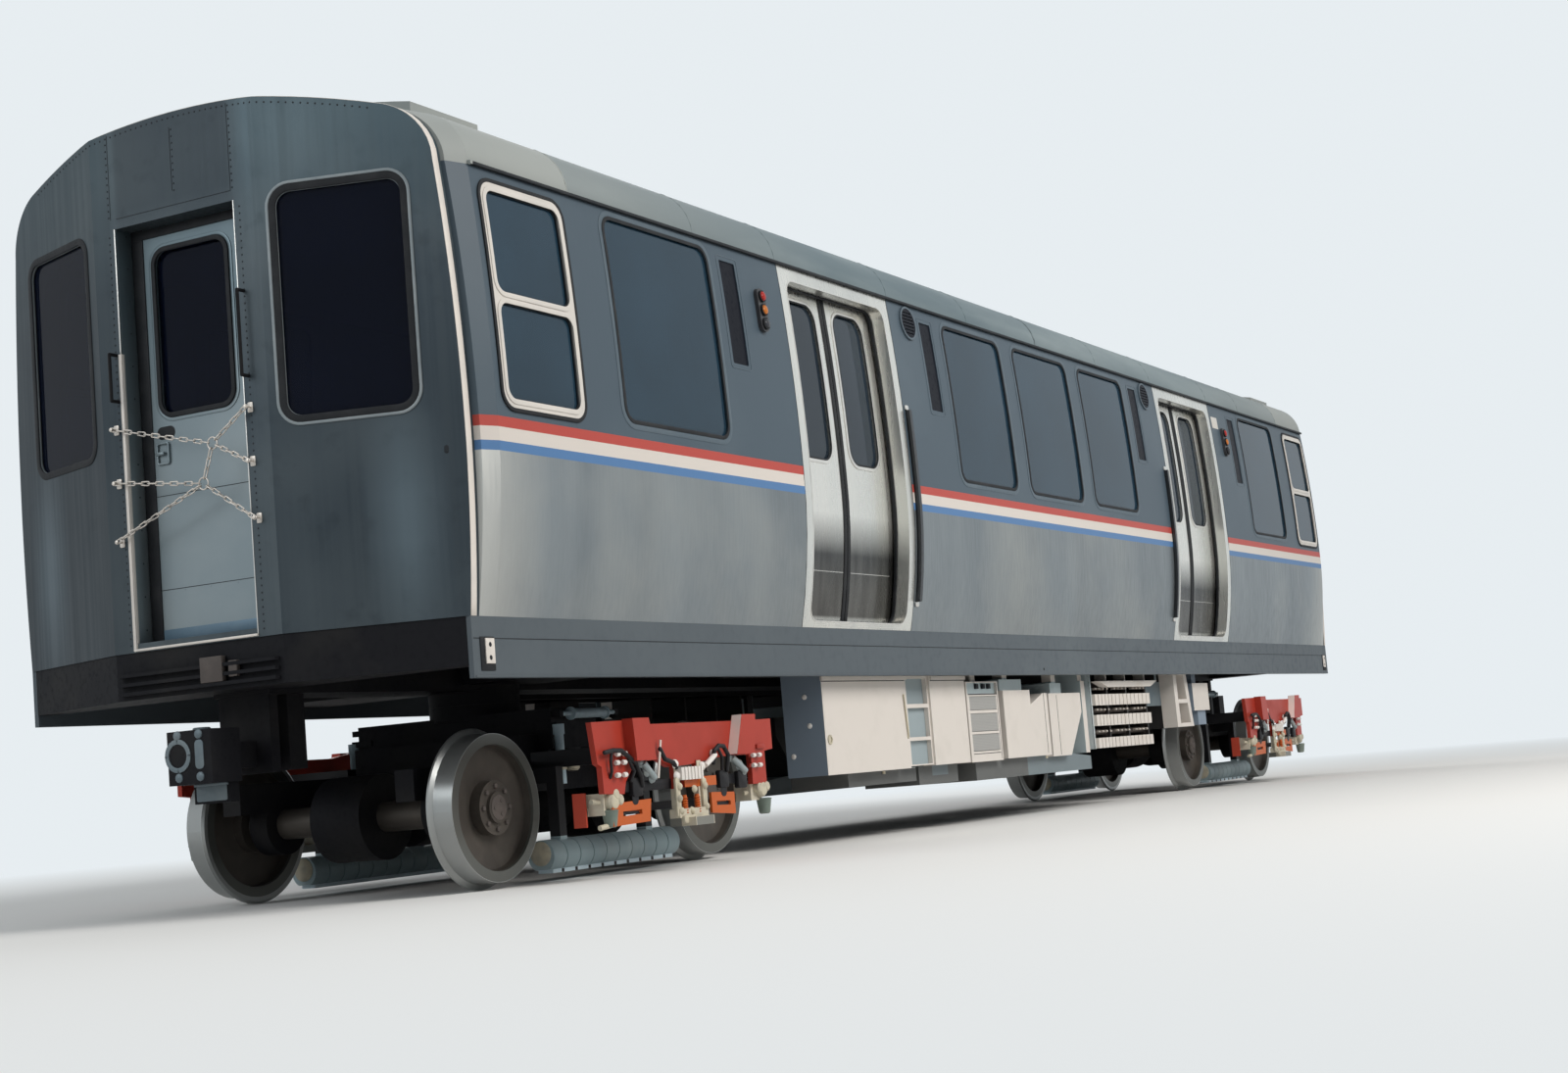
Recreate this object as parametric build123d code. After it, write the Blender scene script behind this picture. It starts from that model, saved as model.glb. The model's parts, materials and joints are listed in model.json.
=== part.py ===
"""Metro car: a light rapid transit car with a cab at each end, on two inside-framed trucks.

Frame: millimetres, +X towards the front, +Y to the car's left, +Z up.
The origin is under the middle of the car, level with the tips of the wheel flanges.
The rear half is the front half turned half a turn about +Z.
"""
import os
from math import atan2, cos, radians, sin

from build123d import *

# Driving dimensions of the running gear
FLANGE_DEPTH = 28
WHEEL_R = 355.5
WHEEL_WIDTH = 133
FLANGE_WIDTH = 30
BACK_TO_BACK = 1353
TRUCK_CENTRES = 10262
TRUCK_WHEELBASE = 1981
AXLE_R = 75
HUB_R = 130
BEARING_GAP = 0.3
SWIVEL_GAP = 0.3

# Driving dimensions of the body shell
COUPLED_LENGTH = 14630
SILL_HALF = 1322
BELT_HALF = 1415
DRIP_HALF = 1345
SILL_BOTTOM_Z = 954
SILL_HEIGHT = 272
LOWER_SIDE = 764
UPPER_SIDE = 1286
CROWN_RISE = 410
COVE_R = 290
COVE_END = 78
SKIN = 26
ROOF_SHELL = 36
LINING_INSET = 152
LINING = 18
FLOOR_STEP = 40
FLOOR = 60
CEILING_DROP = 126
CEILING = 16
SEAM = 0.3

# Driving dimensions of the ends
SHELL_END_X = 6752
CORNER_X = 6930
FACE_X = 7205
FOLD_HALF = 500
MASK = 60
MASK_BELT_HALF = 1353
MASK_DRIP_HALF = 1289
MASK_CROWN_LIFT = 14
END_DOOR_HALF = 360
END_DOOR_DROP = 61
END_JAMB = 40
END_LEAF = 40
END_LEAF_LAP = 20
END_LEAF_GAP = 6

# Driving dimensions of the side doorways and their leaves
DOORWAY_X = 3151
DOORWAY_WIDTH = 1408
DOORWAY_DROP = 14
DOOR_FLANGE = 84
DOOR_FLANGE_TOP = 66
DOOR_FLANGE_R = 80
FRAME_DEPTH = 100
LEAF_INSET = 108
LEAF = 36
LEAF_LAP = 60
LEAF_MEETING_GAP = 5
LEAF_STEP = 8
RUNNER = 12
LEAF_WINDOW = dict(middle=308, width=390, bottom=210, top=148, r=105)

GLASS = 6
GLASS_INSET = 9
GLASS_GAP = 0.3
SALOON_WINDOW_R = 88
CAB_WINDOW_R = 60
REVEAL = 15

# Levels and places that follow from the sizes above
AXLE_Z = WHEEL_R + FLANGE_DEPTH
TRUCK_X = TRUCK_CENTRES / 2
WHEEL_BACK_Y = BACK_TO_BACK / 2
SILL_TOP_Z = SILL_BOTTOM_Z + SILL_HEIGHT
BELT_Z = SILL_TOP_Z + LOWER_SIDE
DRIP_Z = BELT_Z + UPPER_SIDE
CROWN_Z = DRIP_Z + CROWN_RISE
FLOOR_TOP_Z = SILL_TOP_Z + FLOOR_STEP
FLOOR_BOTTOM_Z = FLOOR_TOP_Z - FLOOR
DOORWAY_TOP_Z = DRIP_Z - DOORWAY_DROP
DOOR_CLEAR_TOP_Z = DOORWAY_TOP_Z - DOOR_FLANGE_TOP
DOOR_CLEAR_HALF = DOORWAY_WIDTH / 2 - DOOR_FLANGE
LEAF_BOTTOM_Z = FLOOR_TOP_Z + LEAF_STEP
END_DOOR_TOP_Z = DRIP_Z - END_DOOR_DROP
CEILING_CROWN_Z = CROWN_Z - CEILING_DROP
MASK_CROWN_Z = CROWN_Z + MASK_CROWN_LIFT

# Side windows of one quarter of the car: middle, width, bottom above the belt, top below the drip
SIDE_WINDOWS = [
    ("saloon_end", 5165, 1010, 206, 48),
    ("saloon_side", 1200, 920, 206, 62),
]
MIDDLE_WINDOW = ("saloon_middle", 0, 990, 206, 62)
CAB_WINDOW = dict(back=385, width=670, bottom=164, top=54, transom=682, frame=42,
                  proud=6, pane_r=24, bar=20)

# Dark slots beside the doorways: middle, width, bottom and top below the drip
SLOTS = [(4440, 165, 654, 84), (1917, 165, 654, 84)]
SPEAKER = dict(x=2180, drop=116, r=95)
LAMPS = dict(x=4140, width=90, bottom=436, top=191, r=26, depth=22, rise=12)
SIDE_BAR = dict(x=2402, width=34, bottom=590, top=590, proud=22, gap=8)

# End windows on the sloping panels: side, inner and outer edge, bottom above the belt, top below
# the drip
END_WINDOWS = [(1, 552, 1170, 168, 32), (-1, 565, 1165, 150, 44)]
END_WINDOW_R = 100
END_LEAF_WINDOW = dict(left=215, right=-230, bottom=328, top=176, r=70)


def block(x, y, z):
    """A box from its low and high limits along each axis."""
    size = (x[1] - x[0], y[1] - y[0], z[1] - z[0])
    middle = ((x[0] + x[1]) / 2, (y[0] + y[1]) / 2, (z[0] + z[1]) / 2)
    return Pos(*middle) * Box(*size)


def rod(start, end, radius):
    """A round bar between two points."""
    direction = Vector(*end) - Vector(*start)
    plane = Plane(origin=start, z_dir=direction)
    return extrude(plane * Circle(radius), direction.length)


def turned(shape):
    """The same shape at the other end of the car."""
    return shape.rotate(Axis.Z, 180)


def mirrored(shape):
    """The same shape on the other side of the car."""
    return mirror(shape, Plane.XZ)


def four_ways(shape):
    """A shape of one quarter of the car, repeated in all four quarters."""
    return [shape, mirrored(shape), turned(shape), turned(mirrored(shape))]


def section(x, sill, belt, drip, crown, inset=0):
    """The body's cross-section at x, from sill to crown, moved inwards by inset."""
    cove_y = drip - COVE_R
    cove_end = (cove_y + (COVE_R - inset) * cos(radians(COVE_END)),
                DRIP_Z + (COVE_R - inset) * sin(radians(COVE_END)))
    low = (sill - inset, SILL_BOTTOM_Z)
    sill_top = (sill - inset, SILL_TOP_Z)
    flare = (sill - inset + 0.72 * (belt - sill), SILL_TOP_Z + 0.5 * (BELT_Z - SILL_TOP_Z))
    widest = (belt - inset, BELT_Z)
    upper = (belt - inset - 0.25 * (belt - drip), (BELT_Z + DRIP_Z) / 2)
    edge = (drip - inset, DRIP_Z)
    cove_mid = (cove_y + (COVE_R - inset) * cos(radians(COVE_END / 2)),
                DRIP_Z + (COVE_R - inset) * sin(radians(COVE_END / 2)))

    def flip(point):
        return (-point[0], point[1])

    half = [
        Line(low, sill_top),
        ThreePointArc(sill_top, flare, widest),
        ThreePointArc(widest, upper, edge),
        ThreePointArc(edge, cove_mid, cove_end),
    ]
    other = [
        ThreePointArc(flip(cove_end), flip(cove_mid), flip(edge)),
        ThreePointArc(flip(edge), flip(upper), flip(widest)),
        ThreePointArc(flip(widest), flip(flare), flip(sill_top)),
        Line(flip(sill_top), flip(low)),
    ]
    top = ThreePointArc(cove_end, (0, crown - inset), flip(cove_end))
    outline = Wire(half + [top] + other + [Line(flip(low), low)])
    plane = Plane(origin=(x, 0, 0), x_dir=(0, 1, 0), z_dir=(1, 0, 0))
    return plane * Face(outline)


def body_section(x, inset=0):
    return section(x, SILL_HALF, BELT_HALF, DRIP_HALF, CROWN_Z, inset)


def mask_section(x, inset=0):
    return section(x, SILL_HALF, MASK_BELT_HALF, MASK_DRIP_HALF, MASK_CROWN_Z, inset)


def body_core(x, inset):
    """Everything inside the body's side and roof surface, moved inwards by inset."""
    return extrude(body_section(x[0], inset), x[1] - x[0])


def side_slab(x, z, outer, inner):
    """A curved slab of the left side, between two insets from the body's surface."""
    shell = body_core(x, outer) - body_core(x, inner)
    return shell & block(x, (0, 2 * BELT_HALF), z)


def side_hole(x, width, z, radius, outer=-60, inner=260):
    """A rounded hole through the left side, square to it."""
    outline = RectangleRounded(width, z[1] - z[0], radius)
    depth = inner - outer
    middle_y = BELT_HALF - (outer + inner) / 2
    prism = Rot(90, 0, 0) * extrude(outline, depth / 2, both=True)
    return Pos(x, middle_y, (z[0] + z[1]) / 2) * prism


def side_plate(x, width, z, radius, outer, inner):
    """A rounded plate of the left side, curved with it, between two insets."""
    slab = side_slab((x - width, x + width), (z[0] - 20, z[1] + 20), outer, inner)
    return slab & side_hole(x, width, z, radius)


END_SLOPE = atan2(FACE_X - CORNER_X, SILL_HALF - FOLD_HALF)


def plan_prism(outset, z, back_x=SHELL_END_X - 300):
    """The plan of the front end up to its folded face, moved outwards by outset."""
    reach = FACE_X * cos(END_SLOPE) + FOLD_HALF * sin(END_SLOPE) + outset
    face_x = FACE_X + outset
    fold_y = (reach - face_x * cos(END_SLOPE)) / sin(END_SLOPE)
    wide = 1.5 * SILL_HALF
    far_x = (reach - wide * sin(END_SLOPE)) / cos(END_SLOPE)
    points = [(back_x, -wide), (far_x, -wide), (face_x, -fold_y),
              (face_x, fold_y), (far_x, wide), (back_x, wide)]
    outline = Polyline(*points, close=True)
    return extrude(Plane(origin=(0, 0, z[0])) * make_face(outline), z[1] - z[0])


def panel_plane(side, y, z, outset=0):
    """A plane on a sloping end panel at y and z, its x along the panel, facing out."""
    x = FACE_X - (y - FOLD_HALF) * (FACE_X - CORNER_X) / (SILL_HALF - FOLD_HALF)
    normal = Vector(cos(END_SLOPE), side * sin(END_SLOPE), 0)
    along = Vector(-sin(END_SLOPE), side * cos(END_SLOPE), 0)
    origin = Vector(x, side * y, z) + normal * outset
    return Plane(origin=origin, x_dir=along, z_dir=normal)


def panel_prism(side, inner, outer, bottom, top, radius, depth, grow=0):
    """A rounded prism square to a sloping end panel, between two depths behind its face."""
    width = (outer - inner) / cos(END_SLOPE) + 2 * grow
    outline = RectangleRounded(width, top - bottom + 2 * grow, radius + grow)
    plane = panel_plane(side, (inner + outer) / 2, (bottom + top) / 2, -depth[1])
    return extrude(plane * outline, depth[1] - depth[0])


DOORWAY = (DOORWAY_X - DOORWAY_WIDTH / 2, DOORWAY_X + DOORWAY_WIDTH / 2)
WALL_BAYS = [(-DOORWAY[0], DOORWAY[0]), (DOORWAY[1], SHELL_END_X), (-SHELL_END_X, -DOORWAY[1])]


def left_windows():
    """Every saloon window of the left side: middle, width, bottom, top and corner radius."""
    rows = [MIDDLE_WINDOW] + SIDE_WINDOWS
    rows += [(name, -x, width, low, high) for name, x, width, low, high in SIDE_WINDOWS]
    return [(x, width, BELT_Z + low, DRIP_Z - high, SALOON_WINDOW_R)
            for name, x, width, low, high in rows]


CAB_WINDOW_X = SHELL_END_X - CAB_WINDOW["back"]
CAB_WINDOW_Z = (BELT_Z + CAB_WINDOW["bottom"], DRIP_Z - CAB_WINDOW["top"])


def cab_windows():
    return [(sign * CAB_WINDOW_X, CAB_WINDOW["width"], *CAB_WINDOW_Z, CAB_WINDOW_R)
            for sign in (1, -1)]


def slot_places():
    """Every dark slot of the left side: middle, width, bottom and top."""
    return [(sign * x, width, DRIP_Z - low, DRIP_Z - high)
            for x, width, low, high in SLOTS for sign in (1, -1)]


def left_wall():
    """The three curved outer panels of the left side, with every window and slot cut."""
    holes = [side_hole(x, w, (b, t), radius) for x, w, b, t, radius in left_windows() + cab_windows()]
    holes += [side_hole(x, w, (b, t), 10) for x, w, b, t in slot_places()]
    panels = []
    for bay in WALL_BAYS:
        panel = side_slab(bay, (SILL_TOP_Z, DRIP_Z), 0, SKIN)
        for hole in holes:
            panel = panel - hole
        panels.append(panel)
    return panels


def left_lining():
    """The inner wall of the left side, with a reveal round each window out to the skin."""
    panels = []
    for bay in WALL_BAYS:
        z = (FLOOR_TOP_Z, DOORWAY_TOP_Z)
        panel = side_slab(bay, z, LINING_INSET, LINING_INSET + LINING)
        reveal = side_slab(bay, z, SKIN + SEAM, LINING_INSET + 1)
        for x, width, bottom, top, radius in left_windows() + cab_windows():
            if bay[0] < x < bay[1]:
                ring = side_hole(x, width + 2 * REVEAL, (bottom - REVEAL, top + REVEAL),
                                 radius + REVEAL)
                panel = panel + (reveal & ring)
        for x, width, bottom, top, radius in left_windows() + cab_windows():
            if bay[0] < x < bay[1]:
                panel = panel - side_hole(x, width, (bottom, top), radius)
        panels.append(panel)
    return panels


def left_glass():
    """The panes of the left saloon windows."""
    panes = []
    for x, width, bottom, top, radius in left_windows():
        panes.append(side_plate(x, width - 2 * GLASS_GAP, (bottom + GLASS_GAP, top - GLASS_GAP),
                                radius - GLASS_GAP, GLASS_INSET, GLASS_INSET + GLASS))
    return panes


def cab_lights():
    """The heights of the two panes of a cab side window."""
    cab = CAB_WINDOW
    transom_z = BELT_Z + cab["transom"]
    return [(CAB_WINDOW_Z[0] + cab["frame"], transom_z - cab["bar"]),
            (transom_z + cab["bar"], CAB_WINDOW_Z[1] - cab["frame"])]


def cab_window_frame(x):
    """A raised frame with a transom, in the left side at x."""
    cab = CAB_WINDOW
    z = (CAB_WINDOW_Z[0] + SEAM, CAB_WINDOW_Z[1] - SEAM)
    width = cab["width"] - 2 * SEAM
    frame = side_plate(x, width, z, CAB_WINDOW_R, -cab["proud"], SKIN)
    for low, high in cab_lights():
        frame = frame - side_hole(x, width - 2 * cab["frame"], (low, high), cab["pane_r"])
    return frame


def cab_panes(x):
    """The two panes of a cab side window in the left side at x."""
    cab = CAB_WINDOW
    width = cab["width"] - 2 * SEAM - 2 * cab["frame"] - 2 * GLASS_GAP
    panes = []
    for low, high in cab_lights():
        z = (low + GLASS_GAP, high - GLASS_GAP)
        panes.append(side_plate(x, width, z, cab["pane_r"] - GLASS_GAP,
                                GLASS_INSET, GLASS_INSET + GLASS))
    return panes


def slot_panels():
    """Dark panels that fill the narrow slots of the left side."""
    return [side_plate(x, width - 2 * SEAM, (bottom + SEAM, top - SEAM), 10 - SEAM, 6, 18)
            for x, width, bottom, top in slot_places()]


def speaker_grille():
    """A round pressed cover with slots, on the left side."""
    x, z, r = SPEAKER["x"], DRIP_Z - SPEAKER["drop"], SPEAKER["r"]
    slab = side_slab((x - r - 10, x + r + 10), (z - r - 10, z + r + 10), -10, -SEAM)
    disc = Pos(x, BELT_HALF, z) * Rot(90, 0, 0) * extrude(Circle(r), 200, both=True)
    grille = slab & disc
    for row in range(-3, 4):
        z_row = z + row * 22
        half = 0.8 * (r * r - (row * 22) ** 2) ** 0.5
        grille = grille - block((x - half, x + half), (0, 2 * BELT_HALF), (z_row - 4, z_row + 4))
    return grille


def signal_lamps():
    """An upright housing with three round lamps, on the left side."""
    x, w = LAMPS["x"], LAMPS["width"]
    z = (DRIP_Z - LAMPS["bottom"], DRIP_Z - LAMPS["top"])
    housing = side_plate(x, w, z, 40, -LAMPS["depth"], -SEAM)
    pitch = (z[1] - z[0] - w) / 2
    for step in range(3):
        z_lamp = z[0] + w / 2 + step * pitch
        lens = side_slab((x - w, x + w), z, -LAMPS["depth"] - LAMPS["rise"], -LAMPS["depth"] + 1)
        housing = housing + (lens & Pos(x, BELT_HALF, z_lamp) * Rot(90, 0, 0)
                             * Cylinder(LAMPS["r"], 400))
    return housing


def side_bar():
    """The upright bar beside a left doorway, bowed with the side and held by a foot at each end."""
    b = SIDE_BAR
    z = (BELT_Z - b["bottom"], BELT_Z + b["top"])
    bar = side_plate(b["x"], b["width"], z, 12, -b["gap"] - b["proud"], -b["gap"])
    for low in (z[0], z[1] - 60):
        bar = bar + side_plate(b["x"], b["width"], (low, low + 60), 12, -b["gap"] - 4, -SEAM)
    return bar


def door_frame(x):
    """The bright frame round a left doorway, with rounded corners and a threshold."""
    half = DOORWAY_WIDTH / 2 - SEAM
    frame = side_slab((x - half, x + half), (SILL_TOP_Z + SEAM, DRIP_Z - SEAM), 0, FRAME_DEPTH)
    return frame - side_hole(x, 2 * DOOR_CLEAR_HALF, (FLOOR_TOP_Z, DOOR_CLEAR_TOP_Z),
                             DOOR_FLANGE_R)


def leaf_limits(towards):
    """The lengthwise limits of a leaf measured from the middle of its doorway."""
    limits = (LEAF_MEETING_GAP / 2, DOOR_CLEAR_HALF + LEAF_LAP)
    return limits if towards > 0 else (-limits[1], -limits[0])


def leaf_window_z(grow=0):
    return (BELT_Z + LEAF_WINDOW["bottom"] - grow, DRIP_Z - LEAF_WINDOW["top"] + grow)


def leaf_window(x, towards, grow=0):
    return side_hole(x + towards * LEAF_WINDOW["middle"], LEAF_WINDOW["width"] + 2 * grow,
                     leaf_window_z(grow), LEAF_WINDOW["r"] + grow)


def door_leaf(x, towards):
    """A curved sliding leaf of a left doorway, with its window cut."""
    low, high = leaf_limits(towards)
    leaf = side_slab((x + low, x + high), (LEAF_BOTTOM_Z, DRIP_Z - 8), LEAF_INSET,
                     LEAF_INSET + LEAF)
    runner = side_slab((x + low, x + high), (FLOOR_TOP_Z + SEAM, LEAF_BOTTOM_Z + 1),
                       LEAF_INSET + (LEAF - RUNNER) / 2, LEAF_INSET + (LEAF + RUNNER) / 2)
    return (leaf + runner) - leaf_window(x, towards)


def door_leaf_glass(x, towards):
    low, high = leaf_limits(towards)
    depth = LEAF_INSET + RUNNER
    pane = side_slab((x + low, x + high), leaf_window_z(), depth, depth + GLASS)
    return pane & leaf_window(x, towards, -GLASS_GAP)


def end_ring():
    """The tapered body shell behind the front mask, from the last side panel on."""
    def solid(inset):
        taper = loft([body_section(SHELL_END_X + SEAM, inset), mask_section(CORNER_X, inset)],
                     ruled=True)
        nose = extrude(mask_section(CORNER_X, inset), FACE_X - CORNER_X)
        return taper + nose

    ring = solid(0) - solid(ROOF_SHELL)
    return ring & plan_prism(-MASK - SEAM, (0, 2 * CROWN_Z))


def end_windows():
    """The end windows with their heights."""
    return [(side, inner, outer, BELT_Z + low, DRIP_Z - high)
            for side, inner, outer, low, high in END_WINDOWS]


def front_mask():
    """The folded end plate with its doorway, jambs and two windows."""
    z = (SILL_TOP_Z, 2 * CROWN_Z)
    band = plan_prism(0, z) - plan_prism(-MASK, (0, 3 * CROWN_Z))
    mask = band & extrude(mask_section(CORNER_X - 300), FACE_X - CORNER_X + 400)
    back = FACE_X - MASK
    jamb_z = (FLOOR_TOP_Z, END_DOOR_TOP_Z + END_JAMB)
    jambs = block((back - END_JAMB, back), (-END_DOOR_HALF - END_JAMB, END_DOOR_HALF + END_JAMB),
                  jamb_z)
    mask = mask + jambs
    mask = mask - block((0, 2 * FACE_X), (-END_DOOR_HALF, END_DOOR_HALF),
                        (FLOOR_TOP_Z, END_DOOR_TOP_Z))
    for side, inner, outer, bottom, top in end_windows():
        mask = mask - panel_prism(side, inner, outer, bottom, top, END_WINDOW_R, (-50, 150))
    return mask


def front_panes():
    panes = []
    for side, inner, outer, bottom, top in end_windows():
        panes.append(panel_prism(side, inner, outer, bottom, top, END_WINDOW_R,
                                 (18, 18 + GLASS), -GLASS_GAP))
    return panes


END_LEAF_FACE_X = FACE_X - MASK - END_JAMB - END_LEAF_GAP
END_LEAF_HALF = END_DOOR_HALF + END_LEAF_LAP
END_HINGE = (END_LEAF_FACE_X - END_LEAF - 17, END_LEAF_HALF + 18)
HINGE_HEIGHTS = [FLOOR_TOP_Z + rise for rise in (234, 974, 1714)]
HINGE = dict(r=14, pin=6, bore=6.3, leaf=60, outer=40, plate=12)


def hinge_barrel(low, high, radius):
    return Pos(*END_HINGE, (low + high) / 2) * Cylinder(radius, high - low)


def mask_hinges():
    """The outer barrels, brackets and pins of the end door's hinges, on the mask's jamb."""
    h = HINGE
    inner = h["leaf"] / 2
    outer = inner + h["outer"]
    parts = []
    for z in HINGE_HEIGHTS:
        half = hinge_barrel(z - outer, z + outer, h["pin"])
        for low, high in ((z - outer, z - inner), (z + inner, z + outer)):
            bracket = block((END_HINGE[0], FACE_X - MASK - END_JAMB + 1),
                            (END_DOOR_HALF + END_JAMB - h["plate"], END_DOOR_HALF + END_JAMB),
                            (low, high))
            half = half + bracket + hinge_barrel(low, high, h["r"])
        parts.append(half)
    return parts


def leaf_hinges():
    """The middle barrels of the end door's hinges, each on a strap across the leaf's back."""
    h = HINGE
    inner = h["leaf"] / 2 - SEAM
    parts = []
    for z in HINGE_HEIGHTS:
        back = END_LEAF_FACE_X - END_LEAF
        strap = block((back - h["plate"], back + 1), (END_LEAF_HALF - 50, END_HINGE[1]),
                      (z - inner, z + inner))
        barrel = strap + hinge_barrel(z - inner, z + inner, h["r"])
        parts.append(barrel - hinge_barrel(z - inner, z + inner, h["bore"]))
    return parts


def end_leaf_hole(grow=0):
    row = END_LEAF_WINDOW
    z = (BELT_Z + row["bottom"], DRIP_Z - row["top"])
    outline = RectangleRounded(row["left"] - row["right"] + 2 * grow,
                               z[1] - z[0] + 2 * grow, row["r"] + grow)
    plane = Plane(origin=(0, (row["left"] + row["right"]) / 2, (z[0] + z[1]) / 2),
                  x_dir=(0, 1, 0), z_dir=(1, 0, 0))
    return extrude(plane * outline, 2 * FACE_X)


def end_door_leaf():
    z = (LEAF_BOTTOM_Z, END_DOOR_TOP_Z + END_LEAF_LAP)
    leaf = block((END_LEAF_FACE_X - END_LEAF, END_LEAF_FACE_X), (-END_LEAF_HALF, END_LEAF_HALF), z)
    for hinge in leaf_hinges():
        leaf = leaf + hinge
    return leaf - end_leaf_hole()


def end_door_glass():
    middle = END_LEAF_FACE_X - END_LEAF / 2
    slab = block((middle - GLASS / 2, middle + GLASS / 2), (-END_LEAF_HALF, END_LEAF_HALF),
                 (LEAF_BOTTOM_Z, END_DOOR_TOP_Z))
    return slab & end_leaf_hole(-GLASS_GAP)


# Chains across an end doorway: side position and height above the belt of each named point.
# A strand runs straight from its first point to a ring.
CHAIN_STANDOFF = 34
CHAIN_POINTS = dict(
    a1=(-416, 278), a2=(-416, 26), a3=(-416, -248),
    b1=(395, 267), b2=(392, 23), b3=(410, -236),
    ring1=(190, 130), ring2=(125, -45),
)
CHAIN_STRANDS = [("a1", "ring1"), ("b1", "ring1"), ("b2", "ring1"), ("ring2", "ring1"),
                 ("a2", "ring2"), ("a3", "ring2"), ("b3", "ring2")]
LINK = dict(wire=7, width=25, corner=7, pitch=44)
LINK_GAP = 0.3
STUD_R = 4.6
STUD_CAP = dict(r=9, thickness=4)
RING_HOLE_R = 24


def chain_point(name):
    y, rise = CHAIN_POINTS[name]
    return Vector(FACE_X + CHAIN_STANDOFF, y, BELT_Z + rise)


def chain_link(length, middle, along, normal):
    """A chain link of square wire with its outer corners cut off."""
    wire, corner = LINK["wire"], LINK["corner"]
    x, y = length / 2, LINK["width"] / 2
    outline = Polyline((x, y - corner), (x - corner, y), (corner - x, y), (-x, y - corner),
                       (-x, corner - y), (corner - x, -y), (x - corner, -y), (x, corner - y),
                       close=True)
    flat = make_face(outline) - Rectangle(length - 2 * wire, LINK["width"] - 2 * wire)
    plane = Plane(origin=middle - normal * (wire / 2), x_dir=along, z_dir=normal)
    return extrude(plane * flat, wire)


def chain_strand(first, last):
    """The links between two points. Each hangs in the next, turned by a quarter."""
    start, end = chain_point(first), chain_point(last)
    along = (end - start).normalized()
    outward = Vector(1, 0, 0)
    on_ring = first.startswith("ring")
    seat = RING_HOLE_R - LINK_GAP
    lead = seat if on_ring else -(STUD_R + LINK_GAP)
    room = (end - start).length - lead - seat - LINK_GAP
    count = round(room / LINK["pitch"])
    if count % 2 != (1 if on_ring else 0):
        count = count + 1
    pitch = room / count
    length = pitch + 2 * LINK["wire"] + LINK_GAP
    links = []
    for number in range(count):
        middle = start + along * (lead + (pitch + LINK_GAP) / 2 + number * pitch)
        edge_on = (number % 2 == 0) if on_ring else (number % 2 == 1)
        normal = along.cross(outward) if edge_on else outward
        links.append(chain_link(length, middle, along, normal))
    return links


def safety_chains():
    """The linked chains across an end doorway, on two rings and on studs in the end plate."""
    pieces = []
    for first, last in CHAIN_STRANDS:
        pieces += chain_strand(first, last)
    half = LINK["wire"] / 2
    for name in CHAIN_POINTS:
        point = chain_point(name)
        if name.startswith("ring"):
            low = point - Vector(half, 0, 0)
            high = point + Vector(half, 0, 0)
            ring = rod(low, high, RING_HOLE_R + LINK["wire"]) - rod(low, high, RING_HOLE_R)
            pieces.append(ring)
        else:
            foot = Vector(FACE_X + SEAM, point.Y, point.Z)
            tip = point + Vector(half + LINK_GAP, 0, 0)
            cap = tip + Vector(STUD_CAP["thickness"], 0, 0)
            pieces.append(rod(foot, cap, STUD_R) + rod(tip, cap, STUD_CAP["r"]))
    return pieces


# Two bent grab rods beside the end doorway: side position, bottom and top above the belt
GRAB_RODS = [(-395, 410, 630), (395, 410, 800)]
GRAB_R = 8
GRAB_STANDOFF = 45


def grab_rods():
    rods = []
    for y, low, high in GRAB_RODS:
        bottom, top = BELT_Z + low, BELT_Z + high
        x0 = FACE_X + SEAM
        x1 = FACE_X + GRAB_STANDOFF
        bar = rod((x1, y, bottom), (x1, y, top), GRAB_R)
        for z in (bottom, top):
            bar = bar + Pos(x1, y, z) * Sphere(GRAB_R)
            bar = bar + rod((x0, y, z), (x1, y, z), GRAB_R)
        rods.append(bar)
    return rods


DRIP_RAIL = dict(lap=12, proud=18, height=16)


def roof():
    """The arched roof between the end caps, with its drip rails."""
    x = (-SHELL_END_X, SHELL_END_X)
    shell = body_core(x, 0) - body_core(x, ROOF_SHELL)
    shell = shell & block(x, (-2 * BELT_HALF, 2 * BELT_HALF), (DRIP_Z, 2 * CROWN_Z))
    for side in (1, -1):
        y = sorted((side * (DRIP_HALF - DRIP_RAIL["lap"]), side * (DRIP_HALF + DRIP_RAIL["proud"])))
        shell = shell + block(x, y, (DRIP_Z, DRIP_Z + DRIP_RAIL["height"]))
    return shell


# Low raised cover on the roof close to each end
COVER_BACK = 522
COVER_HALF = 1050
COVER_RISE = 55


def roof_cover():
    """A low arched cover that stands on the roof close to the front."""
    band = (SHELL_END_X - COVER_BACK, SHELL_END_X)
    outer = extrude(body_section(band[0], -COVER_RISE), COVER_BACK)
    inner = body_core((band[0] - 10, band[1] + 10), -SEAM)
    return (outer - inner) & block(band, (-COVER_HALF, COVER_HALF), (DRIP_Z, 2 * CROWN_Z))


def ceiling():
    """The arched inner ceiling."""
    reach = DRIP_HALF - LINING_INSET
    x = (-SHELL_END_X + 60, SHELL_END_X - 60)
    base_z = DOORWAY_TOP_Z + SEAM

    def arch(lift):
        arc = ThreePointArc((-reach, base_z + lift), (0, CEILING_CROWN_Z + lift),
                            (reach, base_z + lift))
        return arc

    low = arch(0)
    high = arch(CEILING)
    sides = [Line((-reach, base_z), (-reach, base_z + CEILING)),
             Line((reach, base_z), (reach, base_z + CEILING))]
    plane = Plane(origin=(x[0], 0, 0), x_dir=(0, 1, 0), z_dir=(1, 0, 0))
    return extrude(plane * Face(Wire([low, sides[1], high, sides[0]])), x[1] - x[0])


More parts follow.
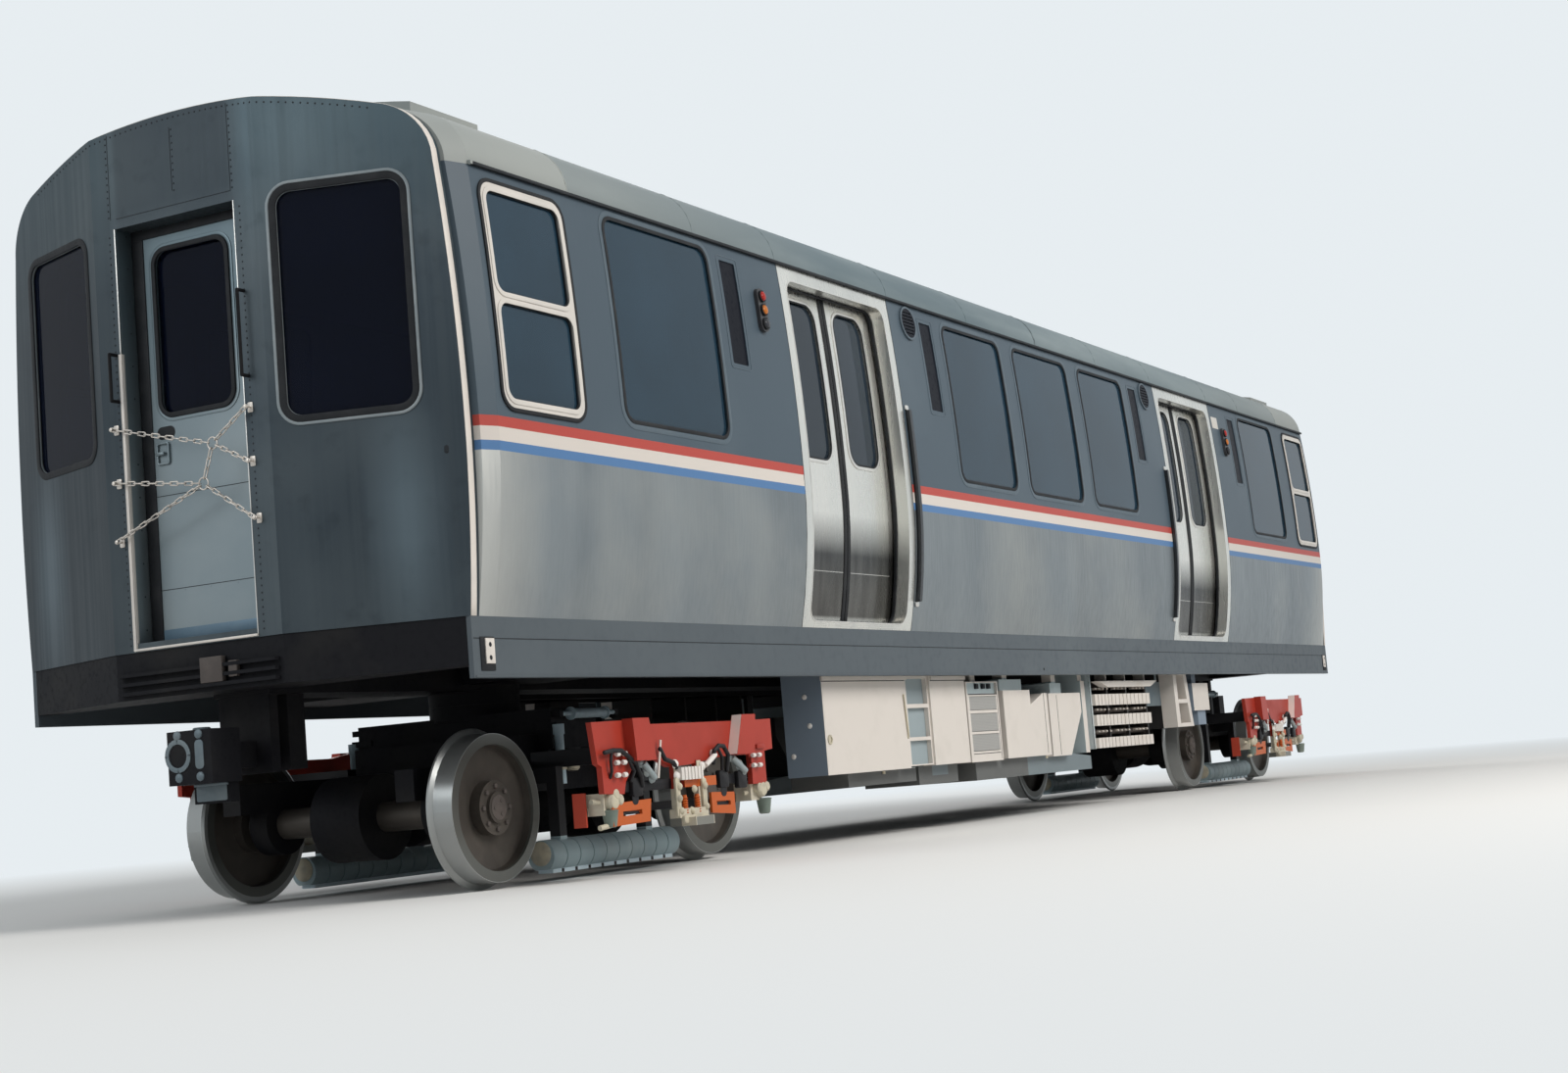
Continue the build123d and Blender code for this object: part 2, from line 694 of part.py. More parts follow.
def floor():
    half = SILL_HALF - SKIN - SEAM
    slab = block((-SHELL_END_X, SHELL_END_X), (-half, half), (FLOOR_BOTTOM_Z, FLOOR_TOP_Z))
    tip = plan_prism(-MASK - SEAM, (FLOOR_BOTTOM_Z, FLOOR_TOP_Z))
    tip = tip & block((SHELL_END_X, FACE_X), (-half + 12, half - 12), (0, 2 * CROWN_Z))
    slab = slab + tip + turned(tip)
    notch = block((DOORWAY[0], DOORWAY[1]), (SILL_HALF - FRAME_DEPTH - SEAM, 2 * BELT_HALF),
                  (SILL_TOP_Z, FLOOR_TOP_Z))
    for cut in four_ways(notch):
        slab = slab - cut
    return slab


def left_sill():
    """The dark sill below the left side panels, one channel for the car's whole length."""
    x = (-CORNER_X, CORNER_X)
    return side_slab(x, (SILL_BOTTOM_Z, SILL_TOP_Z - SEAM), 0, SKIN)


# Cross bearers of the underframe: middle, width
BEARERS = [(0, 120), (1300, 120), (2600, 120), (3700, 140), (6500, 160)]
BEARER_BOTTOM_Z = SILL_BOTTOM_Z + 106
CENTRE_SILL = dict(half=170, bottom=SILL_BOTTOM_Z + 36)
RAIL_Z = SILL_BOTTOM_Z + 46
EQUIPMENT_RAILS = dict(half=3770, y=(720, 1120), width=60)
BOLSTER = dict(half=330, bottom=SILL_BOTTOM_Z - 34, beam=SILL_BOTTOM_Z + 66, plate_r=240)
ANTICLIMBER = dict(back=6840, bottom=SILL_BOTTOM_Z + 56, inset=6, half=470, proud=26,
                   rib=16, ribs=(20, 62, 104))


def underframe():
    """The steel frame below the floor: centre sill, bearers, bolsters and ribbed end sills."""
    top = FLOOR_BOTTOM_Z - SEAM
    half = SILL_HALF - SKIN - SEAM
    frame = block((-CORNER_X, CORNER_X), (-CENTRE_SILL["half"], CENTRE_SILL["half"]),
                  (CENTRE_SILL["bottom"], top))
    for x, width in BEARERS:
        for sign in {1, -1 if x else 1}:
            frame = frame + block((sign * x - width / 2, sign * x + width / 2), (-half, half),
                                  (BEARER_BOTTOM_Z, top))
    rails = EQUIPMENT_RAILS
    for y in rails["y"]:
        for side in (1, -1):
            frame = frame + block((-rails["half"], rails["half"]),
                                  (side * y - rails["width"] / 2, side * y + rails["width"] / 2),
                                  (RAIL_Z, BEARER_BOTTOM_Z + 1))
    for sign in (1, -1):
        x = sign * TRUCK_X
        frame = frame + block((x - BOLSTER["half"], x + BOLSTER["half"]), (-half, half),
                              (BOLSTER["beam"], top))
        frame = frame + Pos(x, 0, (BOLSTER["bottom"] + top) / 2) * Cylinder(
            BOLSTER["plate_r"], top - BOLSTER["bottom"])
    a = ANTICLIMBER
    end = plan_prism(-a["inset"], (a["bottom"], SILL_TOP_Z - SEAM), a["back"])
    end = end & block((a["back"], FACE_X), (-half, half), (0, 2 * CROWN_Z))
    end = end - plan_prism(-MASK, (top, 2 * CROWN_Z))
    for rise in a["ribs"]:
        low = a["bottom"] + rise
        rib = plan_prism(a["proud"], (low, low + a["rib"]), a["back"])
        end = end + (rib & block((a["back"], 2 * FACE_X), (-a["half"], a["half"]),
                                 (0, 2 * CROWN_Z)))
    frame = frame + end + turned(end)
    return frame


COUPLER = dict(z=720, length=675, shank=60, head=235, head_half=150, head_height=240,
               pin_back=110, pin_r=25, corner=45, hanger=120, carrier=(395, 455), box=(155, 215),
               box_height=90)


def coupler():
    """The automatic coupler at the front, carried under the end sill."""
    c = COUPLER
    z = c["z"]
    tip = COUPLED_LENGTH / 2
    back = tip - c["length"]
    head_back = tip - c["head"]
    hang = CENTRE_SILL["bottom"] - SEAM
    half, corner = c["head_half"], c["corner"]
    body = block((back, head_back + 10), (-c["shank"], c["shank"]),
                 (z - c["shank"], z + c["shank"]))
    outline = Polyline((head_back, -c["shank"]), (head_back + corner, -half), (tip - corner, -half),
                       (tip, corner - half), (tip, half), (head_back + corner, half),
                       (head_back, c["shank"]), close=True)
    head = extrude(Plane(origin=(0, 0, z - c["head_height"] / 2)) * make_face(outline),
                   c["head_height"])
    low = z - c["head_height"] / 2
    cable_box = block((tip - c["box"][1], tip - c["box"][0]), (-half + corner, half - corner),
                      (low - c["box_height"], low + 1))
    hanger = block((back, back + c["hanger"]), (-c["hanger"], c["hanger"]),
                   (z - c["shank"] - 20, hang))
    carrier = block((tip - c["carrier"][1], tip - c["carrier"][0]), (-half, half),
                    (z - c["shank"] - 30, hang))
    pin = Pos(tip - c["pin_back"], 0, z) * Cylinder(c["pin_r"], 2 * c["head_height"])
    return (body + head + cable_box + hanger + carrier) - pin


# Equipment hung under the left side, its outer face at this y. Each outline is (x, drop below
# the rails), and each unit is the boxes that are joined to each other.
EQUIPMENT_FACE_Y = 1200
EQUIPMENT = [
    [dict(outline=[(3450, 0), (3450, 601), (2347, 601), (2347, 0)], depth=260, back=0),
     dict(outline=[(3032, 595), (3032, 682), (2100, 682), (2100, 595)], depth=380, back=90)],
    [dict(outline=[(2323, 0), (2323, 590), (1984, 590), (1984, 0)], depth=520, back=14),
     dict(outline=[(1986, 0), (1986, 596), (1450, 596), (1450, 0)], depth=540, back=0),
     dict(outline=[(2060, 590), (2060, 711), (1470, 711), (1470, 590)], depth=380, back=90)],
    [dict(outline=[(1415, 77), (1415, 600), (896, 600), (896, 77)], depth=540, back=6),
     dict(outline=[(826, 138), (826, 594), (47, 594), (47, 162), (120, 162), (356, 238),
                   (356, 138)], depth=540, back=0),
     dict(outline=[(808, 62), (808, 139), (422, 139), (422, 62)], depth=480, back=30),
     dict(outline=[(9, 165), (9, 607), (-337, 607), (-606, 303), (-603, 165)], depth=520, back=4),
     dict(outline=[(-120, 90), (-120, 166), (-330, 166), (-330, 90)], depth=460, back=40),
     dict(outline=[(1244, 590), (1244, 720), (-854, 720), (-854, 624), (-400, 590)],
          depth=420, back=60),
     dict(outline=[(1240, 0), (1240, 80), (1160, 80), (1160, 0)], depth=450, back=50),
     dict(outline=[(700, 0), (700, 70), (620, 70), (620, 0)], depth=450, back=50),
     dict(outline=[(-180, 0), (-180, 100), (-260, 100), (-260, 0)], depth=450, back=50)],
    [dict(outline=[(-3155, 110), (-3155, 335), (-3561, 335), (-3561, 110)], depth=300, back=0),
     dict(outline=[(-3292, 330), (-3292, 452), (-3498, 452), (-3498, 330)], depth=200, back=20),
     dict(outline=[(-3300, 0), (-3300, 112), (-3400, 112), (-3400, 0)], depth=200, back=50)],
]
LIPS = [dict(unit=0, x=(2337, 3460), drop=(38, 62)), dict(unit=1, x=(1452, 1974), drop=(40, 64))]
LIP_PROUD = 12
# Shallow pockets in the faces: unit, low and high x, top and bottom drop, depth, slats
POCKETS = [
    dict(unit=1, x=(2004, 2303), drop=(52, 210), depth=44, slats=0),
    dict(unit=1, x=(2004, 2303), drop=(234, 414), depth=44, slats=0),
    dict(unit=1, x=(2004, 2303), drop=(436, 582), depth=44, slats=0),
    dict(unit=2, x=(912, 1399), drop=(84, 156), depth=24, slats=0),
    dict(unit=2, x=(936, 1375), drop=(172, 264), depth=30, slats=3),
    dict(unit=2, x=(936, 1375), drop=(284, 404), depth=30, slats=4),
    dict(unit=2, x=(936, 1375), drop=(420, 532), depth=30, slats=4),
]
SLAT = dict(thickness=8, proud=4)
LADDER = dict(depth=240, outline=[(-2688, 0), (-2701, 460), (-3110, 460), (-3010, 0)],
              holes=[[(-2766, 40), (-2774, 238), (-2990, 238), (-2946, 40)],
                     [(-2780, 270), (-2790, 430), (-3036, 430), (-3000, 270)]])


def side_prism(outline, outer, inner):
    """A prism of the left side from an outline of x and drop below the rails."""
    points = [(x, RAIL_Z - SEAM - drop) for x, drop in outline]
    plane = Plane(origin=(0, outer, 0), x_dir=(1, 0, 0), z_dir=(0, -1, 0))
    return extrude(plane * make_face(Polyline(*points, close=True)), outer - inner)


def band_prism(x, drop, outer, inner):
    low, high = x
    top, bottom = drop
    outline = [(low, top), (low, bottom), (high, bottom), (high, top)]
    return side_prism(outline, outer, inner)


def equipment_units():
    """The boxes, trays and panels under the left side, joined where they touch."""
    face = EQUIPMENT_FACE_Y
    units = []
    for rows in EQUIPMENT:
        unit = None
        for row in rows:
            piece = side_prism(row["outline"], face - row["back"],
                               face - row["back"] - row["depth"])
            unit = piece if unit is None else unit + piece
        units.append(unit)
    for lip in LIPS:
        plate = band_prism(lip["x"], lip["drop"], face + LIP_PROUD, face - 1)
        units[lip["unit"]] = units[lip["unit"]] + plate
    for pocket in POCKETS:
        unit = units[pocket["unit"]]
        top, bottom = pocket["drop"]
        unit = unit - band_prism(pocket["x"], pocket["drop"], 2 * face, face - pocket["depth"])
        pitch = (bottom - top) / (pocket["slats"] + 1)
        for number in range(pocket["slats"]):
            middle = top + (number + 1) * pitch
            drop = (middle - SLAT["thickness"] / 2, middle + SLAT["thickness"] / 2)
            slat = band_prism((pocket["x"][0] - 1, pocket["x"][1] + 1), drop,
                              face - 2 * SLAT["proud"], face - pocket["depth"] - 1)
            unit = unit + slat
        units[pocket["unit"]] = unit
    return units


def ladder_frame():
    """The open frame at the end of the equipment."""
    outer, inner = EQUIPMENT_FACE_Y, EQUIPMENT_FACE_Y - LADDER["depth"]
    frame = side_prism(LADDER["outline"], outer, inner)
    for hole in LADDER["holes"]:
        frame = frame - side_prism(hole, 2 * outer, 0)
    return frame


# Bank of braking resistors: limits along the car, three groups in each row, rows by their drop
RESISTORS = dict(x=(-2096, -892), depth=420, splits=(-1658, -1246), split=14, teeth=5, gap=12,
                 groove=34, rows=[(180, 262), (332, 413), (502, 577)], coil_r=24, post=26)
RESISTOR_HOOD = [(-920, 85), (-1106, 130), (-2055, 130), (-2208, 85)]
RESISTOR_PLATE = dict(x=(-800, -721), drop=(78, 600))


def resistor_row(drop):
    """One row of insulator blocks: a bar with grooves between the blocks and the groups."""
    r = RESISTORS
    face = EQUIPMENT_FACE_Y
    edges = [r["x"][0], *r["splits"], r["x"][1]]
    row = band_prism(r["x"], drop, face, face - r["depth"])
    for low, high in zip(edges, edges[1:]):
        pitch = (high - low) / r["teeth"]
        for number in range(r["teeth"]):
            width = r["gap"] if number else r["split"]
            middle = low + number * pitch
            row = row - band_prism((middle - width / 2, middle + width / 2),
                                   (drop[0] - 5, drop[1] + 5), face + 5, face - r["groove"])
    return row


def resistor_bank():
    """Open frame with rows of insulators and coils, under a sloping hood."""
    r = RESISTORS
    face = EQUIPMENT_FACE_Y
    back = face - r["depth"]
    low, high = r["x"]
    foot = r["rows"][-1][1]
    bank = None
    for drop in r["rows"]:
        bank = resistor_row(drop) if bank is None else bank + resistor_row(drop)
    for x in (low, *r["splits"], high):
        post = (x - r["post"] / 2, x + r["post"] / 2)
        bank = bank + band_prism(post, (0, foot), face - r["groove"], back)
    for first, second in zip(r["rows"], r["rows"][1:]):
        middle = RAIL_Z - SEAM - (first[1] + second[0]) / 2
        y = face - r["groove"] - 2 * r["coil_r"]
        bank = bank + rod((low, y, middle), (high, y, middle), r["coil_r"])
    bank = bank + side_prism(RESISTOR_HOOD, face + 30, face - 120)
    plate = band_prism(RESISTOR_PLATE["x"], RESISTOR_PLATE["drop"], face - 40, back)
    tie = band_prism((high - 1, RESISTOR_PLATE["x"][1]), (300, 340), face - 120, back)
    hook = band_prism(RESISTOR_PLATE["x"], (0, 80), face - 60, back)
    return bank + plate + tie + hook


# Seats along the left side: middle of each double seat
SEAT_X = [-1500, -750, 0, 750, 1500, 4350, 5100, 5700]
SEAT = dict(width=860, depth=430, height=440, back=1000, thickness=60)


def seat(x, facing):
    """A double seat on a pedestal with its back, facing along the car."""
    s = SEAT
    y1 = SILL_HALF - LINING_INSET - LINING - 12
    y = (y1 - s["width"], y1)
    z0 = FLOOR_TOP_Z
    cushion = block((x - s["depth"] / 2, x + s["depth"] / 2), y,
                    (z0 + s["height"] - s["thickness"], z0 + s["height"]))
    pedestal = block((x - 120, x + 120), (y[0] + 150, y[1] - 150), (z0, z0 + s["height"] - 10))
    low = x - facing * s["depth"] / 2
    back = block(sorted((low, low + facing * s["thickness"])), y,
                 (z0 + s["height"] - s["thickness"], z0 + s["back"]))
    return cushion + pedestal + back


POLE_R = 16
POLES = [(2300, 330), (4010, 330)]


def poles():
    stands = []
    for x, y in POLES:
        reach = DRIP_HALF - LINING_INSET
        rise = (CEILING_CROWN_Z - DOORWAY_TOP_Z) * (1 - (y / reach) ** 2)
        stands.append(rod((x, y, FLOOR_TOP_Z), (x, y, DOORWAY_TOP_Z + rise - 12), POLE_R))
    return stands


PARTITION = dict(back=752, thickness=40, gap_half=420, window_y=(560, 1000), window_z=(206, 970))


def cab_partition():
    """The wall behind the front cab, on both sides of the passage."""
    p = PARTITION
    middle = SHELL_END_X - p["back"]
    x = (middle - p["thickness"] / 2, middle + p["thickness"] / 2)
    core = body_core(x, LINING_INSET + LINING + SEAM)
    wall = core & block(x, (p["gap_half"], 2 * BELT_HALF), (FLOOR_TOP_Z, DOORWAY_TOP_Z - 4))
    hole = block((x[0] - 10, x[1] + 10), p["window_y"],
                 (BELT_Z + p["window_z"][0], BELT_Z + p["window_z"][1]))
    wall = wall - hole
    return [wall, mirrored(wall)]


# Truck pieces, modelled about the truck's middle on the car's centre line
# Heights are above the axle
SIDE_BEAM = dict(y=530, width=110, height=150, rise=136.5, overhang=330, housing_r=150)
TRANSOM = dict(x=260, width=200, height=140)
TRUCK_BOLSTER = dict(width=420, half=620, plate=80)
MOTOR = dict(r=190, x=(230, 640), rise=26.5, neck_r=110)
GEARBOX = dict(r=210, half=150)
DAMPER = dict(x=(-236, 86), y=660, rise=444, r=24, rod=112, rod_r=11, lug=30)
STRUT = dict(x=205, rise=(87, 392), r=22, lugs=(160, 372))
BEAM_Z = AXLE_Z + SIDE_BEAM["rise"]
MOTOR_Z = AXLE_Z + MOTOR["rise"]

# The beam outside the wheels: outline as x and height above the axle, with two boxes proud of it
SHOE_BEAM = dict(face=1290, depth=30, box_proud=60, arm_x=300, arm_half=60, arm=(171, 256))
SHOE_OUTLINE = [(864, 361), (832, 163), (799, 149), (793, 21), (616, 13), (596, 70), (500, 162),
                (296, 167), (189, 126), (-7, 132), (-338, 162), (-641, 162), (-641, 6), (-791, 6),
                (-791, 176), (-881, 186), (-881, 346), (-569, 342), (336, 342), (493, 366)]
SHOE_BOXES = [[(592, 371), (443, 371), (395, 166), (574, 166)],
              [(-470, 371), (-615, 371), (-581, 166), (-394, 166)]]
# Brackets below the beam: outline, and the two distances in from the beam's face
SHOE_BRACKETS = [
    dict(outline=[(729, -28), (380, -20), (400, -128), (729, -136)], depth=(0, 14)),
    dict(outline=[(-200, -16), (-436, -24), (-436, -136), (-200, -120)], depth=(0, 14)),
    dict(outline=[(800, 32), (788, 32), (788, -130), (800, -130)], depth=(108, 178)),
    dict(outline=[(800, -40), (-791, -40), (-791, -80), (800, -80)], depth=(120, 144)),
    dict(outline=[(760, 24), (650, 24), (650, -80), (760, -80)], depth=(30, 130)),
    dict(outline=[(-660, 10), (-770, 10), (-770, -80), (-660, -80)], depth=(29, 130)),
    dict(outline=[(560, -50), (470, -50), (470, -80), (560, -80)], depth=(10, 130)),
    dict(outline=[(-280, -50), (-370, -50), (-370, -80), (-280, -80)], depth=(10, 130)),
]
BRACKET_SLOTS = [[(640, -70), (470, -66), (470, -88), (640, -92)],
                 [(-250, -62), (-390, -66), (-390, -88), (-250, -84)]]
# The current collector hung from the beam's middle: blocks as x, height and distance from the face
SHOE_GEAR = [
    dict(x=(-70, 140), z=(57, 120), depth=(-40, 20)),
    dict(x=(-243, 69), z=(20, 68), depth=(-10, 20)),
    dict(x=(-100, -60), z=(-90, 150), depth=(-10, 20)),
    dict(x=(120, 160), z=(-90, 150), depth=(-10, 20)),
    dict(x=(-110, 170), z=(-130, -85), depth=(-30, 30)),
    dict(x=(-60, 120), z=(-170, -128), depth=(-90, 60)),
]
TRACK_BRAKE = dict(y=748, r=78, neck_r=70, x=(-620, 564), ribs=10, groove=7, rise=98,
                   pole=(12, 30), pole_width=44, hanger_x=400)


def axle_bore(x):
    return Pos(x, 0, AXLE_Z) * Rot(90, 0, 0) * Cylinder(AXLE_R + BEARING_GAP, 3 * WHEEL_BACK_Y)


def left_dampers():
    """The lengthwise damper and the upright strut outside the left side beam, with their lugs."""
    d, s = DAMPER, STRUT
    inner = SIDE_BEAM["y"]
    z = AXLE_Z + d["rise"]
    low, high = d["x"][0] - d["rod"], d["x"][1] + d["rod"]
    shape = rod((d["x"][0], d["y"], z), (d["x"][1], d["y"], z), d["r"])
    shape = shape + rod((low, d["y"], z), (high, d["y"], z), d["rod_r"])
    for x in (low, high - d["lug"]):
        along = (x, x + d["lug"])
        lug_z = (z - d["lug"] / 2, z + d["lug"] / 2)
        shape = shape + block(along, (inner, inner + SIDE_BEAM["width"] / 2), (BEAM_Z, lug_z[1]))
        shape = shape + block(along, (inner, d["y"] + d["rod_r"]), lug_z)
    bottom, top = [AXLE_Z + rise for rise in s["rise"]]
    shape = shape + rod((s["x"], d["y"], bottom), (s["x"], d["y"], top), s["r"])
    for rise in s["lugs"]:
        shape = shape + block((s["x"] - d["lug"] / 2, s["x"] + d["lug"] / 2), (inner, d["y"]),
                              (AXLE_Z + rise, AXLE_Z + rise + d["lug"]))
    return shape


def truck_frame():
    """The inside frame: side beams with bearing housings, transoms and swivel bolster."""
    b = SIDE_BEAM
    half = TRUCK_WHEELBASE / 2
    low, high = BEAM_Z - b["height"] / 2, BEAM_Z + b["height"] / 2
    frame = None
    for side in (1, -1):
        y = (side * b["y"] - b["width"] / 2, side * b["y"] + b["width"] / 2)
        beam = block((-half - b["overhang"], half + b["overhang"]), y,
                     (low, high))
        for x in (-half, half):
            housing = Pos(x, side * b["y"], AXLE_Z) * Rot(90, 0, 0) * Cylinder(
                b["housing_r"], b["width"])
            beam = beam + housing
        frame = beam if frame is None else frame + beam
    for x in (-TRANSOM["x"], TRANSOM["x"]):
        frame = frame + block((x - TRANSOM["width"] / 2, x + TRANSOM["width"] / 2),
                              (-b["y"], b["y"]), (BEAM_Z, high + TRANSOM["height"]))
    top = BOLSTER["bottom"] - SWIVEL_GAP
    bolster = block((-TRUCK_BOLSTER["width"] / 2, TRUCK_BOLSTER["width"] / 2),
                    (-TRUCK_BOLSTER["half"], TRUCK_BOLSTER["half"]),
                    (high + 60, top - 60))
    plate = Pos(0, 0, top - TRUCK_BOLSTER["plate"] / 2) * Cylinder(BOLSTER["plate_r"],
                                                                   TRUCK_BOLSTER["plate"])
    frame = frame + bolster + plate
    frame = frame + left_dampers() + mirrored(left_dampers())
    for x in (-half, half):
        frame = frame - axle_bore(x)
    for sign in (1, -1):
        m = MOTOR
        frame = frame - rod((sign * (m["x"][0] - 60), 0, MOTOR_Z), (sign * half, 0, MOTOR_Z),
                            m["r"] + SEAM)
    return frame


def truck_motors():
    """Two lengthwise motors with a gearbox round each axle."""
    half = TRUCK_WHEELBASE / 2
    parts = []
    for sign in (1, -1):
        m = MOTOR
        motor = rod((sign * m["x"][0], 0, MOTOR_Z), (sign * m["x"][1], 0, MOTOR_Z), m["r"])
        neck = rod((sign * (m["x"][1] - 10), 0, MOTOR_Z), (sign * half, 0, MOTOR_Z), m["neck_r"])
        case = Pos(sign * half, 0, AXLE_Z) * Rot(90, 0, 0) * Cylinder(
            GEARBOX["r"], 2 * GEARBOX["half"])
        parts.append((motor + neck + case) - axle_bore(sign * half))
    return parts


def beam_prism(outline, depth):
    """A prism beside the left shoe beam's face, from an outline of x and height above the axle."""
    points = [(x, AXLE_Z + rise) for x, rise in outline]
    plane = Plane(origin=(0, SHOE_BEAM["face"] - depth[0], 0), x_dir=(1, 0, 0), z_dir=(0, -1, 0))
    return extrude(plane * make_face(Polyline(*points, close=True)), depth[1] - depth[0])


def shoe_beams():
    """The beam outside the wheels that carries the current collector, on each side."""
    s = SHOE_BEAM
    beam = beam_prism(SHOE_OUTLINE, (0, s["depth"]))
    for outline in SHOE_BOXES:
        beam = beam + beam_prism(outline, (-s["box_proud"], 1))
    for row in SHOE_BRACKETS:
        beam = beam + beam_prism(row["outline"], row["depth"])
    for outline in BRACKET_SLOTS:
        beam = beam - beam_prism(outline, (-1, 15))
    for row in SHOE_GEAR:
        low, high = row["x"]
        bottom, top = row["z"]
        outline = [(low, bottom), (high, bottom), (high, top), (low, top)]
        beam = beam + beam_prism(outline, row["depth"])
    inner = SIDE_BEAM["y"] + SIDE_BEAM["width"] / 2 + SEAM
    for sign in (1, -1):
        x = sign * s["arm_x"]
        beam = beam + block((x - s["arm_half"], x + s["arm_half"]), (inner, s["face"] - 10),
                            (AXLE_Z + s["arm"][0], AXLE_Z + s["arm"][1]))
    return [beam, turned(beam)]


def track_brakes():
    """The ribbed magnet bars above the rails, between the wheels."""
    t = TRACK_BRAKE
    z = FLANGE_DEPTH + t["rise"]
    low, high = t["x"]
    bar = rod((low, t["y"], z), (high, t["y"], z), t["neck_r"])
    pitch = (high - low + t["groove"]) / t["ribs"]
    for number in range(t["ribs"]):
        start = low + number * pitch
        bar = bar + rod((start, t["y"], z), (start + pitch - t["groove"], t["y"], z), t["r"])
    bar = bar & block((low, high), (t["y"] - t["r"], t["y"] + t["r"]),
                      (FLANGE_DEPTH + t["pole"][1], z + t["r"]))
    pole = (t["y"] - t["pole_width"], t["y"] + t["pole_width"])
    bar = bar + block((low + 30, high - 30), pole,
                      (FLANGE_DEPTH + t["pole"][0], FLANGE_DEPTH + t["pole"][1] + 1))
    for sign in (1, -1):
        x = (sign * t["hanger_x"] - 30, sign * t["hanger_x"] + 30)
        hanger = block(x, (SIDE_BEAM["y"] + SIDE_BEAM["width"] / 2 + SEAM, t["y"]),
                       (BEAM_Z - 40, BEAM_Z + 40))
        drop = block(x, (t["y"] - 30, t["y"] + 30), (z, BEAM_Z + 40))
        bar = bar + hanger + drop
    return [bar, mirrored(bar)]


def wheelset():
    """An axle with two flanged wheels, turned about the axle's own line."""
    back = WHEEL_BACK_Y
    out = back + WHEEL_WIDTH
    flange_r = WHEEL_R + FLANGE_DEPTH
    points = [
        (0, 0), (AXLE_R, 0), (AXLE_R, back - 20), (HUB_R, back - 20), (HUB_R, back + 30),
        (290, back + 50), (300, back), (flange_r - 12, back), (flange_r, back + 10),
        (flange_r - 4, back + 18), (WHEEL_R + 2, back + FLANGE_WIDTH), (WHEEL_R - 4, out),
        (300, out), (290, back + 85), (HUB_R, back + 70), (HUB_R, out - 5), (AXLE_R, out - 5),
        (AXLE_R, out + 12), (0, out + 12),
    ]
    half = revolve(make_face(Polyline(*points, close=True)), Axis.Y)
    whole = half + mirror(half, Plane.XZ)
    return Pos(0, 0, AXLE_Z) * whole


def write(name, shapes):
    """Write one named piece, made of one solid or of several that don't touch."""
    solids = []
    for shape in shapes if isinstance(shapes, list) else [shapes]:
        solids += list(shape.solids())
    piece = solids[0] if len(solids) == 1 else Compound(children=solids)
    export_step(piece, f"parts/{name}.step")


os.makedirs("parts", exist_ok=True)

wall = left_wall()
lining = left_lining()
glass = left_glass()
frame = cab_window_frame(CAB_WINDOW_X)
panes = cab_panes(CAB_WINDOW_X)
slots = slot_panels()
ring = end_ring()
mask = front_mask()
for hinge in mask_hinges():
    mask = mask + hinge
above = block((0, 2 * FACE_X), (-2 * BELT_HALF, 2 * BELT_HALF), (DRIP_Z, 2 * CROWN_Z))
beside = block((0, 2 * FACE_X), (-2 * BELT_HALF, 2 * BELT_HALF), (SILL_TOP_Z, DRIP_Z - SEAM))
roof_end = ring & above
corner = ring & beside & block((0, 2 * FACE_X), (0, 2 * BELT_HALF), (0, 2 * CROWN_Z))

write("underframe", underframe())
write("side_sills", [left_sill(), mirrored(left_sill())])
write("floor", floor())
write("wall_left", wall)
write("wall_right", [mirrored(panel) for panel in wall])
write("wall_lining", lining + [mirrored(panel) for panel in lining])
write("roof", roof())
write("ceiling", ceiling())
write("roof_ends", [roof_end, turned(roof_end)])
write("corner_panels", four_ways(corner))
write("mask_front", mask)
write("mask_rear", turned(mask))
write("roof_covers", [roof_cover(), turned(roof_cover())])
write("side_glass", glass + [mirrored(pane) for pane in glass]
      + [copy for pane in panes for copy in four_ways(pane)])
write("cab_window_frames", four_ways(frame))
write("end_glass", front_panes() + [turned(pane) for pane in front_panes()])
write("slot_panels", slots + [mirrored(panel) for panel in slots])
write("speaker_grilles", four_ways(speaker_grille()))
write("signal_lamps", four_ways(signal_lamps()))
write("door_frames", four_ways(door_frame(DOORWAY_X)) + four_ways(side_bar()))
links = safety_chains()
write("safety_chains", links + [turned(link) for link in links])
write("grab_rods", grab_rods() + [turned(bar) for bar in grab_rods()])
write("couplers", [coupler(), turned(coupler())])
boxes = equipment_units() + [ladder_frame()]
write("equipment_boxes", boxes + [turned(box) for box in boxes])
write("resistor_banks", [resistor_bank(), turned(resistor_bank())])
seats = [seat(x, 1 if x > 0 else -1) for x in SEAT_X]
seats += [seat(-x, -1) for x in SEAT_X if x > 4000]
write("seats", seats + [mirrored(item) for item in seats])
write("poles", [copy for pole in poles() for copy in four_ways(pole)])
partitions = cab_partition()
write("cab_partitions", partitions + [turned(item) for item in partitions])

for place, sign in (("front", 1), ("rear", -1)):
    shift = Pos(sign * TRUCK_X, 0, 0)
    write(f"truck_frame_{place}", shift * truck_frame())
    write(f"truck_motors_{place}", [shift * motor for motor in truck_motors()])
    write(f"shoe_beams_{place}", [shift * beam for beam in shoe_beams()])
    write(f"track_brakes_{place}", [shift * bar for bar in track_brakes()])

axle_places = [sign * TRUCK_X + end * TRUCK_WHEELBASE / 2 for sign in (1, -1) for end in (1, -1)]
for number, x in enumerate(axle_places, 1):
    write(f"wheelset_{number}", Pos(x, 0, 0) * wheelset())

for side, flip in (("left", lambda s: s), ("right", mirrored)):
    for place, sign in (("front", 1), ("rear", -1)):
        for way, towards in (("forward", 1), ("backward", -1)):
            name = f"door_{side}_{place}_{way}"
            write(name, flip(door_leaf(sign * DOORWAY_X, towards)))
            write(name + "_glass", flip(door_leaf_glass(sign * DOORWAY_X, towards)))

